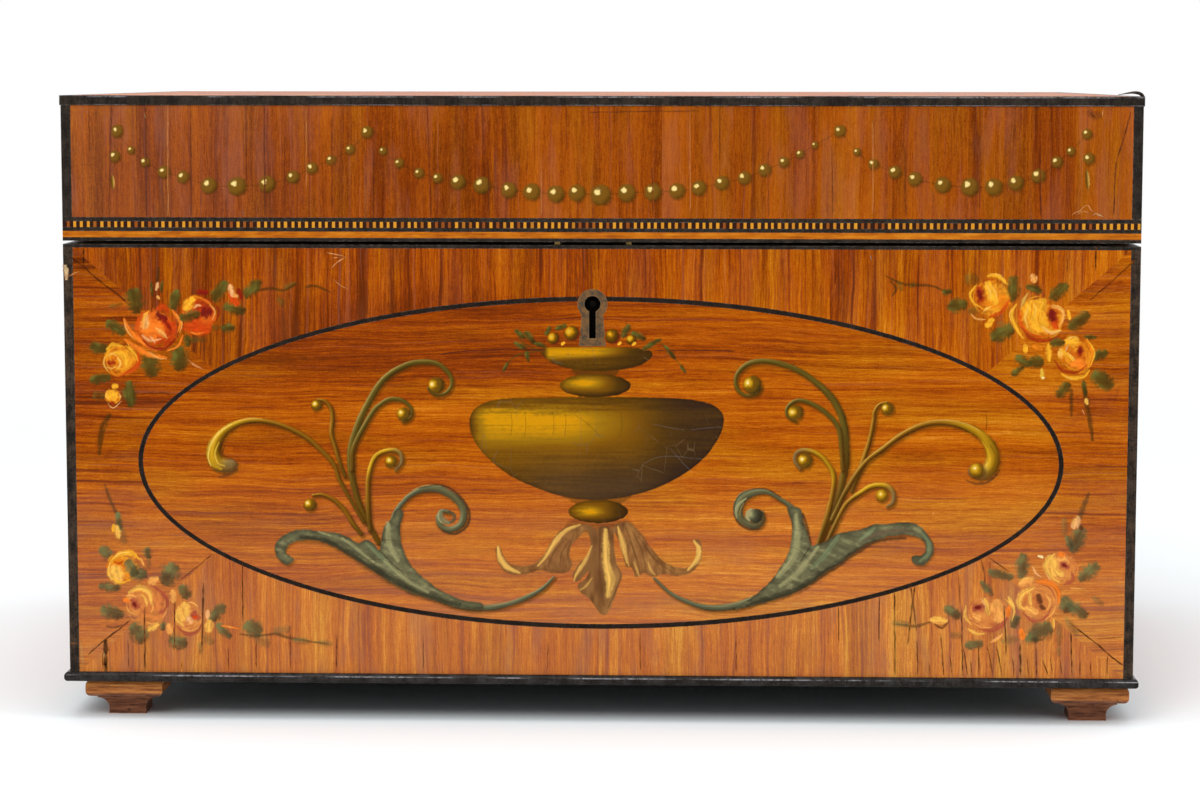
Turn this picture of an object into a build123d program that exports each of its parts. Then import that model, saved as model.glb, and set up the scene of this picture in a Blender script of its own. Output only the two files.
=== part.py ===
from build123d import *
import os
from math import radians, tan

# A veneered and painted satinwood box with a hinged lid, built up as its maker built it.
# The origin is on the floor under the middle of the box. X runs to the right, Y to the
# back and Z up, and all sizes are in millimetres. The carcase is dovetailed pine with its
# bottom let into a rebate. Satinwood sheets, oval ebony strings and mitred crossbands are
# glued over it, ebony strings guard its corners and rims, and it stands on moulded block
# feet. The lid turns on two brass butt hinges that lie flush with the back, where the
# bevelled edges stop it just past upright. A brass box lock in the front board slides its
# bolt through two staples that hang from the lid.

os.makedirs("parts", exist_ok=True)

# Overall sizes
box_width = 330.0
box_depth = 225.0
foot_height = 11.8
case_height = 136.4
lid_gap = 1.0
lid_height = 44.5

# Boards, bottom rebate and dovetails
veneer = 1.0
board = 10.0
bottom_thickness = 8.0
bottom_rebate = 5.0
lid_top_thickness = 8.0
case_tails = 4
lid_tails = 2
pin_width = 6.0
tail_flare = 1.7

# Ebony strings, lid bands and base moulding
string_width = 3.0
rim_string_height = 1.1
lid_top_string_height = 3.0
lid_top_string_reveal = 0.3
upper_string_height = 1.3
chequer_height = 1.8
lower_string_height = 1.2
boxwood_height = 1.9
edge_string_height = 1.1
moulding_height = 3.0
moulding_projection = 1.6
moulding_nose = 1.2

# Oval strings and the crossbands round them
oval_string_width = 1.5
oval_end_margin = 20.1
oval_edge_margin = 15.3
lid_oval_margin = 22.0
front_mitre_angle = 41.0
side_mitre_angle = 45.0
lid_mitre_angle = 45.0

# Feet
foot_width = 24.0
foot_slab_height = 5.4
foot_slab_round = 1.8
foot_step_width = 17.6
foot_step_height = 0.7
foot_base_width = 11.6
foot_base_edge = 0.9
foot_cove_radius = 4.2
foot_inset_left = 4.4
foot_inset_right = 0.8
foot_inset_front = 1.5
foot_inset_back = 1.5

# Keyhole and escutcheon
keyhole_x = -2.0
keyhole_radius = 2.5
keyhole_slot_width = 2.1
keyhole_slot_length = 10.6
keyhole_clearance = 0.3
escutcheon_rim = 2.1
escutcheon_waist_width = 6.0
escutcheon_tail_width = 8.2
escutcheon_tail_length = 12.9
escutcheon_thickness = 2.2

# Lock plate, lock box and the pins riveted to the plate
lock_flange = 6.0
lock_plate_height = 32.5
lock_plate_thickness = 1.5
selvedge_thickness = 1.5
selvedge_depth = 7.8
lock_box_width = 48.0
lock_box_height = 29.5
lock_box_depth = 6.0
lock_box_wall = 1.0
lock_clearance = 0.2
key_pin_radius = 1.0
key_pin_length = 8.5
guide_pin_radius = 0.75
guide_pin_spread = 26.0
guide_pin_clearance = 0.1
rivet_clearance = 0.02

# Bolt, staples and link plate
bolt_travel = 4.5
bolt_length = 38.0
bolt_height = 3.2
bolt_clearance = 0.2
bolt_end_gap = 0.8
talon_width = 8.0
talon_height = 1.5
hook_width = 2.4
nose_length = 4.6
nose_height = 2.0
nose_thickness = 1.6
nose_lead = 0.5
nose_clearance = 0.5
staple_spread = 22.0
staple_thickness = 1.6
staple_wall = 0.9
staple_foot = 1.0
staple_hole_clearance = 0.3
staple_bar_gap = 0.4
staple_slot_clearance = 0.5
staple_tenon_width = 2.4
link_plate_length = 38.0
link_plate_thickness = 1.5

# Hinges
hinge_end_margin = 60.0
hinge_length = 38.0
knuckle_radius = 2.4
knuckle_count = 5
knuckle_side_gap = 0.1
knuckle_relief = 0.25
hinge_pin_radius = 1.25
hinge_pin_clearance = 0.05
leaf_width = 7.7
leaf_thickness = 1.2
mortise_clearance = 0.1
lid_opening = 95.0
stop_clearance = 0.2

# Screws
screw_head_radius = 1.9
screw_shank_radius = 1.0
screw_length = 8.0
screw_slot_width = 0.5
screw_slot_depth = 0.4
screw_clearance = 0.05
screw_point_length = 2.0
hinge_screw_spread = 13.0
lock_screw_edge = 3.0

# Paper lining
lining_thickness = 0.8
lining_drop = 1.0
lining_margin = 0.3

# Faces and heights of the case
half_width = box_width / 2
half_depth = box_depth / 2
case_base = foot_height
case_top = case_base + case_height
board_x = half_width - veneer
board_y = half_depth - veneer
inner_x = board_x - board
inner_y = board_y - board
panel_x = half_width - string_width
panel_y = half_depth - string_width
panel_base = case_base + moulding_height
panel_top = case_top - rim_string_height
panel_middle = (panel_base + panel_top) / 2
panel_half_height = (panel_top - panel_base) / 2
floor_top = case_base + bottom_thickness

# Heights of the lid and its bands
lid_base = case_top + lid_gap
lid_top = lid_base + lid_height
lid_panel_top = lid_top - lid_top_string_height
lid_frame_top = lid_top - veneer - lid_top_thickness
edge_string_top = lid_base + edge_string_height
boxwood_top = edge_string_top + boxwood_height
lower_string_top = boxwood_top + lower_string_height
chequer_top = lower_string_top + chequer_height
band_top = chequer_top + upper_string_height

# Hinge axis, in the middle of the gap, with the knuckles flush with the back
axis_y = half_depth - knuckle_radius
axis_z = case_top + lid_gap / 2
hinge_spacing = box_width - 2 * hinge_end_margin
leaf_edge = axis_y - leaf_width
relief_radius = knuckle_radius + knuckle_relief
bevel_angle = lid_opening / 2
cut_reach = moulding_projection + veneer

# Depth of the countersunk part of a screw's head
screw_cone_height = screw_head_radius - screw_shank_radius

# Places inside the lock, down from the selvedge
lock_plate_width = lock_box_width + 2 * lock_flange
plate_face = -inner_y
box_back = plate_face - lock_plate_thickness
box_front = box_back - lock_box_depth
box_room = lock_box_depth - lock_box_wall
lock_y = box_back - box_room / 2
selvedge_base = case_top - selvedge_thickness
plate_base = case_top - lock_plate_height
nose_top = selvedge_base - nose_clearance
nose_base = nose_top - nose_height
staple_hole_base = nose_base - staple_hole_clearance
staple_hole_top = nose_top + staple_hole_clearance
staple_base = staple_hole_base - staple_foot
staple_width = nose_thickness + 2 * staple_hole_clearance + 2 * staple_wall
bolt_top = staple_base - staple_bar_gap
bolt_base = bolt_top - bolt_height
bolt_left = keyhole_x - lock_box_width / 2 + lock_box_wall + bolt_end_gap
keyhole_z = bolt_base + talon_height - keyhole_slot_length
staple_places = [keyhole_x + side * staple_spread / 2 for side in (-1, 1)]
guide_places = [keyhole_x + side * guide_pin_spread / 2 for side in (-1, 1)]

# Glued faces of the veneered sides, seen from outside with local Y up
front_face = Plane(origin=(0, -board_y, panel_middle), x_dir=(1, 0, 0), z_dir=(0, -1, 0))
left_face = Plane(origin=(-board_x, 0, panel_middle), x_dir=(0, -1, 0), z_dir=(-1, 0, 0))
right_face = Plane(origin=(board_x, 0, panel_middle), x_dir=(0, 1, 0), z_dir=(1, 0, 0))
lid_face = Plane.XY.offset(lid_top - veneer)
down = (0, 0, -1)
up = (0, 0, 1)
forward = (0, -1, 0)


def save(part, name):
    """Labels a finished sub-part and writes it to its own file."""
    part.label = name
    export_step(part, f"parts/{name}.step")


def save_group(parts, name):
    """Writes sub-parts that touch each other as one group of separate solids."""
    save(Compound(children=parts), name)


def block(low, high, mode=Mode.ADD):
    """Adds or cuts a rectangular block between two opposite corners."""
    with BuildSketch(Plane.XY.offset(low[2])) as plan:
        with Locations(((low[0] + high[0]) / 2, (low[1] + high[1]) / 2)):
            Rectangle(high[0] - low[0], high[1] - low[1])
    extrude(plan.sketch, amount=high[2] - low[2], mode=mode)


def mitred_run(side, reach_x, reach_y, thickness, low, high):
    """Adds one mitred strip on the front, back, left or right, between two heights."""
    near_x = reach_x - thickness
    near_y = reach_y - thickness
    way = -1 if side in ("front", "left") else 1
    if side in ("front", "back"):
        outline = [
            (-reach_x, way * reach_y),
            (reach_x, way * reach_y),
            (near_x, way * near_y),
            (-near_x, way * near_y),
        ]
    else:
        outline = [
            (way * reach_x, -reach_y),
            (way * reach_x, reach_y),
            (way * near_x, near_y),
            (way * near_x, -near_y),
        ]
    with BuildSketch(Plane.XY.offset(low)) as plan:
        Polygon(*outline)
    extrude(plan.sketch, amount=high - low)


def wrapped_string(low, high, thickness, back, mode=Mode.ADD):
    """Adds or cuts a string round the front and both sides, up to a back end."""
    with BuildSketch(Plane.XY.offset(low)) as plan:
        Polygon(
            (-half_width, back),
            (-half_width, -half_depth),
            (half_width, -half_depth),
            (half_width, back),
            (half_width - thickness, back),
            (half_width - thickness, -half_depth + thickness),
            (-half_width + thickness, -half_depth + thickness),
            (-half_width + thickness, back),
        )
    extrude(plan.sketch, amount=high - low, mode=mode)


def corner_strings(low, front_high, back_high, mode=Mode.ADD):
    """Adds or cuts the four square strings that stand in the corners."""
    centre_x = half_width - string_width / 2
    centre_y = half_depth - string_width / 2
    for y, high in ((-centre_y, front_high), (centre_y, back_high)):
        with BuildSketch(Plane.XY.offset(low)) as plan:
            with Locations((-centre_x, y), (centre_x, y)):
                Rectangle(string_width, string_width)
        extrude(plan.sketch, amount=high - low, mode=mode)


def tail_outlines(low, high, count):
    """Draws the dovetails at both ends of a side board, between two heights."""
    pitch = (high - low) / count
    end_half = (pitch - pin_width) / 2
    root_half = end_half - tail_flare
    for way in (-1, 1):
        for number in range(count):
            middle = low + pitch * (number + 0.5)
            Polygon(
                (way * board_y, middle - end_half),
                (way * board_y, middle + end_half),
                (way * inner_y, middle + root_half),
                (way * inner_y, middle - root_half),
            )


def side_board(way, low, high, count):
    """Adds a left or right board with its dovetails."""
    with BuildSketch(Plane.YZ.offset(inner_x if way > 0 else -board_x)) as outline:
        with Locations((0, (low + high) / 2)):
            Rectangle(2 * inner_y, high - low)
        tail_outlines(low, high, count)
    extrude(outline.sketch, amount=board)


def end_board(way, low, high, count):
    """Adds a front or back board, with the sockets of the dovetails cut in its ends."""
    near, far = sorted((way * inner_y, way * board_y))
    block((-board_x, near, low), (board_x, far, high))
    for start in (-board_x, inner_x):
        with BuildSketch(Plane.YZ.offset(start)) as sockets:
            tail_outlines(low, high, count)
        extrude(sockets.sketch, amount=board, mode=Mode.SUBTRACT)


def bottom_seat(mode=Mode.SUBTRACT):
    """Adds the bottom board, or cuts its rebate in the walls."""
    reach_x = inner_x + bottom_rebate
    reach_y = inner_y + bottom_rebate
    block((-reach_x, -reach_y, case_base), (reach_x, reach_y, floor_top), mode)


def case_seats():
    """Cuts the seats of the bottom board and of the case's strings in one wall."""
    bottom_seat()
    corner_strings(panel_base, panel_top, case_top, Mode.SUBTRACT)
    wrapped_string(panel_top, case_top, string_width, panel_y, Mode.SUBTRACT)


def back_bevel(way):
    """Cuts the bevel behind the hinge pins, under the lid (way 1) or on the case (way -1).

    The two bevels meet when the lid is fully open, and hold it there.
    """
    far = half_depth + cut_reach
    apex = axis_z + way * stop_clearance / 2
    rise = (far - axis_y) * tan(radians(bevel_angle))
    with BuildSketch(Plane.YZ) as wedge:
        Polygon(
            (axis_y, axis_z),
            (far, axis_z),
            (far, apex + way * rise),
            (axis_y, apex),
        )
    extrude(wedge.sketch, amount=half_width + cut_reach, both=True, mode=Mode.SUBTRACT)


def hinge_seats(way):
    """Cuts the mortises of the two hinge leaves and the room round their knuckles."""
    face = lid_base if way > 0 else case_top
    leaf_low, leaf_high = sorted((face, face + way * leaf_thickness))
    room_low, room_high = sorted((face, axis_z + way * relief_radius))
    half_length = hinge_length / 2 + mortise_clearance
    far = half_depth + cut_reach
    for x in (-hinge_spacing / 2, hinge_spacing / 2):
        block((x - half_length, leaf_edge, leaf_low), (x + half_length, far, leaf_high), Mode.SUBTRACT)
        room_edge = axis_y - relief_radius
        block((x - half_length, room_edge, room_low), (x + half_length, far, room_high), Mode.SUBTRACT)


def hinge_screw_places(face):
    """The middle of each screw head in the leaves of both hinges."""
    y = (leaf_edge + axis_y - relief_radius) / 2
    middles = (-hinge_spacing / 2, hinge_spacing / 2)
    return [(x + step * hinge_screw_spread, y, face) for x in middles for step in (-1, 0, 1)]


def hinge_leaf(x, way):
    """Adds one leaf with its share of the knuckles, for the lid (way 1) or the case."""
    face = lid_base if way > 0 else case_top
    pitch = hinge_length / knuckle_count
    first = 1 if way > 0 else 0
    knuckles = [x - hinge_length / 2 + pitch * number for number in range(first, knuckle_count, 2)]
    width = pitch - knuckle_side_gap
    plate_far = axis_y - relief_radius
    with BuildSketch(Plane.XY.offset(face)) as plate:
        with Locations((x, (leaf_edge + plate_far) / 2)):
            Rectangle(hinge_length, plate_far - leaf_edge)
        with Locations([(start + pitch / 2, (leaf_edge + axis_y) / 2) for start in knuckles]):
            Rectangle(width, axis_y - leaf_edge)
    extrude(plate.sketch, amount=way * leaf_thickness)
    for start in knuckles:
        with BuildSketch(Plane.YZ.offset(start + knuckle_side_gap / 2)) as barrel:
            with Locations((axis_y, axis_z)):
                Circle(knuckle_radius)
        extrude(barrel.sketch, amount=width)
    with BuildSketch(Plane.YZ.offset(x)) as pin_hole:
        with Locations((axis_y, axis_z)):
            Circle(hinge_pin_radius + hinge_pin_clearance)
    extrude(pin_hole.sketch, amount=hinge_length, both=True, mode=Mode.SUBTRACT)
    for place in hinge_screw_places(face):
        if abs(place[0] - x) < hinge_length:
            screw_hole(place, (0, 0, way))


def pilot_hole(place, direction):
    """Drills the wood for one screw, from its head along its direction."""
    with BuildSketch(Plane(origin=place, z_dir=direction)) as hole:
        Circle(screw_shank_radius + screw_clearance)
    extrude(hole.sketch, amount=screw_length + screw_clearance, mode=Mode.SUBTRACT)


def turned(place, direction, outline, mode=Mode.ADD):
    """Adds or cuts a body turned round a screw's axis, from (radius, depth) points."""
    across = Vector(1, 0, 0)
    section = Plane(origin=place, x_dir=across, z_dir=across.cross(Vector(direction)))
    with BuildSketch(section) as profile:
        Polygon(*outline)
    revolve(profile.sketch, axis=Axis(place, direction), mode=mode)


def screw_hole(place, direction):
    """Drills and countersinks a plate for one screw."""
    head_radius = screw_head_radius + screw_clearance
    shank_radius = screw_shank_radius + screw_clearance
    outline = [
        (0, 0),
        (head_radius, 0),
        (shank_radius, screw_cone_height),
        (shank_radius, screw_length),
        (0, screw_length),
    ]
    turned(place, direction, outline, Mode.SUBTRACT)


def wood_screw(place, direction):
    """Adds one slotted countersunk screw with its head flush with the plate."""
    outline = [
        (0, 0),
        (screw_head_radius, 0),
        (screw_shank_radius, screw_cone_height),
        (screw_shank_radius, screw_length - screw_point_length),
        (0, screw_length),
    ]
    turned(place, direction, outline)
    with BuildSketch(Plane(origin=place, z_dir=direction)) as slot:
        Rectangle(screw_slot_width, 2 * screw_head_radius)
    extrude(slot.sketch, amount=screw_slot_depth, mode=Mode.SUBTRACT)


def keyhole(near, far, clearance=0.0):
    """Cuts the keyhole, a round hole over a slot, between two depths from the front."""
    slot_half = keyhole_slot_width / 2 + clearance
    slot_base = keyhole_z - keyhole_slot_length - clearance
    with BuildSketch(Plane.XZ.offset(-near)) as outline:
        with Locations((keyhole_x, keyhole_z)):
            Circle(keyhole_radius + clearance)
        with Locations((keyhole_x, (keyhole_z + slot_base) / 2)):
            Rectangle(2 * slot_half, keyhole_z - slot_base)
    extrude(outline.sketch, amount=near - far, mode=Mode.SUBTRACT)


def escutcheon_body(mode=Mode.ADD):
    """Adds the escutcheon, a round head over a flared tail, or cuts its seat."""
    with BuildSketch(Plane.XZ.offset(half_depth)) as outline:
        with Locations((keyhole_x, keyhole_z)):
            Circle(keyhole_radius + escutcheon_rim)
        Polygon(
            (keyhole_x - escutcheon_waist_width / 2, keyhole_z),
            (keyhole_x - escutcheon_tail_width / 2, keyhole_z - escutcheon_tail_length),
            (keyhole_x + escutcheon_tail_width / 2, keyhole_z - escutcheon_tail_length),
            (keyhole_x + escutcheon_waist_width / 2, keyhole_z),
        )
    extrude(outline.sketch, amount=-escutcheon_thickness, mode=mode)


def lock_plates(mode=Mode.ADD):
    """Adds the lock plate and its selvedge, or cuts their seats."""
    left = keyhole_x - lock_plate_width / 2
    right = keyhole_x + lock_plate_width / 2
    block((left, box_back, plate_base), (right, plate_face, case_top), mode)
    block((left, plate_face - selvedge_depth, selvedge_base), (right, plate_face, case_top), mode)


def lock_screw_places():
    """The place and direction of the screws in the selvedge and in the lock plate."""
    reach = lock_plate_width / 2 - lock_screw_edge
    ends = (keyhole_x - reach, keyhole_x + reach)
    selvedge_screws = [((x, lock_y, case_top), down) for x in ends]
    plate_screws = [((x, plate_face, plate_base + lock_screw_edge), forward) for x in ends]
    return selvedge_screws + plate_screws


def link_screw_places():
    """The middle of each screw head in the link plate under the lid."""
    reach = link_plate_length / 2 - lock_screw_edge
    return [(keyhole_x + side * reach, lock_y, lid_base) for side in (-1, 1)]


def staple_tenon(x, mode=Mode.ADD):
    """Adds the tenon of a staple, or cuts its mortise through the link plate."""
    half_x = staple_thickness / 2
    half_y = staple_tenon_width / 2
    top = lid_base + link_plate_thickness
    block((x - half_x, lock_y - half_y, lid_base), (x + half_x, lock_y + half_y, top), mode)


def oval_set(face, half_length, half_height, end_margin, edge_margin, angle):
    """Makes the panel inside an oval, its string, and the four crossbands round it.

    The crossbands are mitred from the corners, and come in the order top, bottom, left
    and right as seen from outside.
    """
    long_radius = half_length - end_margin
    short_radius = half_height - edge_margin
    half_string = oval_string_width / 2
    run = half_height / tan(radians(angle))
    with BuildPart() as panel:
        with BuildSketch(face):
            Ellipse(long_radius - half_string, short_radius - half_string)
        extrude(amount=veneer)
    with BuildPart() as string:
        with BuildSketch(face):
            Ellipse(long_radius + half_string, short_radius + half_string)
            Ellipse(long_radius - half_string, short_radius - half_string, mode=Mode.SUBTRACT)
        extrude(amount=veneer)
    corners = [(half_length, half_height), (-half_length, half_height)]
    outlines = []
    for way in (1, -1):
        ends = [(x, way * y) for x, y in corners]
        outlines.append(ends + [(run - half_length, 0), (half_length - run, 0)])
    for way in (-1, 1):
        end = way * half_length
        outlines.append([(end, half_height), (end, -half_height), (end - way * run, 0)])
    bands = []
    for outline in outlines:
        with BuildPart() as band:
            with BuildSketch(face):
                Polygon(*outline)
                Ellipse(long_radius + half_string, short_radius + half_string, mode=Mode.SUBTRACT)
            extrude(amount=veneer)
        bands.append(band.part)
    return panel.part, string.part, bands


# Carcase boards
with BuildPart() as front_board:
    end_board(-1, case_base, case_top, case_tails)
    case_seats()
    lock_plates(Mode.SUBTRACT)
    mortise_half = lock_box_width / 2 + lock_clearance
    mortise_base = selvedge_base - lock_box_height - lock_clearance
    block(
        (keyhole_x - mortise_half, box_front - lock_clearance, mortise_base),
        (keyhole_x + mortise_half, box_back, selvedge_base),
        Mode.SUBTRACT,
    )
    escutcheon_body(Mode.SUBTRACT)
    keyhole(-half_depth, box_front, keyhole_clearance)
    for place, direction in lock_screw_places():
        pilot_hole(place, direction)
save(front_board.part, "front_board")

with BuildPart() as back_board:
    end_board(1, case_base, case_top, case_tails)
    case_seats()
    hinge_seats(-1)
    back_bevel(-1)
    for place in hinge_screw_places(case_top):
        pilot_hole(place, down)
save(back_board.part, "back_board")

for name, way in (("left_board", -1), ("right_board", 1)):
    with BuildPart() as wall:
        side_board(way, case_base, case_top, case_tails)
        case_seats()
    save(wall.part, name)

with BuildPart() as bottom_board:
    bottom_seat(Mode.ADD)
save(bottom_board.part, "bottom_board")

# Veneers and oval strings of the case
panel, string, bands = oval_set(
    front_face, panel_x, panel_half_height, oval_end_margin, oval_edge_margin, front_mitre_angle
)
for name, piece in (
    ("front_oval_panel", panel),
    ("front_oval_string", string),
    ("front_crossband_top", bands[0]),
):
    with BuildPart() as fitted:
        add(piece)
        escutcheon_body(Mode.SUBTRACT)
    save(fitted.part, name)
for name, piece in zip(("bottom", "left", "right"), bands[1:]):
    save(piece, f"front_crossband_{name}")

for name, face in (("left", left_face), ("right", right_face)):
    panel, string, bands = oval_set(
        face, panel_y, panel_half_height, oval_end_margin, oval_edge_margin, side_mitre_angle
    )
    save(panel, f"{name}_oval_panel")
    save(string, f"{name}_oval_string")
    save_group(bands, f"{name}_crossbands")

with BuildPart() as back_veneer:
    block((-panel_x, board_y, panel_base), (panel_x, half_depth, case_top))
    hinge_seats(-1)
    back_bevel(-1)
save(back_veneer.part, "back_veneer")

# Ebony strings of the case
with BuildPart() as case_corner_strings:
    corner_strings(panel_base, panel_top, case_top)
    back_bevel(-1)
save(case_corner_strings.part, "case_corner_strings")

with BuildPart() as case_rim_string:
    wrapped_string(panel_top, case_top, string_width, panel_y)
save(case_rim_string.part, "case_rim_string")

# Base mouldings, with a rounded nose
for side in ("front", "back", "left", "right"):
    reach_x = half_width + moulding_projection
    reach_y = half_depth + moulding_projection
    with BuildPart() as moulding:
        mitred_run(side, reach_x, reach_y, moulding_projection + veneer, case_base, panel_base)
        along = Axis.X if side in ("front", "back") else Axis.Y
        across = Axis.Y if side in ("front", "back") else Axis.X
        ordered = moulding.faces().sort_by(across)
        nose = ordered[0] if side in ("front", "left") else ordered[-1]
        fillet(nose.edges().filter_by(along), moulding_nose)
    save(moulding.part, f"base_moulding_{side}")

# Feet, moulded alike on all four sides
slab_base = foot_height - foot_slab_height
step_base = slab_base - foot_step_height


def foot_outline():
    """Draws the front view of a foot: an edge, a cove, a step and a rounded slab."""
    half_base = foot_base_width / 2
    half_step = foot_step_width / 2
    half_slab = foot_width / 2
    with BuildLine() as right_half:
        Polyline((0, 0), (half_base, 0), (half_base, foot_base_edge))
        RadiusArc((half_base, foot_base_edge), (half_step, step_base), foot_cove_radius)
        Polyline((half_step, step_base), (half_step, slab_base), (half_slab - foot_slab_round, slab_base))
        RadiusArc(
            (half_slab - foot_slab_round, slab_base),
            (half_slab, slab_base + foot_slab_round),
            -foot_slab_round,
        )
        Line((half_slab, slab_base + foot_slab_round), (half_slab, foot_height - foot_slab_round))
        RadiusArc(
            (half_slab, foot_height - foot_slab_round),
            (half_slab - foot_slab_round, foot_height),
            -foot_slab_round,
        )
        Line((half_slab - foot_slab_round, foot_height), (0, foot_height))
        mirror(about=Plane.YZ)
    make_face(right_half.edges())


foot_left = -half_width + foot_inset_left + foot_width / 2
foot_right = half_width - foot_inset_right - foot_width / 2
foot_front = -half_depth + foot_inset_front + foot_width / 2
foot_back = half_depth - foot_inset_back - foot_width / 2
for row, y in (("front", foot_front), ("back", foot_back)):
    for side, x in (("left", foot_left), ("right", foot_right)):
        front_view = Plane(origin=(x, y, 0), x_dir=(1, 0, 0), z_dir=(0, -1, 0))
        side_view = Plane(origin=(x, y, 0), x_dir=(0, 1, 0), z_dir=(1, 0, 0))
        with BuildPart() as foot:
            with BuildSketch(front_view):
                foot_outline()
            extrude(amount=foot_width / 2, both=True)
            with BuildSketch(side_view):
                foot_outline()
            extrude(amount=foot_width / 2, both=True, mode=Mode.INTERSECT)
        save(foot.part, f"foot_{row}_{side}")

# Escutcheon and lock
with BuildPart() as escutcheon:
    escutcheon_body()
    keyhole(-half_depth, -half_depth + escutcheon_thickness)
save(escutcheon.part, "keyhole_escutcheon")

with BuildPart() as lock_plate:
    lock_plates()
    for x in staple_places:
        half_x = staple_thickness / 2 + staple_slot_clearance
        half_y = staple_width / 2 + staple_slot_clearance
        block(
            (x - half_x, lock_y - half_y, selvedge_base),
            (x + half_x, lock_y + half_y, case_top),
            Mode.SUBTRACT,
        )
    for place, direction in lock_screw_places():
        screw_hole(place, direction)
    with BuildSketch(Plane.XZ.offset(-plate_face)):
        with Locations((keyhole_x, keyhole_z)):
            Circle(key_pin_radius + rivet_clearance)
        with Locations([(x, (bolt_base + bolt_top) / 2) for x in guide_places]):
            Circle(guide_pin_radius + rivet_clearance)
    extrude(amount=lock_plate_thickness, mode=Mode.SUBTRACT)
save(lock_plate.part, "lock_plate")

with BuildPart() as lock_box:
    box_low = selvedge_base - lock_box_height
    inner_half = lock_box_width / 2 - lock_box_wall
    block(
        (keyhole_x - lock_box_width / 2, box_front, box_low),
        (keyhole_x + lock_box_width / 2, box_back, selvedge_base),
    )
    block(
        (keyhole_x - inner_half, box_front + lock_box_wall, box_low + lock_box_wall),
        (keyhole_x + inner_half, box_back, selvedge_base),
        Mode.SUBTRACT,
    )
    keyhole(box_front, box_front + lock_box_wall, keyhole_clearance)
save(lock_box.part, "lock_box")

with BuildPart() as lock_pins:
    with BuildSketch(Plane.XZ.offset(-plate_face)):
        with Locations((keyhole_x, keyhole_z)):
            Circle(key_pin_radius)
    extrude(amount=key_pin_length)
    with BuildSketch(Plane.XZ.offset(-plate_face)):
        with Locations([(x, (bolt_base + bolt_top) / 2) for x in guide_places]):
            Circle(guide_pin_radius)
    extrude(amount=lock_plate_thickness + box_room - bolt_clearance)
save(lock_pins.part, "lock_pins")

# Sliding bolt, drawn back: a slotted bar with two hooks that reach through the staples
with BuildPart() as lock_bolt:
    bar_half = box_room / 2 - bolt_clearance
    bolt_right = bolt_left + bolt_length
    talon_x = keyhole_x - bolt_travel / 2
    block((bolt_left, lock_y - bar_half, bolt_base), (bolt_right, lock_y + bar_half, bolt_top))
    block(
        (talon_x - talon_width / 2, lock_y - bar_half, bolt_base),
        (talon_x + talon_width / 2, lock_y + bar_half, bolt_base + talon_height),
        Mode.SUBTRACT,
    )
    slot_radius = guide_pin_radius + guide_pin_clearance
    with BuildSketch(Plane.XZ.offset(-lock_y)):
        with Locations([(x - bolt_travel / 2, (bolt_base + bolt_top) / 2) for x in guide_places]):
            SlotOverall(bolt_travel + 2 * slot_radius, 2 * slot_radius)
    extrude(amount=box_room, both=True, mode=Mode.SUBTRACT)
    for x in staple_places:
        tip = x - staple_thickness / 2 - nose_clearance
        hook_far = tip - nose_length
        hook_near = hook_far - hook_width
        with BuildSketch(Plane.XZ.offset(-lock_y)):
            Polygon(
                (hook_near, bolt_top),
                (hook_far, bolt_top),
                (hook_far, nose_base),
                (tip - nose_lead, nose_base),
                (tip, nose_base + nose_lead),
                (tip, nose_top - nose_lead),
                (tip - nose_lead, nose_top),
                (hook_near, nose_top),
            )
        extrude(amount=nose_thickness / 2, both=True)
save(lock_bolt.part, "lock_bolt")

# Screws of the case
screws = []
for place in hinge_screw_places(case_top):
    with BuildPart() as screw:
        wood_screw(place, down)
    screws.append(screw.part)
for place, direction in lock_screw_places():
    with BuildPart() as screw:
        wood_screw(place, direction)
    screws.append(screw.part)
save_group(screws, "case_screws")

# Paper lining of the case, cut out round the lock plate
lining_x = inner_x - lining_thickness
lining_y = inner_y - lining_thickness
with BuildPart() as case_wall_lining:
    lining_top = case_top - lining_drop
    block((-inner_x, -inner_y, floor_top), (inner_x, inner_y, lining_top))
    block((-lining_x, -lining_y, floor_top), (lining_x, lining_y, lining_top), Mode.SUBTRACT)
    block(
        (
            keyhole_x - lock_plate_width / 2 - lining_margin,
            -inner_y,
            plate_base - lining_margin,
        ),
        (
            keyhole_x + lock_plate_width / 2 + lining_margin,
            -lining_y,
            lining_top,
        ),
        Mode.SUBTRACT,
    )
save(case_wall_lining.part, "case_wall_lining")

with BuildPart() as case_floor_lining:
    block((-lining_x, -lining_y, floor_top), (lining_x, lining_y, floor_top + lining_thickness))
save(case_floor_lining.part, "case_floor_lining")

# Hinges
for name, x in (("left", -hinge_spacing / 2), ("right", hinge_spacing / 2)):
    with BuildPart() as case_leaf:
        hinge_leaf(x, -1)
    save(case_leaf.part, f"hinge_{name}_case_leaf")
    with BuildPart() as lid_leaf:
        hinge_leaf(x, 1)
    save(lid_leaf.part, f"hinge_{name}_lid_leaf")

with BuildPart() as hinge_pins:
    for x in (-hinge_spacing / 2, hinge_spacing / 2):
        with BuildSketch(Plane.YZ.offset(x)) as pin_section:
            with Locations((axis_y, axis_z)):
                Circle(hinge_pin_radius)
        extrude(pin_section.sketch, amount=hinge_length / 2, both=True)
save(hinge_pins.part, "hinge_pins")

# Lid boards
with BuildPart() as lid_front_board:
    end_board(-1, lid_base, lid_frame_top, lid_tails)
    corner_strings(band_top, lid_panel_top, lid_panel_top, Mode.SUBTRACT)
    block(
        (keyhole_x - link_plate_length / 2, plate_face - selvedge_depth, lid_base),
        (keyhole_x + link_plate_length / 2, plate_face, lid_base + link_plate_thickness),
        Mode.SUBTRACT,
    )
    for place in link_screw_places():
        pilot_hole(place, up)
save(lid_front_board.part, "lid_front_board")

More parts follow.
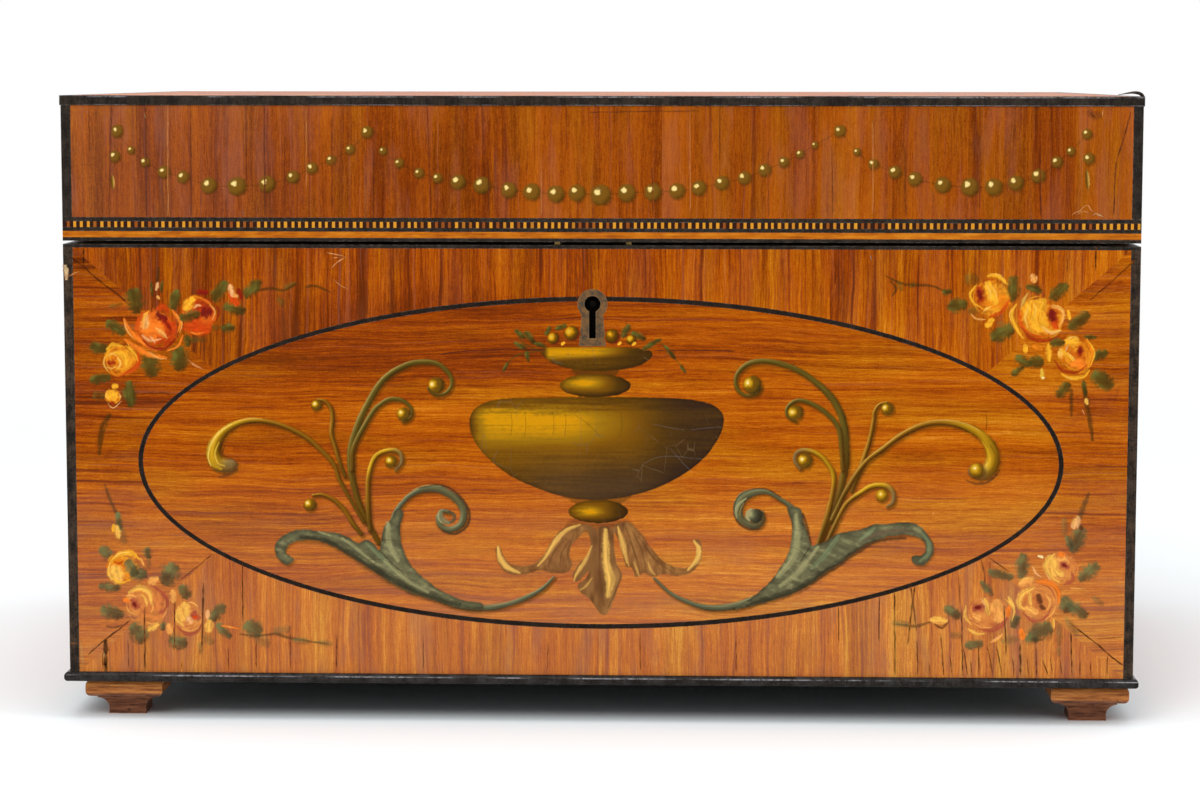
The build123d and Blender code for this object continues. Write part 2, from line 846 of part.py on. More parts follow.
with BuildPart() as lid_back_board:
    end_board(1, lid_base, lid_frame_top, lid_tails)
    corner_strings(band_top, lid_panel_top, lid_panel_top, Mode.SUBTRACT)
    hinge_seats(1)
    back_bevel(1)
    for place in hinge_screw_places(lid_base):
        pilot_hole(place, up)
save(lid_back_board.part, "lid_back_board")

for name, way in (("lid_left_board", -1), ("lid_right_board", 1)):
    with BuildPart() as wall:
        side_board(way, lid_base, lid_frame_top, lid_tails)
        corner_strings(band_top, lid_panel_top, lid_panel_top, Mode.SUBTRACT)
        back_bevel(1)
    save(wall.part, name)

with BuildPart() as lid_top_board:
    block((-board_x, -board_y, lid_frame_top), (board_x, board_y, lid_panel_top))
    block((-panel_x, -panel_y, lid_panel_top), (panel_x, panel_y, lid_top - veneer))
    corner_strings(band_top, lid_panel_top, lid_panel_top, Mode.SUBTRACT)
save(lid_top_board.part, "lid_top_board")

# Veneers of the lid
with BuildPart() as lid_front_veneer:
    block((-panel_x, -half_depth, band_top), (panel_x, -board_y, lid_panel_top))
save(lid_front_veneer.part, "lid_front_veneer")

with BuildPart() as lid_side_veneers:
    for low, high in ((-half_width, -board_x), (board_x, half_width)):
        block((low, -panel_y, band_top), (high, panel_y, lid_panel_top))
save(lid_side_veneers.part, "lid_side_veneers")

with BuildPart() as lid_back_veneer:
    block((-board_x, board_y, lid_base), (board_x, half_depth, band_top))
    block((-panel_x, board_y, band_top), (panel_x, half_depth, lid_panel_top))
    hinge_seats(1)
    back_bevel(1)
save(lid_back_veneer.part, "lid_back_veneer")

panel, string, bands = oval_set(
    lid_face, panel_x, panel_y, lid_oval_margin, lid_oval_margin, lid_mitre_angle
)
save(panel, "lid_top_oval_panel")
save(string, "lid_top_oval_string")
save_group(bands, "lid_top_crossbands")

# Strings and bands of the lid
with BuildPart() as lid_corner_strings:
    corner_strings(band_top, lid_panel_top, lid_panel_top)
save(lid_corner_strings.part, "lid_corner_strings")

edge_strings = []
for side in ("front", "back", "left", "right"):
    reach_x = half_width + lid_top_string_reveal
    reach_y = half_depth + lid_top_string_reveal
    with BuildPart() as edge_string:
        width = string_width + lid_top_string_reveal
        mitred_run(side, reach_x, reach_y, width, lid_panel_top, lid_top)
    edge_strings.append(edge_string.part)
save_group(edge_strings, "lid_top_edge_strings")

ebony_strings = []
for low, high in (
    (lid_base, edge_string_top),
    (boxwood_top, lower_string_top),
    (chequer_top, band_top),
):
    with BuildPart() as ebony_string:
        wrapped_string(low, high, veneer, half_depth)
        back_bevel(1)
    ebony_strings.append(ebony_string.part)
save_group(ebony_strings, "lid_ebony_strings")

for name, low, high in (
    ("lid_boxwood_string", edge_string_top, boxwood_top),
    ("lid_chequer_band", lower_string_top, chequer_top),
):
    with BuildPart() as light_band:
        wrapped_string(low, high, veneer, half_depth)
        back_bevel(1)
    save(light_band.part, name)

# Link plate, and the two staples riveted into it that the bolt passes through
with BuildPart() as link_bar:
    block(
        (keyhole_x - link_plate_length / 2, plate_face - selvedge_depth, lid_base),
        (keyhole_x + link_plate_length / 2, plate_face, lid_base + link_plate_thickness),
    )
    for x in staple_places:
        staple_tenon(x, Mode.SUBTRACT)
    for place in link_screw_places():
        screw_hole(place, up)

staples = []
for x in staple_places:
    with BuildPart() as staple:
        half_x = staple_thickness / 2
        half_hole = nose_thickness / 2 + staple_hole_clearance
        block(
            (x - half_x, lock_y - staple_width / 2, staple_base),
            (x + half_x, lock_y + staple_width / 2, lid_base),
        )
        staple_tenon(x)
        block(
            (x - half_x, lock_y - half_hole, staple_hole_base),
            (x + half_x, lock_y + half_hole, staple_hole_top),
            Mode.SUBTRACT,
        )
    staples.append(staple.part)
save_group([link_bar.part, *staples], "link_plate")

# Screws of the lid
screws = []
for place in hinge_screw_places(lid_base) + link_screw_places():
    with BuildPart() as screw:
        wood_screw(place, up)
    screws.append(screw.part)
save_group(screws, "lid_screws")

# Paper lining of the lid
with BuildPart() as lid_lining:
    lining_base = lid_base + lining_drop
    block((-inner_x, -inner_y, lining_base), (inner_x, inner_y, lid_frame_top))
    block(
        (-lining_x, -lining_y, lining_base),
        (lining_x, lining_y, lid_frame_top - lining_thickness),
        Mode.SUBTRACT,
    )
save(lid_lining.part, "lid_lining")
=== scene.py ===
"""Dresses the painted satinwood box: its woods, strings, painted ornament, brass and paper."""

import logging
import math
from collections.abc import Callable, Sequence
from dataclasses import dataclass, field
from enum import Enum

import bpy
import numpy as np
from mathutils import Euler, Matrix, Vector


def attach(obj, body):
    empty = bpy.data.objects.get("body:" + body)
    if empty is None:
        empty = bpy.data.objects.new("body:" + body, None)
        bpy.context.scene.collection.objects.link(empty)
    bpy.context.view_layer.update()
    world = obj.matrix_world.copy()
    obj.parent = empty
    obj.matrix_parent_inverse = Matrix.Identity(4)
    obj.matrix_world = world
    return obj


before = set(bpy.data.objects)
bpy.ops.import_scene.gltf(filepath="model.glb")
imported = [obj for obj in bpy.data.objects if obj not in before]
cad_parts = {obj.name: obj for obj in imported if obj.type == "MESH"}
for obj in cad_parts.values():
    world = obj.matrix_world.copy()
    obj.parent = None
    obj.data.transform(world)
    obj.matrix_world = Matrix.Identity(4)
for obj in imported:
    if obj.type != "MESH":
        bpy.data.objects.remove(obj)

LOG = logging.getLogger("satinwood_box")
MM = 0.001
MM_PER_METRE = 1000.0
PAINT_LIFT = 0.015 * MM
PAINT_EDGE = 0.04 * MM
MARK_LIFT = 0.11 * MM
FRONT_Y = -112.5 * MM
KEYHOLE_X_MM = -2.0
KEYHOLE_Z_MM = 130.2
GLOOM_DROP_MM = 4.0
# Top of the near-black painted shade on the lowest strip of the case's boards, in millimetres.
SHADE_TOP_MM = 13.0
FAR_ACROSS = 9.0
LATTICE = 64
CURVE_PARTS = 16
LIGHT_LEFT = 0.55
LIGHT_ABOVE = 0.62
LIGHT_FRONT = 0.56

Pixel = tuple[float, float]
Line = tuple[Pixel, ...]
Colour = tuple[float, float, float]
Bead = tuple[float, float, float]
Spot = tuple[float, float, float, float, float]
Dab = tuple[float, float, float, float, float]
Upright = tuple[float, float, float, float, float]
Socket = bpy.types.NodeSocket
Tint = Callable[[np.ndarray, np.ndarray, np.ndarray], np.ndarray]


class Side(Enum):
    """The veneered faces, each with the letters of its level and its upright axis."""

    FRONT = "XZ"
    FLANK = "YZ"
    TOP = "XY"


@dataclass(frozen=True)
class Viewpoint:
    """Where the photograph was taken from, and how its pixels fall on the front.

    The pixels are those of a frame 1200 pixels wide and 800 high.
    """

    place: tuple[float, float, float] = (0.03068, -1.05371, 0.20041)
    turn_deg: tuple[float, float, float] = (83.953, -0.055, 1.851)
    lens_mm: float = 92.40
    sensor_mm: float = 36.0
    width_px: float = 1200.0
    height_px: float = 800.0

    def turn(self) -> Euler:
        """Returns the turn of the camera."""
        return Euler([math.radians(angle) for angle in self.turn_deg])

    def on_front(self, pixels: np.ndarray, front_y: float) -> np.ndarray:
        """Finds where pixels of the photograph fall on an upright plane that faces the front.

        Args:
            pixels: one row for each pixel, its distance from the left and from the top.
            front_y: where the plane stands, in metres.

        Returns:
            One row for each pixel, with its x and z in metres.
        """
        focal = self.lens_mm / self.sensor_mm * self.width_px
        level = pixels[:, 0] - self.width_px / 2
        upright = self.height_px / 2 - pixels[:, 1]
        rays = np.column_stack([level, upright, np.full(len(pixels), -focal)])
        rays = rays @ np.array(self.turn().to_matrix()).T
        reach = (front_y - self.place[1]) / rays[:, 1]
        return np.column_stack([self.place[0] + rays[:, 0] * reach, self.place[2] + rays[:, 2] * reach])


class Graph:
    """A material's nodes, with short ways to add them and to link their sockets."""

    def __init__(self, name: str) -> None:
        """Starts an empty material.

        Args:
            name: the material's name.
        """
        self.material = bpy.data.materials.new(name)
        self.material.use_nodes = True
        self.tree = self.material.node_tree
        self.tree.nodes.clear()

    def add(self, kind: str, inputs: dict | None = None, **settings: object) -> bpy.types.Node:
        """Adds a node.

        Args:
            kind: the node's type, without its ShaderNode prefix.
            inputs: values or sockets, by the name or the number of the input.
            settings: the node's own settings.

        Returns:
            The node.
        """
        node = self.tree.nodes.new("ShaderNode" + kind)
        for key, setting in settings.items():
            setattr(node, key, setting)
        for key, source in (inputs or {}).items():
            if isinstance(source, Socket):
                self.tree.links.new(source, node.inputs[key])
            else:
                node.inputs[key].default_value = source
        return node

    def math(self, operation: str, *values: object) -> Socket:
        """Returns the result of a Math node."""
        node = self.add("Math", dict(enumerate(values)), operation=operation)
        return node.outputs[0]

    def plus(self, first: object, second: object) -> Socket:
        """Returns the sum of two numbers."""
        return self.math("ADD", first, second)

    def minus(self, first: object, second: object) -> Socket:
        """Returns one number less another."""
        return self.math("SUBTRACT", first, second)

    def times(self, first: object, second: object) -> Socket:
        """Returns the product of two numbers."""
        return self.math("MULTIPLY", first, second)

    def squares(self, first: object, second: object) -> Socket:
        """Returns the sum of the squares of two numbers."""
        return self.plus(self.math("POWER", first, 2.0), self.math("POWER", second, 2.0))

    def sway(self, value: object, noise: Socket, strength: float) -> Socket:
        """Returns a number that noise from 0 to 1 moves by up to half a strength each way."""
        return self.math("MULTIPLY_ADD", self.minus(noise, 0.5), strength, value)

    def blend(self, factor: object, first: object, second: object, way: str = "MIX") -> Socket:
        """Returns two colours mixed by a factor, where a colour may be a socket or a value."""
        inputs = {0: factor}
        for number, colour in ((6, first), (7, second)):
            inputs[number] = colour if isinstance(colour, Socket) else (*colour, 1.0)
        node = self.add("Mix", inputs, data_type="RGBA", blend_type=way, clamp_factor=True)
        return node.outputs[2]

    def mix(self, factor: object, first: Socket, second: Socket) -> Socket:
        """Returns two linked colours mixed by a factor."""
        return self.add("Mix", {0: factor, 6: first, 7: second}, data_type="RGBA").outputs[2]

    def lerp(self, factor: object, first: object, second: object) -> Socket:
        """Returns two numbers mixed by a factor."""
        return self.add("Mix", {0: factor, 2: first, 3: second}, data_type="FLOAT").outputs[0]

    def step(self, value: object, low: float, high: float) -> Socket:
        """Returns 0 below low, 1 above high and a smooth rise between them."""
        inputs = {0: value, 1: low, 2: high}
        return self.add("MapRange", inputs, interpolation_type="SMOOTHSTEP").outputs[0]

    def pack(self, x: object, y: object, z: object) -> Socket:
        """Returns three numbers as one vector."""
        return self.add("CombineXYZ", {0: x, 1: y, 2: z}).outputs[0]

    def stretch(self, vector: Socket, scale: tuple[float, float, float]) -> Socket:
        """Returns a vector with each part multiplied."""
        return self.add("VectorMath", {0: vector, 1: scale}, operation="MULTIPLY").outputs[0]

    def noise(
        self, vector: Socket, scale: float = 1.0, detail: float = 2.0, rough: float = 0.5
    ) -> Socket:
        """Returns soft noise from 0 to 1 at a place."""
        inputs = {"Vector": vector, "Scale": scale, "Detail": detail, "Roughness": rough}
        return self.add("TexNoise", inputs).outputs[0]

    def texture(self, place: Socket, scale: Colour, detail: float, rough: float = 0.5) -> Socket:
        """Returns soft noise from 0 to 1 with its own scale along each axis."""
        return self.noise(self.stretch(place, scale), 1.0, detail, rough)

    def ramp(self, factor: Socket, stops: Sequence[tuple[float, Colour]]) -> Socket:
        """Returns the colour at a factor on a scale of colours."""
        node = self.add("ValToRGB", {0: factor})
        elements = node.color_ramp.elements
        while len(elements) < len(stops):
            elements.new(0.5)
        for element, (place, colour) in zip(elements, stops):
            element.position = place
            element.color = (*colour, 1.0)
        return node.outputs[0]

    def place(self) -> tuple[Socket, Socket, Socket]:
        """Returns the place on the object along X, Y and Z, in millimetres."""
        origin = self.add("TexCoord").outputs["Object"]
        parts = self.add("SeparateXYZ", {0: self.stretch(origin, (MM_PER_METRE,) * 3)})
        return parts.outputs[0], parts.outputs[1], parts.outputs[2]

    def finish(self, surface: dict, height: Socket | None = None, depth_mm: float = 0.05) -> None:
        """Ends the material in a surface.

        Args:
            surface: values or sockets of the Principled surface, by name.
            height: the height of the relief, from 0 to 1.
            depth_mm: how deep the relief is.
        """
        shader = self.add("BsdfPrincipled", surface)
        if height is not None:
            bump = self.add("Bump", {"Height": height, "Distance": depth_mm * MM})
            self.tree.links.new(bump.outputs[0], shader.inputs["Normal"])
        self.add("OutputMaterial", {0: shader.outputs[0]})


@dataclass(frozen=True)
class Figure:
    """The colours of a veneer, from its darkest streaks to its palest fibres."""

    deep: Colour = (0.125, 0.019, 0.001)
    streak: Colour = (0.240, 0.036, 0.001)
    middle: Colour = (0.395, 0.078, 0.001)
    light: Colour = (0.560, 0.148, 0.003)
    pale: Colour = (0.740, 0.280, 0.025)
    veil: Colour = (0.275, 0.088, 0.048)
    # The pale colour of hazy varnish, also used for the painted reflection of the pale floor on the front.
    haze_and_reflection_tint: Colour = (0.660, 0.420, 0.300)
    honey: Colour = (0.90, 1.20, 0.90)

    def stops(self) -> list[tuple[float, Colour]]:
        """Returns the scale of colours from the darkest streak to the palest fibre."""
        shades = (self.deep, self.streak, self.middle, self.light, self.pale)
        return list(zip((0.05, 0.28, 0.50, 0.74, 0.98), shades))


SATINWOOD = Figure()
LID_SATINWOOD = Figure(
    deep=(0.100, 0.014, 0.001),
    streak=(0.200, 0.033, 0.001),
    middle=(0.330, 0.067, 0.002),
    light=(0.440, 0.105, 0.005),
    pale=(0.600, 0.190, 0.030),
    veil=(0.310, 0.100, 0.060),
)


@dataclass(frozen=True)
class Grain:
    """One sheet of veneer whose grain runs along one direction, with its strengths."""

    figure: Figure = SATINWOOD
    sway_mm: float = 9.0
    bands: float = 0.50
    lines: float = 0.86
    ripple: float = 0.10
    grit: float = 0.38
    streaks: float = 0.20
    veils: float = 0.16
    clouds: float = 0.0
    honey: float = 0.5
    tone: float = 0.56
    broad: float = 0.62
    fibres: float = 0.62
    quick_sway_mm: float = 1.6
    # How strongly haze and the painted reflection veil the dark streaks and pale the wood.
    haze_and_reflection_veil: float = 0.34
    haze_and_reflection_pale: float = 0.10

    def draw(
        self, graph: Graph, along: Socket, across: Socket, seed: object, lift: object, haze_and_reflection: object
    ) -> tuple[Socket, Socket]:
        """Draws the grain.

        Args:
            graph: the material.
            along: the place along the grain, in millimetres.
            across: the place across the grain, in millimetres.
            seed: a number that differs from sheet to sheet.
            lift: how much lighter the sheet is, from -1 to 1.
            haze_and_reflection: how hazy the varnish is, and on the front how strong the painted reflection
                of the pale floor in the varnish is, from 0 to 1.

        Returns:
            The colour and the height of the surface.
        """
        flat = graph.pack(along, across, seed)
        slow = graph.texture(flat, (0.008, 0.020, 1.0), 1.0)
        quick = graph.texture(flat, (0.05, 0.12, 1.0), 1.0)
        bend = graph.sway(across, slow, self.sway_mm)
        bend = graph.sway(bend, quick, self.quick_sway_mm)
        bent = graph.pack(along, bend, seed)
        broad = graph.texture(bent, (0.006, 0.075, 1.0), 2.0)
        bands = graph.texture(bent, (0.014, 0.34, 1.0), 2.0, 0.6)
        lines = graph.texture(bent, (0.045, 1.5, 1.0), 3.0, 0.65)
        fibres = graph.texture(bent, (0.30, 4.2, 1.0), 2.0, 0.7)
        ripple = graph.texture(flat, (0.50, 0.16, 1.0), 2.0)
        grit = graph.texture(flat, (1.7, 2.3, 1.0), 2.0, 0.7)
        tone = self.tone
        for layer, strength in (
            (broad, self.broad), (bands, self.bands), (lines, self.lines), (fibres, self.fibres),
            (ripple, self.ripple), (grit, self.grit),
        ):
            tone = graph.sway(tone, layer, strength)
        dark = graph.step(graph.texture(bent, (0.010, 0.44, 2.0), 2.0, 0.6), 0.55, 0.72)
        tone = graph.minus(tone, graph.times(dark, self.streaks))
        colour = graph.ramp(graph.plus(tone, lift), self.figure.stops())
        warm = graph.step(graph.texture(flat, (0.020, 0.11, 4.0), 2.0), 0.44, 0.64)
        colour = graph.blend(graph.times(warm, self.honey), colour, self.figure.honey, "MULTIPLY")
        clouds = graph.step(graph.texture(flat, (0.030, 0.12, 5.0), 3.0, 0.6), 0.48, 0.66)
        hairs = graph.step(graph.texture(bent, (0.018, 1.15, 3.0), 3.0, 0.6), 0.57, 0.70)
        veil = graph.math("MAXIMUM", graph.times(hairs, self.veils), graph.times(clouds, self.clouds))
        # Haze and painted reflection: a pale veil over the wood, which on the front is a painted reflection
        # of the floor, stronger towards the bottom.
        veiled_haze_and_reflection = graph.times(graph.math("MAXIMUM", dark, clouds), haze_and_reflection)
        veil = graph.plus(veil, graph.times(veiled_haze_and_reflection, self.haze_and_reflection_veil))
        colour = graph.blend(veil, colour, self.figure.veil)
        colour = graph.blend(graph.times(haze_and_reflection, self.haze_and_reflection_pale), colour, self.figure.haze_and_reflection_tint)
        height = graph.plus(graph.times(fibres, 0.5), graph.times(lines, 0.5))
        return colour, height


@dataclass(frozen=True)
class Varnish:
    """Old varnish over a veneer: its sheen, and how far the grain still shows through it."""

    rough: float = 0.30
    spread: float = 0.16
    specular: float = 0.03
    depth_mm: float = 0.012

    def finish(self, graph: Graph, colour: Socket, height: Socket) -> bpy.types.Material:
        """Ends a veneer's material in varnish.

        Args:
            graph: the material.
            colour: the wood's colour.
            height: the height of the grain, from 0 to 1.

        Returns:
            The material.
        """
        worn = graph.noise(graph.pack(*graph.place()), 0.035, 3.0, 0.6)
        rough = graph.math("MULTIPLY_ADD", worn, self.spread, self.rough - self.spread / 2)
        surface = {"Base Color": colour, "Roughness": rough, "Specular IOR Level": self.specular}
        graph.finish(surface, height, self.depth_mm)
        return graph.material


def shade(graph: Graph, level: Socket, upright: Socket, spot: Spot) -> Socket:
    """Returns how much a soft spot lifts or dims the wood.

    Args:
        graph: the material.
        level: the place across, in millimetres.
        upright: the place up, in millimetres.
        spot: its middle across and up, its reach across and up, and its strength at the middle.
    """
    middle_x, middle_z, reach_x, reach_z, strength = spot
    part_x = graph.math("DIVIDE", graph.minus(level, middle_x), reach_x)
    part_z = graph.math("DIVIDE", graph.minus(upright, middle_z), reach_z)
    return graph.times(graph.step(graph.squares(part_x, part_z), 1.0, 0.0), strength)


class Veneer:
    """A face that is laid with veneer."""

    def paint(self, graph: Graph) -> tuple[Socket, Socket]:
        """Draws the face and returns the colour and the height of its surface."""
        raise NotImplementedError

    def material(self, name: str) -> bpy.types.Material:
        """Returns the finish of the bare face, under a name."""
        graph = Graph(name)
        return Varnish().finish(graph, *self.paint(graph))


@dataclass(frozen=True)
class OvalFace(Veneer):
    """A veneered face with an oval panel and mitred crossbands, all sizes in millimetres."""

    side: Side
    half_length: float
    half_height: float
    centre: float
    long_radius: float
    short_radius: float
    mitre_deg: float
    seed: float
    lift_up: float = 0.0
    lift_right: float = 0.0
    # Where a painted reflection of the pale floor starts and where it is full, up the face, in millimetres.
    haze_and_reflection: tuple[float, float] | None = None
    panel: Grain = Grain()
    band: Grain = Grain(sway_mm=5.0, bands=0.58, streaks=0.34, veils=0.34, clouds=0.10)
    shades: tuple[Spot, ...] = ()

    def paint(self, graph: Graph) -> tuple[Socket, Socket]:
        """Draws the whole face, each sheet with its own grain.

        Args:
            graph: the material.

        Returns:
            The colour and the height of the surface.
        """
        axes = dict(zip("XYZ", graph.place()))
        level = axes[self.side.value[0]]
        upright = graph.minus(axes[self.side.value[1]], self.centre)
        far = graph.minus(self.half_length, graph.math("ABSOLUTE", level))
        edge = graph.minus(self.half_height, graph.math("ABSOLUTE", upright))
        slope = math.tan(math.radians(self.mitre_deg))
        end = graph.math("GREATER_THAN", edge, graph.times(far, slope))
        across = graph.math("DIVIDE", level, self.long_radius)
        up = graph.math("DIVIDE", upright, self.short_radius)
        reach = graph.squares(across, up)
        inside = graph.math("LESS_THAN", reach, 1.0)
        lift = graph.times(upright, self.lift_up)
        lift = graph.math("MULTIPLY_ADD", level, self.lift_right, lift)
        for spot in self.shades:
            lift = graph.plus(lift, shade(graph, level, upright, spot))
        # Painted reflection of the pale floor in the varnish, stronger towards the bottom.
        haze_and_reflection = graph.step(upright, *self.haze_and_reflection) if self.haze_and_reflection else 0.0
        centre_piece = self.panel.draw(graph, level, upright, self.seed, lift, haze_and_reflection)
        number = graph.plus(graph.math("SIGN", level), graph.times(end, 5.0))
        number = graph.plus(number, graph.times(graph.math("SIGN", upright), 2.0))
        seed = graph.math("MULTIPLY_ADD", number, 3.7, self.seed + 40.0)
        along = graph.lerp(end, upright, level)
        across = graph.lerp(end, level, upright)
        border = self.band.draw(graph, along, across, seed, lift, haze_and_reflection)
        return graph.mix(inside, border[0], centre_piece[0]), graph.lerp(inside, border[1], centre_piece[1])


@dataclass(frozen=True)
class Staves(Veneer):
    """The lid's upright staves of reddish satinwood, side by side along one axis."""

    axis: str
    seed: float
    width_mm: float = 11.5
    dull_side: float = 0.0
    grain: Grain = Grain(
        LID_SATINWOOD, sway_mm=2.5, bands=0.36, lines=0.50, grit=0.48, streaks=0.16, veils=0.30, clouds=0.22
    )
    shades: tuple[Spot, ...] = ()
    dull_from_to_mm: tuple[float, float] = (-60.0, -150.0)

    def paint(self, graph: Graph) -> tuple[Socket, Socket]:
        """Draws the staves.

        Args:
            graph: the material.

        Returns:
            The colour and the height of the surface.
        """
        axes = dict(zip("XYZ", graph.place()))
        across = axes[self.axis]
        shifted = graph.plus(across, self.seed)
        inputs = {"W": shifted, "Scale": 1.0 / self.width_mm, "Randomness": 1.0}
        stave = graph.add("TexVoronoi", inputs, voronoi_dimensions="1D", feature="F1")
        tone = graph.add("SeparateColor", {0: stave.outputs["Color"]}).outputs[0]
        lift = graph.math("MULTIPLY_ADD", tone, 0.10, -0.065)
        for spot in self.shades:
            lift = graph.plus(lift, shade(graph, across, axes["Z"], spot))
        seed = graph.math("MULTIPLY_ADD", tone, 9.0, self.seed)
        # The lid's varnish is hazier towards its left.
        haze_and_reflection = 0.0
        if self.dull_side:
            haze_and_reflection = graph.times(graph.step(across, *self.dull_from_to_mm), self.dull_side)
        return self.grain.draw(graph, axes["Z"], across, seed, lift, haze_and_reflection)


@dataclass(frozen=True)
class PlainSheet:
    """A plain sheet of veneer or board with its grain along one axis."""

    along: str
    across: str
    seed: float
    grain: Grain = Grain()
    varnish: Varnish = Varnish()
    shaded_below_mm: float = 0.0

    def material(self, name: str) -> bpy.types.Material:
        """Returns the finish of the sheet, under a name."""
        graph = Graph(name)
        axes = dict(zip("XYZ", graph.place()))
        third = next(axes[letter] for letter in "XYZ" if letter not in (self.along, self.across))
        across = graph.math("MULTIPLY_ADD", third, 0.35, axes[self.across])
        colour, height = self.grain.draw(graph, axes[self.along], across, self.seed, 0.0, 0.0)
        # Painted shade: the lowest strip of the board is painted near black, to darken the shade under the
        # box.
        if self.shaded_below_mm:
            painted_shade_below = graph.step(axes["Z"], self.shaded_below_mm + 1.0, self.shaded_below_mm)
            colour = graph.blend(painted_shade_below, colour, (0.010, 0.009, 0.009))
        return self.varnish.finish(graph, colour, height)


PINE_FIGURE = Figure(
    deep=(0.150, 0.055, 0.018),
    streak=(0.270, 0.115, 0.040),
    middle=(0.400, 0.200, 0.080),
    light=(0.500, 0.280, 0.125),
    pale=(0.600, 0.370, 0.190),
    veil=(0.210, 0.100, 0.045),
    haze_and_reflection_tint=(0.450, 0.380, 0.300),
)
PINE_GRAIN = Grain(PINE_FIGURE, sway_mm=14.0, ripple=0.1, streaks=0.26, veils=0.2)
WAX = Varnish(rough=0.55, specular=0.25, depth_mm=0.05)


def edges(graph: Graph, reach_mm: float) -> Socket:
    """Returns how near the surface is to a sharp edge, from 0 to 1.

    Args:
        graph: the material.
        reach_mm: how far from the edge it begins.
    """
    rounded = graph.add("Bevel", {"Radius": reach_mm * MM}, samples=6).outputs[0]
    true = graph.add("NewGeometry").outputs["Normal"]
    facing = graph.add("VectorMath", {0: rounded, 1: true}, operation="DOT_PRODUCT").outputs["Value"]
    return graph.step(facing, 0.995, 0.86)


@dataclass(frozen=True)
class Ebony:
    """Polished ebony, worn to grey brown along its edges, with painted highlight lines where given."""

    black: Colour = (0.011, 0.008, 0.006)
    grey: Colour = (0.038, 0.027, 0.020)
    worn: Colour = (0.150, 0.120, 0.095)
    rough: float = 0.34
    wear: float = 0.75
    # Painted highlight lines: each its height and half width in millimetres, and its strength.
    painted_highlight_lines: tuple[tuple[float, float, float], ...] = ()
    specular: float = 0.07

    def material(self, name: str) -> bpy.types.Material:
        """Returns the finish, under a name."""
        graph = Graph(name)
        x, y, z = graph.place()
        place = graph.pack(graph.plus(x, y), graph.minus(x, y), z)
        level = graph.texture(place, (0.09, 1.2, 1.9), 3.0, 0.65)
        upright = graph.texture(place, (1.4, 1.4, 0.16), 3.0, 0.65)
        patches = graph.texture(place, (0.16, 0.16, 0.22), 3.0, 0.7)
        streaks = graph.times(graph.plus(level, upright), 0.5)
        tone = graph.plus(graph.times(streaks, 0.8), graph.times(patches, 0.6))
        colour = graph.blend(graph.step(tone, 0.56, 0.88), self.black, self.grey)
        broken = graph.step(graph.texture(place, (0.35, 0.5, 0.5), 4.0, 0.75), 0.46, 0.62)
        wear = graph.times(graph.times(edges(graph, 0.5), broken), self.wear)
        colour = graph.blend(wear, colour, self.worn)
        # Painted highlights: broken pale lines along a rounded edge, where it would catch the light.
        for height, reach, strength in self.painted_highlight_lines:
            away = graph.math("ABSOLUTE", graph.minus(z, height))
            gaps = graph.noise(graph.pack(x, y, height), 0.045, 3.0, 0.6)
            line = graph.times(graph.step(away, reach, 0.0), graph.step(gaps, 0.42, 0.58))
            fine = graph.noise(graph.pack(x, y, z), 0.9, 3.0, 0.7)
            line = graph.times(line, graph.step(fine, 0.30, 0.60))
            colour = graph.blend(graph.times(line, strength), colour, (0.42, 0.40, 0.42))
        rough = graph.math("MULTIPLY_ADD", patches, 0.25, self.rough - 0.12)
        surface = {"Base Color": colour, "Roughness": rough, "Specular IOR Level": self.specular}
        graph.finish(surface, streaks, 0.03)
        return graph.material


@dataclass(frozen=True)
class Boxwood:
    """The yellow boxwood string of the lid."""

    dark: Colour = (0.240, 0.050, 0.003)
    yellow: Colour = (0.480, 0.125, 0.004)
    bright: Colour = (0.620, 0.210, 0.012)

    def material(self, name: str) -> bpy.types.Material:
        """Returns the finish, under a name."""
        graph = Graph(name)
        x, y, z = graph.place()
        place = graph.pack(graph.plus(x, y), graph.minus(x, y), z)
        streaks = graph.texture(place, (0.05, 0.05, 2.6), 3.0, 0.7)
        patches = graph.texture(place, (0.10, 0.10, 0.4), 2.0, 0.6)
        tone = graph.math("MULTIPLY_ADD", patches, 0.8, graph.times(streaks, 0.8))
        colour = graph.ramp(tone, [(0.50, self.dark), (0.78, self.yellow), (1.0, self.bright)])
        nicks = graph.step(graph.texture(place, (0.8, 0.8, 1.4), 2.0, 0.8), 0.66, 0.74)
        colour = graph.blend(graph.times(nicks, 0.7), colour, (0.07, 0.02, 0.004))
        surface = {"Base Color": colour, "Roughness": 0.36, "Specular IOR Level": 0.06}
        graph.finish(surface, streaks, 0.02)
        return graph.material


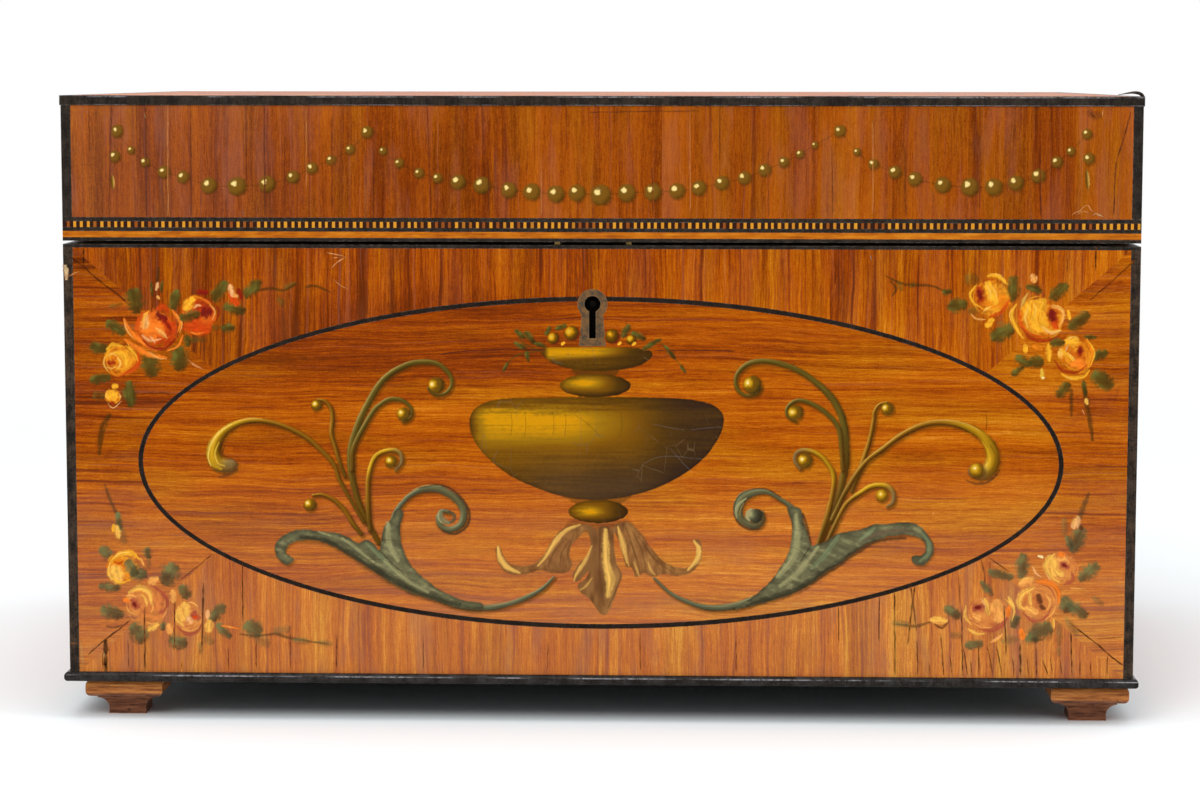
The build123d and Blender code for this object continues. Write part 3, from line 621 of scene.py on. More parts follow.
@dataclass(frozen=True)
class Chequer:
    """Squares of boxwood and ebony by turns, along the length of the band."""

    pitch_mm: float = 2.1
    share: float = 0.44
    wander_mm: float = 1.2
    light: Colour = (0.640, 0.270, 0.022)
    dim: Colour = (0.260, 0.065, 0.010)
    dark: Colour = (0.030, 0.009, 0.004)

    def material(self, name: str) -> bpy.types.Material:
        """Returns the finish, under a name."""
        graph = Graph(name)
        x, y, _ = graph.place()
        normal = graph.add("SeparateXYZ", {0: graph.add("NewGeometry").outputs["Normal"]})
        front = graph.math("GREATER_THAN", graph.math("ABSOLUTE", normal.outputs[1]), 0.5)
        run = graph.lerp(front, y, x)
        wander = graph.noise(graph.pack(run, 0.0, 0.0), 0.21, 2.0)
        run = graph.sway(run, wander, self.wander_mm)
        place = graph.math("DIVIDE", run, self.pitch_mm)
        part = graph.math("FRACT", place)
        first = graph.step(part, 0.0, 0.07)
        last = graph.step(part, self.share + 0.06, self.share - 0.02)
        ends = graph.math("MINIMUM", first, last)
        number = graph.math("FLOOR", place)
        chance = graph.add("TexWhiteNoise", {"W": number}, noise_dimensions="1D").outputs["Value"]
        group = graph.noise(graph.pack(run, 0.0, 0.0), 0.03, 2.0)
        bright = graph.step(graph.plus(chance, graph.times(group, 1.4)), 0.75, 1.25)
        square = graph.blend(bright, self.dim, self.light)
        colour = graph.blend(ends, self.dark, square)
        surface = {"Base Color": colour, "Roughness": 0.38, "Specular IOR Level": 0.05}
        graph.finish(surface, ends, 0.01)
        return graph.material


@dataclass(frozen=True)
class FootWood:
    """Stained wood of the feet, lighter orange on the slab and darker brown below it."""

    slab_low_mm: float = 7.6
    places: tuple[float, float, float] = (0.34, 0.52, 0.70)
    orange: tuple[Colour, ...] = ((0.16, 0.046, 0.012), (0.43, 0.145, 0.034), (0.60, 0.25, 0.06))
    brown: tuple[Colour, ...] = ((0.070, 0.026, 0.013), (0.225, 0.082, 0.040), (0.34, 0.135, 0.062))

    def material(self, name: str) -> bpy.types.Material:
        """Returns the finish, under a name."""
        graph = Graph(name)
        x, y, z = graph.place()
        place = graph.pack(x, y, z)
        streaks = graph.texture(place, (0.12, 0.12, 1.5), 4.0, 0.7)
        orange = graph.ramp(streaks, list(zip(self.places, self.orange)))
        brown = graph.ramp(streaks, list(zip(self.places, self.brown)))
        slab = graph.step(z, self.slab_low_mm - 0.5, self.slab_low_mm + 0.5)
        colour = graph.blend(slab, brown, orange)
        spots = graph.step(graph.noise(place, 0.34, 4.0, 0.7), 0.60, 0.70)
        colour = graph.blend(graph.times(spots, 0.8), colour, (0.030, 0.013, 0.008))
        broken = graph.step(graph.noise(place, 0.5, 3.0, 0.7), 0.42, 0.60)
        wear = graph.times(graph.times(edges(graph, 0.45), broken), 0.75)
        colour = graph.blend(wear, colour, (0.46, 0.25, 0.115))
        surface = {"Base Color": colour, "Roughness": 0.46, "Specular IOR Level": 0.12}
        graph.finish(surface, streaks, 0.06)
        return graph.material


@dataclass(frozen=True)
class Metal:
    """Old metal, tarnished in patches and bright along its edges."""

    clean: Colour
    tarnish: Colour
    bright: Colour
    metallic: float = 1.0
    rough: float = 0.38
    tarnish_share: float = 0.55
    # Whether painted shade darkens the metal round the keyhole.
    keyhole_shade: bool = False
    patch: float = 0.22
    specular: float = 0.5

    def material(self, name: str) -> bpy.types.Material:
        """Returns the finish, under a name."""
        graph = Graph(name)
        x, y, z = graph.place()
        place = graph.pack(x, y, z)
        patches = graph.noise(place, self.patch, 4.0, 0.65)
        grains = graph.texture(place, (0.7, 5.0, 5.0), 3.0, 0.6)
        share = graph.times(graph.step(patches, 0.38, 0.64), self.tarnish_share)
        colour = graph.blend(share, self.clean, self.tarnish)
        wear = graph.times(edges(graph, 0.3), 0.8)
        colour = graph.blend(wear, colour, self.bright)
        # Painted shade: near black round the keyhole's bore.
        if self.keyhole_shade:
            colour = graph.blend(keyhole_painted_shade(graph, x, z), colour, (0.006, 0.005, 0.004))
        rough = graph.math("MULTIPLY_ADD", patches, 0.30, self.rough - 0.15)
        rough = graph.math("MULTIPLY_ADD", grains, 0.08, rough)
        surface = {
            "Base Color": colour,
            "Roughness": rough,
            "Metallic": self.metallic,
            "Specular IOR Level": self.specular,
        }
        graph.finish(surface, grains, 0.01)
        return graph.material


def keyhole_painted_shade(graph: Graph, x: Socket, z: Socket) -> Socket:
    """Returns where painted shade darkens the metal round the keyhole's bore, from 0 to 1.

    Args:
        graph: the material.
        x: the place along X, in millimetres.
        z: the place along Z, in millimetres.
    """
    off_x = graph.minus(x, KEYHOLE_X_MM)
    off_z = graph.times(graph.minus(z, KEYHOLE_Z_MM - GLOOM_DROP_MM), 0.6)
    return graph.step(graph.math("SQRT", graph.squares(off_x, off_z)), 8.0, 5.0)


AGED_BRASS = Metal((0.56, 0.36, 0.11), (0.15, 0.085, 0.035), (0.78, 0.56, 0.22))
# The lock's brass carries painted shade round the keyhole.
LOCK_BRASS = Metal((0.48, 0.31, 0.10), (0.10, 0.060, 0.030), (0.72, 0.52, 0.20), keyhole_shade=True)
GREY_BRASS = Metal(
    (0.172, 0.082, 0.027), (0.056, 0.042, 0.026), (0.26, 0.18, 0.09),
    metallic=0.05, rough=0.6, tarnish_share=0.95, patch=0.6, specular=0.15,
)
STEEL = Metal((0.36, 0.34, 0.32), (0.10, 0.060, 0.040), (0.58, 0.56, 0.54), rough=0.34)


@dataclass(frozen=True)
class LiningPaper:
    """Faded blue grey lining paper, foxed and rubbed."""

    blue: Colour = (0.215, 0.290, 0.300)
    faded: Colour = (0.305, 0.350, 0.325)
    foxing: Colour = (0.280, 0.165, 0.070)

    def material(self, name: str) -> bpy.types.Material:
        """Returns the finish, under a name."""
        graph = Graph(name)
        place = graph.pack(*graph.place())
        fade = graph.noise(place, 0.016, 3.0, 0.6)
        fibres = graph.noise(place, 2.2, 3.0, 0.7)
        stains = graph.step(graph.noise(place, 0.09, 4.0, 0.7), 0.60, 0.74)
        spots = graph.step(graph.noise(place, 0.55, 2.0, 0.6), 0.70, 0.76)
        colour = graph.blend(graph.step(fade, 0.36, 0.66), self.blue, self.faded)
        colour = graph.blend(graph.times(stains, 0.45), colour, self.foxing)
        colour = graph.blend(graph.times(spots, 0.6), colour, self.foxing)
        pale = graph.times(graph.step(fibres, 0.45, 0.75), 0.12)
        colour = graph.blend(pale, colour, (0.62, 0.60, 0.52))
        surface = {"Base Color": colour, "Roughness": 0.85, "Specular IOR Level": 0.2}
        graph.finish(surface, fibres, 0.06)
        return graph.material


@dataclass(frozen=True)
class OilPaint:
    """Oil paint on a veneer: where it doesn't cover, the wood shows."""

    ground: OvalFace | Staves
    cracks: float = 0.0
    flush: bool = False

    def material(self, name: str) -> bpy.types.Material:
        """Returns the finish, under a name."""
        graph = Graph(name)
        colour, height = self.ground.paint(graph)
        paint = graph.add("Attribute", attribute_name="paint")
        place = graph.pack(*graph.place())
        oil = paint.outputs["Color"]
        if self.cracks:
            net = {"Vector": graph.stretch(place, (0.19, 1.0, 0.10)), "Scale": 1.0}
            edge = graph.add("TexVoronoi", net, feature="DISTANCE_TO_EDGE").outputs["Distance"]
            thin = graph.step(edge, 0.020, 0.004)
            broken = graph.step(graph.noise(place, 0.09, 2.0), 0.50, 0.60)
            line = graph.times(graph.times(thin, broken), self.cracks)
            oil = graph.blend(line, oil, (0.16, 0.10, 0.045))
        mixed = graph.mix(paint.outputs["Alpha"], colour, oil)
        if self.flush:
            turned = {"vector_type": "NORMAL", "convert_from": "OBJECT", "convert_to": "WORLD"}
            normal = graph.add("VectorTransform", {0: (0.0, -1.0, 0.0)}, **turned).outputs[0]
            surface = {"Base Color": mixed, "Roughness": 0.4, "Specular IOR Level": 0.02, "Normal": normal}
            graph.finish(surface)
            return graph.material
        brush = graph.texture(place, (2.5, 1.0, 2.5), 2.0, 0.6)
        relief = graph.lerp(paint.outputs["Alpha"], height, brush)
        return Varnish(depth_mm=0.02).finish(graph, mixed, relief)


@dataclass(frozen=True)
class Studio:
    """A pale floor, a white backdrop and soft light from above and from the front."""

    low_light: float = 0.24
    high_light: float = 0.92
    sky_rise: tuple[float, float] = (-0.1, 0.9)
    overhead_power: float = 11.0
    front_power: float = 15.0
    aim: tuple[float, float, float] = (0.0, 0.0, 0.09)
    floor_size: float = 30.0
    floor_fade_mm: tuple[float, float] = (260.0, 1000.0)

    def build(self) -> None:
        """Adds the camera, the lamps, the floor and the backdrop."""
        view = Viewpoint()
        camera = bpy.data.cameras.new("camera")
        camera.lens = view.lens_mm
        camera.sensor_width = view.sensor_mm
        camera.clip_start = 0.01
        stand = bpy.data.objects.new("camera", camera)
        stand.location = view.place
        stand.rotation_euler = view.turn()
        scene = bpy.context.scene
        scene.collection.objects.link(stand)
        scene.camera = stand
        scene.view_settings.view_transform = "Standard"
        self.lamp("overhead_softbox", (0.1, -0.25, 1.5), (1.6, 1.2), self.overhead_power)
        self.lamp("front_softbox", (-0.5, -1.6, 1.5), (1.2, 0.9), self.front_power)
        self.backdrop()
        self.floor()

    def lamp(
        self, name: str, place: tuple[float, float, float], size: tuple[float, float], power: float
    ) -> None:
        """Adds a softbox that faces the box.

        Args:
            name: the lamp's name.
            place: where it stands, in metres.
            size: its width and height, in metres.
            power: its power, in watts.
        """
        light = bpy.data.lights.new(name, "AREA")
        light.shape = "RECTANGLE"
        light.size, light.size_y = size
        light.energy = power
        stand = bpy.data.objects.new(name, light)
        stand.location = place
        aim = Vector(self.aim) - stand.location
        stand.rotation_euler = aim.to_track_quat("-Z", "Y").to_euler()
        bpy.context.scene.collection.objects.link(stand)

    def backdrop(self) -> None:
        """Makes the backdrop white where it is seen, and a soft light that is stronger from above."""
        world = bpy.data.worlds.new("backdrop")
        world.use_nodes = True
        bpy.context.scene.world = world
        tree = world.node_tree
        tree.nodes.clear()
        path = tree.nodes.new("ShaderNodeLightPath")
        sky = tree.nodes.new("ShaderNodeTexCoord")
        parts = tree.nodes.new("ShaderNodeSeparateXYZ")
        height = tree.nodes.new("ShaderNodeMapRange")
        height.inputs["From Min"].default_value, height.inputs["From Max"].default_value = self.sky_rise
        height.inputs["To Min"].default_value = self.low_light
        height.inputs["To Max"].default_value = self.high_light
        soft = tree.nodes.new("ShaderNodeBackground")
        soft.inputs[0].default_value = (0.96, 0.98, 1.0, 1.0)
        seen = tree.nodes.new("ShaderNodeBackground")
        seen.inputs[0].default_value = (1.0, 1.0, 1.0, 1.0)
        gloss = tree.nodes.new("ShaderNodeMath")
        gloss.operation = "MAXIMUM"
        clear = tree.nodes.new("ShaderNodeMath")
        clear.operation = "MAXIMUM"
        mixed = tree.nodes.new("ShaderNodeMixShader")
        output = tree.nodes.new("ShaderNodeOutputWorld")
        link = tree.links.new
        link(sky.outputs["Generated"], parts.inputs[0])
        link(parts.outputs[2], height.inputs[0])
        link(height.outputs[0], soft.inputs[1])
        link(path.outputs["Is Glossy Ray"], gloss.inputs[0])
        link(path.outputs["Is Transmission Ray"], gloss.inputs[1])
        link(path.outputs["Is Camera Ray"], clear.inputs[0])
        link(gloss.outputs[0], clear.inputs[1])
        link(clear.outputs[0], mixed.inputs[0])
        link(soft.outputs[0], mixed.inputs[1])
        link(seen.outputs[0], mixed.inputs[2])
        link(mixed.outputs[0], output.inputs[0])

    def floor(self) -> None:
        """Adds the pale floor, which fades into the backdrop far from the box."""
        bpy.ops.object.select_all(action="DESELECT")
        bpy.ops.mesh.primitive_plane_add(size=self.floor_size)
        floor = bpy.context.object
        floor.name = "floor"
        graph = Graph("pale_floor")
        place = graph.place()
        far = graph.math("SQRT", graph.squares(place[0], place[1]))
        fade = graph.step(far, *self.floor_fade_mm)
        path = graph.add("LightPath").outputs
        mirrored = graph.math("MAXIMUM", path["Is Glossy Ray"], path["Is Transmission Ray"])
        seen = graph.times(fade, graph.math("MAXIMUM", path["Is Camera Ray"], mirrored))
        cloth = graph.add("BsdfDiffuse", {0: (0.905, 0.938, 0.948, 1.0)})
        glow = graph.add("Emission", {0: (1.0, 1.0, 1.0, 1.0), 1: 1.0})
        mixed = graph.add("MixShader", {0: seen, 1: cloth.outputs[0], 2: glow.outputs[0]})
        graph.add("OutputMaterial", {0: mixed.outputs[0]})
        floor.data.materials.append(graph.material)


class Pigment(Enum):
    """The painter's colours, written as they show on a screen."""

    LEAF_DARK = "33290A"
    LEAF = "474214"
    LEAF_LIGHT = "62682A"
    DUSKY_DARK = "42341E"
    DUSKY = "575030"
    DUSKY_LIGHT = "6E7646"
    BARK_DEEP = "33200A"
    BARK_DARK = "4E2F06"
    BARK = "62440C"
    BARK_LIGHT = "7C5A1C"
    BARK_GLINT = "9E7E40"
    STEM_DEEP = "322608"
    STEM_DARK = "4C3C0E"
    STEM = "604E16"
    STEM_LIGHT = "7C682A"
    STEM_GLINT = "A28C4A"
    SAGE_DEEP = "2E2A1C"
    SAGE_DARK = "4A4832"
    SAGE = "5C5A40"
    SAGE_LIGHT = "727250"
    SAGE_GLINT = "8E8C62"
    MOSS = "686446"
    MOSS_LIGHT = "9E9868"
    FERN = "76805A"
    OCHRE_DARK = "6E4608"
    OCHRE = "905F12"
    OCHRE_LIGHT = "B08028"
    OCHRE_GLINT = "CA9C44"
    GOLD_DARK = "4E2E04"
    GOLD_DEEP = "6E4A06"
    GOLD = "9A6E0C"
    GOLD_LIGHT = "C8961A"
    GOLD_GLINT = "DDB038"
    TAN_DARK = "4E3018"
    TAN = "6E4C22"
    TAN_LIGHT = "8A7040"
    URN_DARK = "301C0C"
    URN_SHADE = "4E3208"
    URN_BODY = "784D08"
    URN_LIGHT = "CC8C06"
    BEAD_DARK = "3E2606"
    BEAD_DEEP = "5A3C0A"
    BEAD = "745014"
    BEAD_LIGHT = "F0C860"
    CREAM = "F6DE98"
    WINE = "6A1210"
    RED_DEEP = "82140A"
    RED = "C8400C"
    RED_LIGHT = "EC7820"
    AMBER_DEEP = "9A260A"
    AMBER = "DC7812"
    AMBER_LIGHT = "F2AA28"
    ROSE_DEEP = "A24632"
    ROSE = "CC7638"
    ROSE_LIGHT = "E89E4C"
    BUTTER = "EEB24C"
    PALE = "E4A668"
    UMBER = "5A2E16"
    CRACK = "2A1208"
    SEAM = "46231A"
    DUST = "9A9894"
    DUSK = "5E4A3A"
    RUBBED = "DC9458"
    BARE = "CDB68A"
    SLATE = "5C6878"
    FROND_DARK = "643E20"
    FROND = "8C6034"
    FROND_LIGHT = "AE7E42"
    FROND_GLINT = "CE9A4C"
    STRAW = "E0AE54"

    @property
    def rgb(self) -> np.ndarray:
        """Returns the colour as plain light values."""
        shown = np.array([int(self.value[k:k + 2], 16) for k in (0, 2, 4)]) / 255
        return np.where(shown <= 0.04045, shown / 12.92, ((shown + 0.055) / 1.055) ** 2.4)


def mottle(u: np.ndarray, v: np.ndarray, seed: int) -> np.ndarray:
    """Returns soft noise from -1 to 1 at places one unit apart.

    Args:
        u: the places across.
        v: the places down.
        seed: the number that sets the noise.

    Returns:
        The noise at each place.
    """
    lattice = np.random.default_rng(seed).uniform(-1.0, 1.0, (LATTICE, LATTICE))
    column, row = np.floor(u).astype(int), np.floor(v).astype(int)
    a, b = u - column, v - row
    a, b = a * a * (3 - 2 * a), b * b * (3 - 2 * b)
    left, right, above, below = column % LATTICE, (column + 1) % LATTICE, row % LATTICE, (row + 1) % LATTICE
    first = lattice[above, left] * (1 - a) + lattice[above, right] * a
    second = lattice[below, left] * (1 - a) + lattice[below, right] * a
    return first * (1 - b) + second * b


def rise(value: np.ndarray, low: float, high: float) -> np.ndarray:
    """Returns 0 at low, 1 at high and a smooth rise between them."""
    part = np.clip((value - low) / (high - low), 0.0, 1.0)
    return part * part * (3 - 2 * part)


def scale(value: np.ndarray, *stops: tuple[float, Pigment]) -> np.ndarray:
    """Returns the colours at values on a scale of pigments."""
    places = [place for place, _ in stops]
    colours = np.array([pigment.rgb for _, pigment in stops])
    return np.stack([np.interp(value, places, colours[:, k]) for k in range(3)], axis=-1)


def flow(points: Sequence[Pixel], spacing: float = 1.5) -> np.ndarray:
    """Returns a smooth line through points, as evenly spaced points.

    Args:
        points: the points that the line passes through.
        spacing: how far apart the points of the line are.

    Returns:
        The points of the line, one a row.
    """
    knots = np.array(points, float)
    ends = np.vstack([2 * knots[0] - knots[1], knots, 2 * knots[-1] - knots[-2]])
    parts = np.linspace(0.0, 1.0, CURVE_PARTS, endpoint=False)[:, None]
    line = []
    for k in range(len(knots) - 1):
        p0, p1, p2, p3 = ends[k:k + 4]
        line.append(
            0.5 * (2 * p1 + (p2 - p0) * parts + (2 * p0 - 5 * p1 + 4 * p2 - p3) * parts**2
                   + (3 * p1 - p0 - 3 * p2 + p3) * parts**3)
        )
    curve = np.vstack([*line, knots[-1:]])
    length = np.concatenate([[0.0], np.cumsum(np.hypot(*np.diff(curve, axis=0).T))])
    count = max(3, int(length[-1] / spacing) + 1)
    even = np.linspace(0.0, length[-1], count)
    return np.column_stack([np.interp(even, length, curve[:, k]) for k in (0, 1)])


@dataclass
class Film:
    """A thin film of oil paint over part of the front, painted on a fine net of points.

    Places and sizes are pixels of the photograph until the film is laid on the veneer.
    """

    name: str
    low: Pixel
    high: Pixel
    step: float = 0.62
    seed: int = 1
    u: np.ndarray = field(init=False)
    v: np.ndarray = field(init=False)
    colour: np.ndarray = field(init=False)
    cover: np.ndarray = field(init=False)
    relief: np.ndarray = field(init=False)

    def __post_init__(self) -> None:
        """Lays out the net."""
        columns = int((self.high[0] - self.low[0]) / self.step) + 1
        rows = int((self.high[1] - self.low[1]) / self.step) + 1
        across = self.low[0] + self.step * np.arange(columns)
        down = self.high[1] - self.step * np.arange(rows)
        self.u, self.v = np.meshgrid(across, down)
        self.colour = np.zeros((rows, columns, 3))
        self.cover = np.zeros((rows, columns))
        self.relief = np.zeros((rows, columns))

    def window(self, low: np.ndarray, high: np.ndarray) -> tuple[slice, slice]:
        """Returns the rows and columns of the net between two corners."""
        rows, columns = self.cover.shape
        left = max(0, int((low[0] - self.low[0]) / self.step))
        right = min(columns, int((high[0] - self.low[0]) / self.step) + 2)
        first = max(0, int((self.high[1] - high[1]) / self.step))
        last = min(rows, int((self.high[1] - low[1]) / self.step) + 2)
        return slice(first, max(first, last)), slice(left, max(left, right))

    def put(self, area: tuple, colour: np.ndarray, cover: np.ndarray, relief: np.ndarray | float) -> None:
        """Lays paint over what is there.

        Args:
            area: the rows and columns of the net.
            colour: the paint's colour at each point.
            cover: how well it covers at each point, from 0 to 1.
            relief: how high it stands, in millimetres.
        """
        old = self.cover[area]
        total = cover + old * (1 - cover)
        safe = np.maximum(total, 1e-6)[..., None]
        under = self.colour[area] * (old * (1 - cover))[..., None]
        self.colour[area] = (colour * cover[..., None] + under) / safe
        self.cover[area] = total
        self.relief[area] = np.maximum(self.relief[area] * (1 - 0.5 * cover), relief * cover)

    def stroke(
        self,
        path: Sequence[Pixel],
        widths: Sequence[float],
        tint: Tint,
        cover: float = 1.0,
        soft: float = 0.3,
        bristle: float = 0.14,
        relief: float = 0.05,
        rim: float = 0.0,
    ) -> None:
        """Paints one stroke along a smooth line.

        Args:
            path: the points that the line passes through.
            widths: half the width at even places along it.
            tint: gives colours from the place along (0 to 1), the place across (-1 to 1)
                and how far the round of the stroke faces the light (-1 to 1).
            cover: how well the paint covers.
            soft: the share of the half width that fades out at the edges.
            bristle: how much the hairs of the brush break the stroke up.
            relief: how high the paint stands, in millimetres.
            rim: how much darker its edges are.
        """
        line = flow(path)
        count = len(line)
        half = np.interp(np.linspace(0, 1, count), np.linspace(0, 1, len(widths)), widths)
        margin = half.max() + 2
        area = self.window(line.min(0) - margin, line.max(0) + margin)
        u, v = self.u[area], self.v[area]
        nearest = np.full(u.shape, np.inf)
        along, side = np.zeros(u.shape), np.zeros(u.shape)
        slope_u, slope_v = np.zeros(u.shape), np.zeros(u.shape)
        for k in range(count - 1):
            start, end = line[k], line[k + 1]
            run = end - start
            length = max(np.hypot(*run), 1e-6)
            reach = max(half[k], half[k + 1]) * 1.15 + 1.0
            rows, columns = self.window(np.minimum(start, end) - reach, np.maximum(start, end) + reach)
            local = (
                slice(rows.start - area[0].start, rows.stop - area[0].start),
                slice(columns.start - area[1].start, columns.stop - area[1].start),
            )
            du, dv = u[local] - start[0], v[local] - start[1]
            part = np.clip((du * run[0] + dv * run[1]) / length**2, 0, 1)
            off_u, off_v = du - part * run[0], dv - part * run[1]
            away = np.hypot(off_u, off_v)
            turn = np.sign(run[0] * off_v - run[1] * off_u)
            better = away < nearest[local]
            nearest[local] = np.where(better, away, nearest[local])
            along[local] = np.where(better, (k + part) / (count - 1), along[local])
            side[local] = np.where(better, turn, side[local])
            slope_u[local] = np.where(better, off_u / np.maximum(away, 1e-6), slope_u[local])
            slope_v[local] = np.where(better, off_v / np.maximum(away, 1e-6), slope_v[local])
        width = np.interp(along, np.linspace(0, 1, len(widths)), widths)
        across = np.minimum(nearest / np.maximum(width, 1e-3), FAR_ACROSS)
        hairs = mottle(along * count * 0.12, side * across * 5 + 30, self.seed + count)
        fine = mottle(u * 0.6, v * 0.6, self.seed + 5)
        edge = across + bristle * (0.7 * hairs + 0.5 * fine)
        mask = (1 - rise(edge, 1 - soft, 1.0 + 0.15 * soft)) * cover
        bulge = np.sqrt(np.clip(1 - across**2, 0, 1))
        lit = -LIGHT_LEFT * slope_u * across - LIGHT_ABOVE * slope_v * across + LIGHT_FRONT * bulge
        colour = tint(along, side * across, lit)
        colour = colour * (1 + bristle * hairs - rim * rise(across, 0.5, 1.0))[..., None]
        self.put(area, np.clip(colour, 0, 1), mask, relief * bulge)

    def blot(
        self,
        centre: Pixel,
        radii: tuple[float, float],
        angle_deg: float,
        tint: Callable[[np.ndarray, np.ndarray], np.ndarray],
        cover: float = 1.0,
        soft: float = 0.3,
        point: float = 1.0,
        relief: float = 0.05,
        rough: float = 0.12,
    ) -> None:
        """Paints one dab of the brush.

        Args:
            centre: the middle of the dab.
            radii: half its length and half its width.
            angle_deg: how far its length is turned from level, clockwise.
            tint: gives colours from the place along and across, both from -1 to 1.
            cover: how well the paint covers.
            soft: the share of the width that fades out at the edge.
            point: 1 for a round dab, more for one with pointed ends.
            relief: how high the paint stands, in millimetres.
            rough: how uneven its edge is.
        """
        reach = max(radii) * 1.3 + 2
        area = self.window(np.array(centre) - reach, np.array(centre) + reach)
        turn = math.radians(angle_deg)
        du, dv = self.u[area] - centre[0], self.v[area] - centre[1]
        along = (du * math.cos(turn) + dv * math.sin(turn)) / radii[0]
        across = (-du * math.sin(turn) + dv * math.cos(turn)) / radii[1]
        taper = np.clip(1 - along**2, 0, 1) ** (0.5 * point)
        away = np.where(np.abs(along) < 1, np.abs(across) / np.maximum(taper, 1e-3), FAR_ACROSS)
        away = np.maximum(away, np.abs(along) ** 4)
        grit = mottle(self.u[area] * 0.45, self.v[area] * 0.45, self.seed + int(abs(centre[0]) * 7) % 97)
        away = away + rough * grit
        mask = (1 - rise(away, 1 - soft, 1.0 + 0.2 * soft)) * cover
        bulge = np.sqrt(np.clip(1 - away**2, 0, 1))
        self.put(area, tint(along, across), mask, relief * bulge)

    def fill(
        self,
        outline: Sequence[Pixel],
        tint: Callable[[np.ndarray, np.ndarray], np.ndarray],
        cover: float = 1.0,
        soft: float = 1.2,
        relief: float = 0.06,
        rough: float = 0.5,
        rim: float = 0.0,
    ) -> None:
        """Paints inside a smooth closed outline.

        Args:
            outline: the points that the outline passes through, in order.
            tint: gives colours from the places across and down.
            cover: how well the paint covers.
            soft: how wide the edge's fading is, in pixels.
            relief: how high the paint stands, in millimetres.
            rough: how uneven the edge is, in pixels.
            rim: how much darker the paint is along its edge.
        """
        closed = [*outline, *outline[:3]]
        line = flow(closed, 2.0)
        first = int(np.argmin(np.hypot(*(line[: len(line) // 3] - np.array(closed[1])).T)))
        last = len(line) // 2 + int(np.argmin(np.hypot(*(line[len(line) // 2:] - np.array(closed[1])).T)))
        loop = line[first:last + 1]
        area = self.window(loop.min(0) - 3, loop.max(0) + 3)
        u, v = self.u[area], self.v[area]
        nearest = np.full(u.shape, np.inf)
        inside = np.zeros(u.shape, bool)
        for k in range(len(loop)):
            (u0, v0), (u1, v1) = loop[k], loop[(k + 1) % len(loop)]
            run = max((u1 - u0) ** 2 + (v1 - v0) ** 2, 1e-9)
            part = np.clip(((u - u0) * (u1 - u0) + (v - v0) * (v1 - v0)) / run, 0, 1)
            away = np.hypot(u - u0 - part * (u1 - u0), v - v0 - part * (v1 - v0))
            nearest = np.minimum(nearest, away)
            if v0 != v1:
                crosses = (v0 > v) != (v1 > v)
                inside ^= crosses & (u < (u1 - u0) * (v - v0) / (v1 - v0) + u0)
        depth = np.where(inside, nearest, -nearest) + rough * mottle(u * 0.3, v * 0.3, self.seed + 3)
        mask = rise(depth, -0.5 * soft, 0.5 * soft) * cover
        colour = tint(u, v) * (1 - rim * (1 - rise(depth, 0.0, 5.0)))[..., None]
        self.put(area, np.clip(colour, 0, 1), mask, relief * rise(depth, 0.0, 6.0))

    def ball(
        self, centre: Pixel, radius: float, tint: Tint, cover: float = 1.0, shine: Pixel = (-0.32, -0.28)
    ) -> None:
        """Paints a round bead.

        Args:
            centre: its middle.
            radius: its radius.
            tint: gives colours from the place along, the place across and the light, which is
                1 at the highlight and less by the distance from it.
            cover: how well the paint covers.
            shine: where its highlight lies, from the middle, as shares of the radius.
        """
        area = self.window(np.array(centre) - radius - 3, np.array(centre) + radius + 3)
        du, dv = (self.u[area] - centre[0]) / radius, (self.v[area] - centre[1]) / radius
        away = np.hypot(du, dv)
        bulge = np.sqrt(np.clip(1 - away**2, 0, 1))
        grit = mottle(self.u[area] * 0.5, self.v[area] * 0.5, self.seed + int(centre[0]) % 53)
        lit = 1 - np.hypot(du - shine[0], dv - shine[1]) + 0.10 * grit
        mask = (1 - rise(away + 0.08 * grit, 0.78, 1.08)) * cover
        self.put(area, np.clip(tint(away, du, lit), 0, 1), mask, 0.07 * bulge)

    def lay(self, body: str, slot: str, material: bpy.types.Material, front_y: float) -> bpy.types.Object:
        """Makes the film a mesh on the veneer.

        Args:
            body: the CAD body that it rides on.
            slot: the record's material slot, which is not used.
            material: its finish.
            front_y: where the face of the veneer lies, in metres.

        Returns:
            The film.
        """
        rows, columns = self.cover.shape
        spots = np.column_stack([self.u.ravel(), self.v.ravel()])
        places = Viewpoint().on_front(spots, front_y).reshape(rows, columns, 2)
        wet = self.cover > 0.01
        lift = np.where(wet, PAINT_LIFT + self.relief * MM, -PAINT_EDGE)
        points = np.stack([places[..., 0], front_y - lift, places[..., 1]], axis=-1)
        paint = np.concatenate([self.colour, self.cover[..., None]], axis=-1)
        keep = wet.copy()
        keep[1:] |= wet[:-1]
        keep[:-1] |= wet[1:]
        level = keep.copy()
        keep[:, 1:] |= level[:, :-1]
        keep[:, :-1] |= level[:, 1:]
        return spread(self.name, points, paint, keep, body, slot, material)


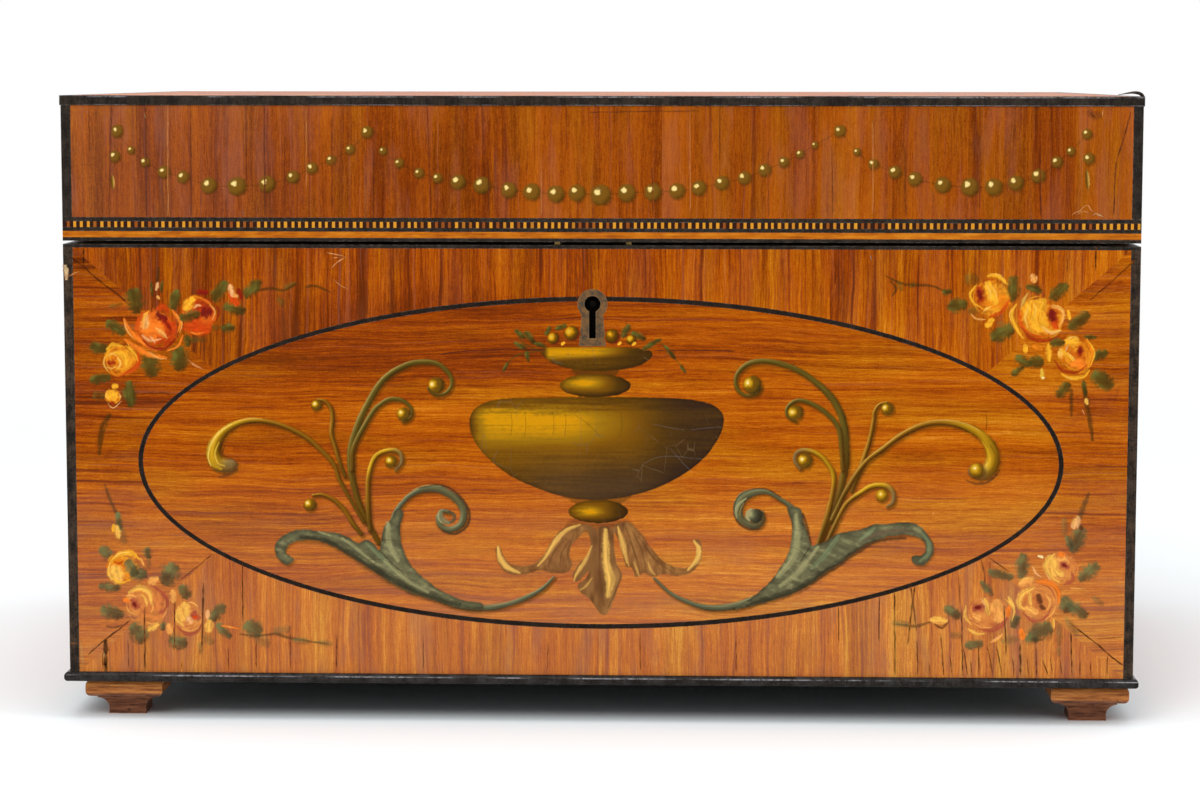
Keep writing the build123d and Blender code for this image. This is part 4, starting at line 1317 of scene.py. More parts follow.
def spread(
    name: str,
    points: np.ndarray,
    paint: np.ndarray,
    keep: np.ndarray,
    body: str,
    slot: str,
    material: bpy.types.Material,
) -> bpy.types.Object:
    """Makes a thin sheet from rows and columns of points.

    Args:
        name: the piece's name.
        points: the place of each point, by row and column, in metres.
        paint: the colour of each point and how well it covers.
        keep: which of the points stay.
        body: the CAD body that it rides on.
        slot: the record's material slot, which is not used.
        material: its finish.

    Returns:
        The piece.
    """
    rows, columns = keep.shape
    bpy.ops.object.select_all(action="DESELECT")
    bpy.ops.mesh.primitive_grid_add(x_subdivisions=columns - 1, y_subdivisions=rows - 1, size=1.0)
    piece = bpy.context.object
    piece.name = name
    mesh = piece.data
    mesh.vertices.foreach_set("co", points.reshape(-1))
    layer = mesh.color_attributes.new("paint", "FLOAT_COLOR", "POINT")
    layer.data.foreach_set("color", paint.astype(np.float32).reshape(-1))
    bpy.ops.object.mode_set(mode="EDIT")
    bpy.ops.mesh.select_mode(type="VERT")
    bpy.ops.mesh.select_all(action="DESELECT")
    bpy.ops.object.mode_set(mode="OBJECT")
    mesh.vertices.foreach_set("select", ~keep.reshape(-1))
    bpy.ops.object.mode_set(mode="EDIT")
    bpy.ops.mesh.delete(type="VERT")
    bpy.ops.object.mode_set(mode="OBJECT")
    bpy.ops.object.shade_smooth()
    mesh.materials.append(material)
    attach(piece, body)
    LOG.info("%s: %d faces", name, len(mesh.polygons))
    return piece


def dress(names: Sequence[str], material: bpy.types.Material) -> None:
    """Gives CAD nodes a finish.

    Args:
        names: the nodes.
        material: their finish.
    """
    for name in names:
        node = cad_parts[name]
        node.data.materials.clear()
        node.data.materials.append(material)


def by_light(*stops: tuple[float, Pigment]) -> Tint:
    """Returns a tint that goes from shadow to light by the given stops."""
    return lambda along, across, lit: scale(lit, *stops)


def flat(pigment: Pigment) -> Callable[..., np.ndarray]:
    """Returns a tint of one pigment, for a stroke, a dab or a filled outline."""
    return lambda along, across, *rest: np.broadcast_to(pigment.rgb, (*np.shape(along), 3)).copy()


def along_stem(root: Tint, tip: Tint, low: float, high: float) -> Tint:
    """Returns a tint that turns from one into another between two places along a stroke."""

    def mixed(along: np.ndarray, across: np.ndarray, lit: np.ndarray) -> np.ndarray:
        """Returns the colours of the stroke."""
        share = rise(along, low, high)[..., None]
        return root(along, across, lit) * (1 - share) + tip(along, across, lit) * share

    return mixed


P = Pigment
Stroke = tuple[Line, tuple[float, ...], Pigment, float]
ROOT = by_light(
    (-0.6, P.BARK_DEEP), (0.25, P.BARK_DARK), (0.62, P.BARK), (0.82, P.BARK_LIGHT), (0.96, P.BARK_GLINT)
)
GREEN = by_light(
    (-0.6, P.STEM_DEEP), (0.25, P.STEM_DARK), (0.62, P.STEM), (0.82, P.STEM_LIGHT), (0.96, P.STEM_GLINT)
)
OCHRE = by_light(
    (-0.6, P.BARK_DEEP), (0.15, P.BARK_DARK), (0.45, P.OCHRE_DARK), (0.68, P.OCHRE), (0.84, P.OCHRE_LIGHT),
    (0.97, P.OCHRE_GLINT),
)
GILT = by_light(
    (-0.6, P.BARK_DEEP), (-0.1, P.GOLD_DARK), (0.2, P.GOLD_DEEP), (0.5, P.GOLD), (0.74, P.GOLD_LIGHT),
    (0.94, P.GOLD_GLINT),
)
TANNED = by_light((-0.5, P.TAN_DARK), (0.3, P.TAN), (0.85, P.TAN_LIGHT))
SAGE = by_light(
    (-0.6, P.SAGE_DEEP), (0.15, P.SAGE_DARK), (0.55, P.SAGE), (0.8, P.SAGE_LIGHT), (0.95, P.SAGE_GLINT)
)
WORN_GREEN = by_light(
    (-0.6, P.SAGE_DEEP), (0.15, P.SAGE_DARK), (0.5, P.DUSKY), (0.8, P.SAGE_LIGHT), (0.95, P.SAGE_GLINT)
)
OLIVE = along_stem(ROOT, GREEN, 0.1, 0.4)
GOLDEN = along_stem(ROOT, OCHRE, 0.05, 0.35)
HOOKED = along_stem(along_stem(GOLDEN, GILT, 0.6, 0.76), TANNED, 0.92, 1.0)
CURLED = along_stem(along_stem(GOLDEN, GILT, 0.4, 0.55), TANNED, 0.7, 0.9)
VOLUTE = along_stem(SAGE, WORN_GREEN, 0.05, 0.3)
BEAD = by_light(
    (-0.45, P.BEAD_DARK), (-0.2, P.BEAD_DEEP), (0.2, P.BEAD), (0.62, P.BEAD), (0.71, P.TAN_LIGHT),
    (0.76, P.BEAD_LIGHT), (0.88, P.CREAM),
)
SCROLL_BALL = by_light(
    (-0.4, P.STEM_DEEP), (-0.05, P.BARK), (0.3, P.GOLD_DEEP), (0.5, P.GOLD), (0.66, P.GOLD_LIGHT),
    (0.8, P.GOLD_GLINT), (0.94, P.CREAM),
)
GILT_BALL = by_light(
    (-0.4, P.BARK_DARK), (0.0, P.GOLD_DEEP), (0.3, P.GOLD), (0.6, P.GOLD_LIGHT), (0.8, P.GOLD_GLINT),
    (0.95, P.CREAM),
)
DULL_BALL = by_light(
    (-0.5, P.SAGE_DEEP), (0.1, P.SAGE_DARK), (0.42, P.SAGE_LIGHT), (0.66, P.MOSS_LIGHT),
    (0.95, P.STEM_GLINT),
)
SHADE = flat(P.GOLD_DARK)


@dataclass(frozen=True)
class Stem:
    """One stem of a scroll: its line, half widths along it, its paint and the ball at its end.

    The ball is its middle, its radius and the place of its highlight.
    """

    path: Line
    widths: tuple[float, ...]
    tint: Tint
    ball: tuple[float, float, float, float, float] | None = None
    ball_tint: Tint = SCROLL_BALL

    def paint(self, film: Film) -> None:
        """Paints the stem with its soft shadow, and then the ball."""
        shadow = [(u + 1.6, v + 2.0) for u, v in self.path]
        film.stroke(shadow, [w + 1.5 for w in self.widths], SHADE, cover=0.7, soft=0.8, relief=0.0)
        film.stroke(self.path, self.widths, self.tint, soft=0.4, bristle=0.2, rim=0.3)
        if self.ball:
            u, v, radius, shine_u, shine_v = self.ball
            film.ball((u + 1.0, v + 1.3), radius + 1.4, SHADE, cover=0.6)
            shine = ((shine_u - u) / radius, (shine_v - v) / radius)
            film.ball((u, v), radius, self.ball_tint, shine=shine)


@dataclass(frozen=True)
class Leafage:
    """A broad leaf with its trunk: its outline, and strokes over it with half widths and covers."""

    outline: Line
    strokes: tuple[Stroke, ...]

    def paint(self, film: Film) -> None:
        """Paints the shadow, the body and then the strokes."""
        shadow = [(u + 1.2, v + 2.2) for u, v in self.outline]
        film.fill(shadow, SHADE, cover=0.5, soft=3.5, relief=0.0)

        def body(u: np.ndarray, v: np.ndarray) -> np.ndarray:
            """Returns the colours of the body."""
            tone = 0.40 + 0.32 * mottle(u * 0.06 + v * 0.03, v * 0.26 - u * 0.1, 51)
            tone = tone + 0.14 * mottle(u * 0.35, v * 0.6, 52)
            return scale(tone, (0.0, P.SAGE_DARK), (0.5, P.MOSS), (1.0, P.MOSS_LIGHT))

        film.fill(self.outline, body, soft=1.8, rim=0.42)
        for line, widths, pigment, cover in self.strokes:
            film.stroke(line, widths, flat(pigment), cover=cover * 0.9, soft=0.8, bristle=0.4)


def touch(
    film: Film,
    pigment: Pigment,
    size: float | tuple[float, float, float],
    *points: Pixel,
    cover: float = 0.9,
) -> None:
    """Lays one touch of the brush: a stroke through points, or a dab at one point.

    Args:
        film: the film that it is painted on.
        pigment: its colour.
        size: half the stroke's width, or the dab's half length, half width and angle.
        points: the points of the stroke, or the middle of the dab.
        cover: how well it covers.
    """
    if isinstance(size, tuple):
        length, width, angle = size
        (u, v), = points

        def tint(a: np.ndarray, b: np.ndarray) -> np.ndarray:
            """Returns the colours of the dab."""
            hairs = 0.22 * mottle(a * 1.5 + u, b * 5 + v, 63) + 0.12 * mottle(a * 4 + v, b * 4 + u, 64)
            return np.clip(pigment.rgb * (1 + hairs)[..., None], 0, 1)

        radii = (length * 1.08, width * 1.08)
        film.blot((u, v), radii, angle, tint, cover=cover, soft=0.75, rough=0.3, relief=0.03)
    else:
        widths = (0.4 * size, size, 0.9 * size, 0.35 * size)
        film.stroke(points, widths, flat(pigment), cover=cover * 0.95, soft=0.8, bristle=0.45, relief=0.03)


@dataclass(frozen=True)
class Rose:
    """A painted rose: its middle, radius, pigments from deep to light, and the touches over its ground."""

    centre: Pixel
    radius: float
    pigments: tuple[Pigment, Pigment, Pigment]
    touches: tuple[tuple, ...]

    def paint(self, film: Film) -> None:
        """Paints the ground, loose curved marks of the brush round it, and then the touches."""
        (u, v), r = self.centre, self.radius
        chance = np.random.default_rng(int(u))
        deep, middle, light = self.pigments

        def ground(a: np.ndarray, b: np.ndarray) -> np.ndarray:
            """Returns the colours of the ground."""
            tone = 0.52 + 0.4 * mottle(a * 2.3 + u, b * 2.3 + v, 81) + 0.15 * mottle(a * 7, b * 7, 83)
            return scale(tone, (0.0, deep), (0.4, middle), (1.1, light))

        film.blot((u, v), (r * 0.95, r * 0.88), 20.0, ground, cover=0.86, soft=0.5, rough=0.3)
        for pigment in (middle, light, deep, middle, light, middle) * 6:
            turn = chance.uniform(0, 6.28)
            reach = r * chance.uniform(0.3, 0.95)
            sweep = chance.uniform(0.25, 0.6)
            turns = [turn + k * sweep for k in range(3)]
            line = [(u + reach * math.cos(bend), v + reach * math.sin(bend)) for bend in turns]
            touch(film, pigment, chance.uniform(0.5, 1.3), *line, cover=0.45)
        for pigment, size, *points in self.touches:
            touch(film, pigment, size, *points)


RED = (P.RED_DEEP, P.RED, P.RED_LIGHT)
AMBER = (P.AMBER_DEEP, P.AMBER, P.AMBER_LIGHT)
PINK = (P.ROSE_DEEP, P.ROSE, P.ROSE_LIGHT)
VIVID = (P.LEAF_DARK, P.LEAF, P.LEAF_LIGHT)
DUSKY = (P.DUSKY_DARK, P.DUSKY, P.DUSKY_LIGHT)


@dataclass(frozen=True)
class Spray:
    """A spray of roses, buds, leaves and twigs in a corner of the front.

    A leaf is its middle, half its length and width, and its angle clockwise from level. A twig
    is its points and half its width. The touches are loose petals and buds.
    """

    name: str
    low: Pixel
    high: Pixel
    greens: tuple[Pigment, Pigment, Pigment]
    roses: tuple[Rose, ...]
    leaves: tuple[Dab, ...]
    faint: tuple[Dab, ...] = ()
    over: tuple[Dab, ...] = ()
    twigs: tuple[tuple[Line, float], ...] = ()
    touches: tuple[tuple, ...] = ()

    def leaf(
        self, film: Film, u: float, v: float, length: float, width: float, angle: float, cover: float
    ) -> None:
        """Paints one leaf, lighter towards its upper left.

        Args:
            film: the film that it is painted on.
            u: its middle across.
            v: its middle down.
            length: half its length.
            width: half its width.
            angle: how far it is turned from level, clockwise, in degrees.
            cover: how well the paint covers.
        """
        dark, middle, light = self.greens
        turn = math.radians(angle)
        lean_a, lean_b = math.cos(turn) + math.sin(turn), math.cos(turn) - math.sin(turn)

        def tint(a: np.ndarray, b: np.ndarray) -> np.ndarray:
            """Returns the colours of the leaf."""
            tone = 0.5 - 0.24 * (a * lean_a + b * lean_b) + 0.34 * mottle(a * 1.7 + u, b * 1.4 + v, 61)
            tone = tone + 0.16 * mottle(a * 1.5 + v, b * 5 + u, 65)
            return scale(tone, (0.0, dark), (0.5, middle), (1.0, light))

        radii = (length * 1.1, width * 1.15)
        film.blot((u, v), radii, angle, tint, cover=cover, soft=0.65, point=0.95, rough=0.26)
        run = (math.cos(turn) * length * 0.7, math.sin(turn) * length * 0.7)
        rib = [(u - run[0], v - run[1]), (u + 0.5, v - 0.5), (u + run[0], v + run[1])]
        film.stroke(rib, (0.3, 0.7, 0.3), flat(dark), cover=0.35 * cover, soft=0.8)

    def film(self) -> Film:
        """Paints the spray and returns its film."""
        film = Film(self.name, self.low, self.high, seed=len(self.leaves))
        for line, half in self.twigs:
            widths = (half, 1.4 * half, 1.3 * half, 0.7 * half)
            film.stroke(line, widths, flat(self.greens[0]), cover=0.68, soft=0.8, bristle=0.4)
        for leaves, cover in ((self.faint, 0.42), (self.leaves, 0.88)):
            for leaf in leaves:
                self.leaf(film, *leaf, cover)
        for rose in self.roses:
            rose.paint(film)
        for leaf in self.over:
            self.leaf(film, *leaf, 0.9)
        for pigment, size, *points in self.touches:
            touch(film, pigment, size, *points)
        return film


TOP_LEFT = Spray(
    "roses_top_left", (84, 266), (338, 462), VIVID,
    roses=(
        Rose((199, 314), 19, RED, (
            (P.RED, (14, 8, 5), (197, 328)), (P.RED_DEEP, (6, 4, 0), (202, 292.5)),
            (P.AMBER, 3, (186, 303), (193, 297), (202, 298)), (P.AMBER_LIGHT, (8, 5.5, -50), (188.8, 304)),
            (P.PALE, 1.8, (194, 308), (198, 305), (201, 306)), (P.WINE, (5.5, 7, 15), (206.5, 312.5)),
            (P.RED_DEEP, 1.6, (215, 303), (219, 312), (216, 321)),
            (P.ROSE_LIGHT, 1.3, (210, 304.5), (215, 312), (212, 320)),
            (P.RED_LIGHT, 1.6, (190, 332), (197, 334), (204, 332.5)),
        )),
        Rose((156, 329), 23, RED, (
            (P.RED_LIGHT, 4.2, (125, 339.6), (137, 348), (151, 355), (166.4, 357.5)),
            (P.RED_LIGHT, 3.6, (124, 319), (130, 331), (142, 342), (156, 351)),
            (P.ROSE_LIGHT, 1.3, (123.6, 320), (127.5, 331), (134, 339)),
            (P.ROSE_LIGHT, 1.4, (148.7, 352), (158, 358), (166.4, 359)),
            (P.AMBER_LIGHT, 1.3, (127.5, 343), (132, 351.5), (138, 358.5)),
            (P.RED_LIGHT, (13, 13, 0), (152.5, 328)), (P.RED, 5, (157, 309), (163, 307), (168, 311)),
            (P.ROSE_LIGHT, (8.5, 5, 95), (145.5, 321.5)),
            (P.PALE, 1.2, (144, 316), (147, 322), (146, 328)),
            (P.AMBER_LIGHT, 1.4, (149, 311), (145, 315), (142, 322)),
            (P.ROSE_LIGHT, 3, (156, 328), (162, 333), (167, 338)),
            (P.RED_LIGHT, 2.6, (172, 310), (180, 322), (178, 332)),
            (P.ROSE_LIGHT, 0.9, (176, 314), (182, 323), (179.5, 333)), (P.RED, (8, 6, 40), (167, 322)),
            (P.WINE, (6.5, 5, 35), (161.5, 317)), (P.RED_DEEP, 2.6, (163, 321), (168, 325), (171, 330)),
            (P.PALE, 2, (141.5, 335), (150, 340.5), (160.5, 339)),
            (P.PALE, 1.4, (150, 336), (154, 341), (155, 343)),
            (P.RED_DEEP, 2.6, (143, 340), (151, 347), (165, 348), (176, 339)),
            (P.RED_LIGHT, 1.8, (183, 335), (178, 346), (166, 351.5)),
        )),
        Rose((121, 360), 18.5, AMBER, (
            (P.RED, 3.6, (138, 353), (137, 366), (119, 376)),
            (P.AMBER, 2, (109, 372), (118, 375), (127, 370)),
            (P.AMBER_LIGHT, 3, (107, 349), (113, 344.5), (122, 346)),
            (P.BUTTER, 1.3, (105, 356), (103.8, 364), (108.6, 372)),
            (P.AMBER_LIGHT, 4.2, (114, 352), (123, 355), (126.5, 365)),
            (P.BUTTER, 2, (117, 357), (120.6, 363), (117, 369.5)),
            (P.BUTTER, 1.4, (108, 356), (112, 353.5), (117, 356)),
            (P.AMBER_DEEP, (4.6, 3, 10), (111.5, 362.8)),
            (P.AMBER_LIGHT, 1.4, (126, 345.5), (134.5, 353), (138, 361)),
            (P.BUTTER, 1.1, (107, 367), (112, 368.5), (116, 366)),
        )),
        Rose((113, 397), 8.5, AMBER, (
            (P.AMBER_LIGHT, (6.2, 6, 0), (111.6, 395)), (P.AMBER_LIGHT, (3.6, 3, 0), (115, 386.5)),
            (P.AMBER_DEEP, (2.6, 2, 0), (112.7, 402.6)),
            (P.PALE, 1, (107.4, 403), (113.3, 408), (121.6, 401)),
            (P.BUTTER, 1.2, (107, 392), (106, 396), (108.5, 399)), (P.PALE, 0.9, (119, 394), (121.5, 398)),
        )),
    ),
    leaves=(
        (134.6, 300.7, 12.5, 9.5, 80), (174.7, 299.5, 10.5, 6, -80), (219.5, 291.2, 12, 7, -55),
        (252.5, 288.9, 11.5, 6.5, -45), (234.8, 309, 11.5, 6, 15), (151, 364.4, 12.5, 10, 80),
        (179.4, 358.5, 12.5, 9.5, 85), (115.7, 327.8, 11, 6.5, 30), (99.2, 348, 9.5, 6, 10),
        (100.3, 378.5, 10.5, 6, -8), (130, 394, 13, 7, 83), (187.6, 340.8, 6, 4, 80),
        (151.7, 289, 7, 1.8, 85), (161.8, 287, 6, 1.6, 95), (228, 327.8, 7, 5, 0),
    ),
    faint=((214.8, 327.8, 8, 3, 0), (197, 339.6, 9, 3.5, 0), (99.2, 396.2, 6.5, 5.5, 10),
           (281, 302, 5.5, 3.5, 60), (115.7, 305.4, 7, 2.5, -10),
           (290, 285.5, 7, 3.2, -20)),
    over=((190, 316, 10.5, 5.5, -12),),
    twigs=(
        (((258, 290), (272, 288.5), (284, 290), (296, 284)), 1.6),
        (((306, 287), (316, 286), (330, 292)), 1.4),
        (((109.5, 415), (103, 427), (100.3, 440), (99.5, 454)), 3),
        (((158.5, 268), (158, 277), (157, 283)), 1.6),
    ),
    touches=(
        (P.RED, (8, 5.5, 60), (234, 299)), (P.RED_DEEP, (6, 3, 70), (240, 294)),
        (P.PALE, (6.5, 3, 75), (231, 290.5)), (P.ROSE_LIGHT, (3, 2.4, 0), (235.5, 296)),
        (P.PALE, (4.4, 2, -75), (157, 286.5)), (P.ROSE_LIGHT, (2.4, 1.8, 60), (158.4, 297.4)),
        (P.RUBBED, 0.6, (187.6, 359.7), (196, 365), (203, 368.5)),
    ),
)
TOP_RIGHT = Spray(
    "roses_top_right", (868, 266), (1120, 458), VIVID,
    roses=(
        Rose((991, 298), 20, AMBER, (
            (P.AMBER, (10, 9.5, 0), (1000.5, 301)), (P.RED, 3, (1008.6, 301), (1001, 312), (989.6, 316.5)),
            (P.AMBER_LIGHT, 2, (976, 285), (970, 294), (974, 303), (982, 308)),
            (P.AMBER_LIGHT, (9.5, 7, 75), (990, 290.5)), (P.AMBER_LIGHT, (6.5, 5.5, 60), (993.5, 299)),
            (P.BUTTER, 1.4, (986, 284), (990, 291), (990, 299)),
            (P.BUTTER, 1, (992, 286), (996, 293), (997, 300)),
            (P.AMBER_LIGHT, 3.2, (988, 276), (998, 276), (1007, 284)),
            (P.BUTTER, 0.8, (990, 273.8), (999, 274.5), (1006, 281)),
            (P.AMBER_DEEP, (8.5, 6, 75), (980.7, 294)), (P.WINE, (5, 3.6, 75), (980, 294.5)),
            (P.BUTTER, 1.8, (983.5, 311), (987, 308.5), (991, 306.5)),
            (P.ROSE_LIGHT, 1.5, (970.7, 314), (976, 318.6), (986, 319.6)),
        )),
        Rose((1041, 318), 24, AMBER, (
            (P.RED, 2.4, (1019, 310), (1021, 324), (1029, 335)),
            (P.AMBER_LIGHT, (16, 13.5, 60), (1036, 316.5)),
            (P.BUTTER, 1.6, (1029, 306), (1025, 317), (1028, 328)),
            (P.AMBER_LIGHT, 4, (1036, 301), (1044, 301.5), (1040, 310)),
            (P.BUTTER, 1.2, (1034, 304), (1036, 310), (1034, 318)),
            (P.AMBER, 0.8, (1032, 300), (1032, 310), (1030, 320)),
            (P.AMBER, 0.8, (1040, 312), (1038, 320), (1042, 328)),
            (P.ROSE_LIGHT, 2.4, (1051, 306), (1061, 309.6), (1063.5, 317.5), (1059, 327)),
            (P.BUTTER, 1, (1052, 304.6), (1061, 307.6), (1065, 316)),
            (P.AMBER_DEEP, (8, 6.5, 80), (1053, 317)), (P.WINE, (6.5, 5, 80), (1052.5, 315.5)),
            (P.RED, (4.5, 3.6, 60), (1055, 325.5)),
            (P.BUTTER, 2.8, (1041, 326.5), (1051, 332), (1061, 330.5)),
            (P.PALE, 1.2, (1044, 330), (1052, 333.5), (1060, 331)),
            (P.AMBER_DEEP, 2.6, (1021, 327), (1031, 338), (1045.4, 340.4), (1059.5, 336)),
            (P.RED, 1.2, (1026, 330), (1035, 335.6), (1046, 337)),
            (P.AMBER_LIGHT, 2.8, (1016.4, 304), (1011.5, 314), (1015.5, 327), (1023, 338)),
            (P.BUTTER, 0.9, (1014, 306), (1009.6, 314), (1012, 324)),
            (P.OCHRE_GLINT, 2.4, (1027.6, 293.5), (1023.2, 301), (1021, 307)),
            (P.AMBER_LIGHT, (5.2, 2.2, 80), (1069, 315)),
        )),
        Rose((1076, 356), 19, AMBER, (
            (P.AMBER, 3, (1085.6, 340), (1092.4, 352), (1089, 366)),
            (P.AMBER_LIGHT, 1.2, (1087, 339), (1094.5, 352), (1091, 365)),
            (P.AMBER_LIGHT, (7.5, 6, 0), (1072.2, 341.5)),
            (P.BUTTER, 1.2, (1067, 340), (1072, 337), (1078, 338)), (P.BUTTER, (3, 5, 0), (1060.5, 353)),
            (P.AMBER_LIGHT, 4, (1062, 350), (1069, 357), (1075.6, 363)),
            (P.BUTTER, 1.4, (1068, 353), (1073, 358), (1076, 362)),
            (P.AMBER, 0.8, (1066, 354), (1070, 359), (1073, 364)),
            (P.AMBER_DEEP, (5.6, 5, 90), (1080, 351)), (P.WINE, (3.2, 2.6, 90), (1080, 350.6)),
            (P.RED_LIGHT, (8.5, 5.5, 0), (1079, 364)),
            (P.AMBER_DEEP, 2.2, (1054.5, 360), (1062, 370), (1076.7, 372.4), (1087, 365)),
            (P.AMBER_LIGHT, 2.4, (1061, 373.5), (1070, 378), (1083.4, 376.8), (1089.5, 370)),
            (P.AMBER_LIGHT, (9, 3.4, 85), (1048.8, 352.5)), (P.PALE, 1.1, (1068, 345), (1065.4, 351)),
            (P.BUTTER, 1, (1066, 377), (1072, 379.6)),
        )),
    ),
    leaves=(
        (1013, 289, 13, 7.5, -86), (1058.8, 291.8, 11.5, 7, -45), (1079, 321, 12.5, 7.5, -35),
        (957.3, 305.2, 10, 7.5, -8), (1001.9, 333, 12.5, 9.5, -25), (947.2, 291.8, 5, 3.5, 0),
        (1034.3, 288.5, 8.5, 4.5, 20), (1023, 361, 9, 5.5, 30), (1036.5, 362, 7.5, 7, 0),
        (1017.5, 371, 7.5, 4, -35), (1090, 337, 6.5, 2.6, 5), (1099, 355.4, 9.5, 5.5, -20),
        (1102.4, 380, 12.5, 9, 35), (1063.3, 390, 9.5, 5.5, -50), (1084.5, 388, 8, 2.8, 80),
    ),
    faint=((971.8, 279.5, 7.5, 7, 0), (900, 286, 5.5, 3, 70), (913, 285, 4, 3, -40), (973, 311, 5, 4, 0)),
    over=((1057.5, 343, 7.5, 5, 0),),
    twigs=(
        (((944, 291), (932, 286), (914, 285), (900, 283), (886, 276)), 1.5),
        (((891, 281), (896, 289), (892, 296)), 1.4), (((1071, 390), (1071.3, 404), (1071.4, 416)), 2),
        (((1084, 386), (1087, 405), (1090, 421), (1092.4, 440)), 2.8),
    ),
    touches=(
        (P.AMBER_LIGHT, (6, 3.6, -50), (989.6, 323)), (P.ROSE_LIGHT, (5, 3.6, 70), (1033.4, 278)),
        (P.PALE, 0.9, (1031, 275), (1033, 279)), (P.ROSE_LIGHT, 0.9, (1036.5, 276), (1037, 281)),
        (P.AMBER_LIGHT, (2.8, 5, 0), (1025.4, 348.6)), (P.AMBER, (5.5, 3, 20), (1037.6, 347.6)),
        (P.GOLD_GLINT, (5.5, 2.4, 85), (1042, 374)), (P.CREAM, (1.8, 1.4, 0), (1043, 377.8)),
        (P.BUTTER, (3.4, 2.2, 70), (1086.7, 401.4)), (P.PALE, 0.7, (1082, 409), (1084.4, 414.4)),
    ),
)
BOTTOM_LEFT = Spray(
    "roses_bottom_left", (88, 476), (338, 662), DUSKY,
    roses=(
        Rose((122.6, 567.5), 18, AMBER, (
            (P.BUTTER, (9.5, 8, 80), (116.5, 574)),
            (P.AMBER_LIGHT, 3.8, (112, 560.5), (120, 554), (131.6, 552.8), (140, 560)),
            (P.BUTTER, 1.6, (113, 558), (121, 553), (130, 552.6)),
            (P.AMBER, (5.5, 3.4, 10), (118.5, 562.5)),
            (P.AMBER_DEEP, 1.5, (114, 561.5), (119, 563.4), (123.6, 560.7)),
            (P.BUTTER, 2, (110, 563), (108.4, 572), (112, 580)),
            (P.AMBER_LIGHT, 1.8, (112, 578), (120, 583), (128, 581)),
            (P.ROSE_LIGHT, 2, (140.6, 558), (144.3, 566)),
        )),
        Rose((147, 605), 22.5, PINK, (
            (P.ROSE, (11.5, 8, 0), (152.5, 618)), (P.ROSE_DEEP, (10, 4, 95), (161, 604.5)),
            (P.ROSE, (12, 9, 80), (155.5, 600)),
            (P.ROSE_DEEP, 2.8, (152, 585.6), (162.6, 592.8), (167.4, 603), (162.6, 614)),
            (P.BUTTER, 4.2, (129, 592.5), (139.7, 588.4), (149, 593), (151.4, 603)),
            (P.BUTTER, 2.2, (142, 594.5), (146, 600), (147, 606)),
            (P.AMBER, 0.7, (133, 592), (141, 591.6), (147.5, 598)),
            (P.ROSE, 0.8, (138, 596), (143, 599), (144.6, 605)),
            (P.ROSE_LIGHT, 1.6, (126, 596), (131, 595), (136, 597)),
            (P.RED_LIGHT, (4, 2.6, 10), (126.4, 600)), (P.ROSE_DEEP, (6.2, 5.4, 60), (135.2, 603.8)),
            (P.WINE, (3, 2.4, 60), (134.6, 605), ),
            (P.ROSE_LIGHT, 1.1, (150, 601), (153, 607), (151, 613)),
            (P.ROSE_LIGHT, 1.2, (126, 606), (130, 612), (138, 616)),
            (P.ROSE_LIGHT, 1.2, (146, 622), (154, 624), (161, 620)),
        )),
        Rose((187.6, 618), 16.5, PINK, (
            (P.BUTTER, (9.5, 6.6, 95), (184.4, 611.5)),
            (P.BUTTER, 3.6, (179, 608), (177, 618), (183.5, 626)), (P.PALE, (4.4, 3.6, 40), (189.6, 620)),
            (P.ROSE, 0.8, (182, 606), (183.4, 613), (186, 619)),
            (P.ROSE_LIGHT, 1.6, (188, 602), (193, 603), (198, 607)),
            (P.ROSE_DEEP, (5.6, 5.2, 30), (196, 616)), (P.RED, (2.6, 2.2, 0), (195, 617)),
            (P.ROSE_DEEP, 2.4, (177, 626), (185.6, 633), (197, 632), (203, 622)),
            (P.ROSE_LIGHT, 1.1, (182, 629), (190, 631), (198, 628)),
        )),
    ),
    leaves=(
        (107.5, 554, 10, 6.5, 45), (147.6, 552.8, 5.6, 5, 80), (169.5, 574.4, 12, 10.5, -60),
        (110, 587, 11, 5.2, 5), (184.4, 591.6, 8, 6.6, 60), (112, 612.4, 12, 7.2, 15),
        (217.6, 612.4, 10.5, 6.5, -50), (138.6, 633, 11, 9.5, 60), (162.6, 626, 4.5, 3.6, 80),
        (177.5, 642, 9.8, 8, 20), (223.6, 630.8, 10, 4.8, 45), (253.4, 628.6, 10, 8.5, 30),
        (119, 521.6, 9.5, 3.6, 80),
    ),
    faint=(
        (208.5, 640, 6.5, 4.8, 30), (262.6, 641, 8.5, 6, 30), (282, 630, 9, 5, -10), (301, 641, 9, 4, 5),
        (325, 643, 8, 3.6, 5), (200.5, 648, 6, 3, 90), (122.6, 536, 8.5, 5, 75), (148.8, 562, 7, 2.6, 90),
    ),
    over=((138.5, 574, 8.5, 8, 0), (131.6, 568, 9, 6.5, 60)),
    twigs=(
        (((240, 634), (256, 636), (276, 634), (290, 638), (328, 644)), 1.4),
        (((119, 516), (114, 508), (109.8, 499), (105, 485)), 2.2),
        (((106.4, 626), (114, 627.5), (122.4, 625)), 1), (((105.2, 640), (105.6, 649), (105.2, 659)), 2),
    ),
    touches=(
        (P.BUTTER, (7, 3.4, 80), (117.6, 532)), (P.AMBER_LIGHT, (4, 2, 95), (113.5, 528)),
        (P.ROSE_LIGHT, (7, 3.6, 85), (173, 596.4)), (P.ROSE_LIGHT, (6, 4.6, -20), (153.4, 580.4)),
        (P.BUTTER, (6.4, 3.6, -30), (153.4, 627.4)), (P.ROSE_LIGHT, (5.8, 3.8, 80), (169.5, 628.6)),
        (P.BUTTER, (6.8, 4.6, 95), (208.6, 626.2)), (P.PALE, (5, 2.8, 95), (207.4, 614.6)),
        (P.RED_LIGHT, 1.6, (221, 625.6), (230, 627), (240, 629)),
        (P.ROSE_LIGHT, 1, (226, 626), (233, 628)),
    ),
)
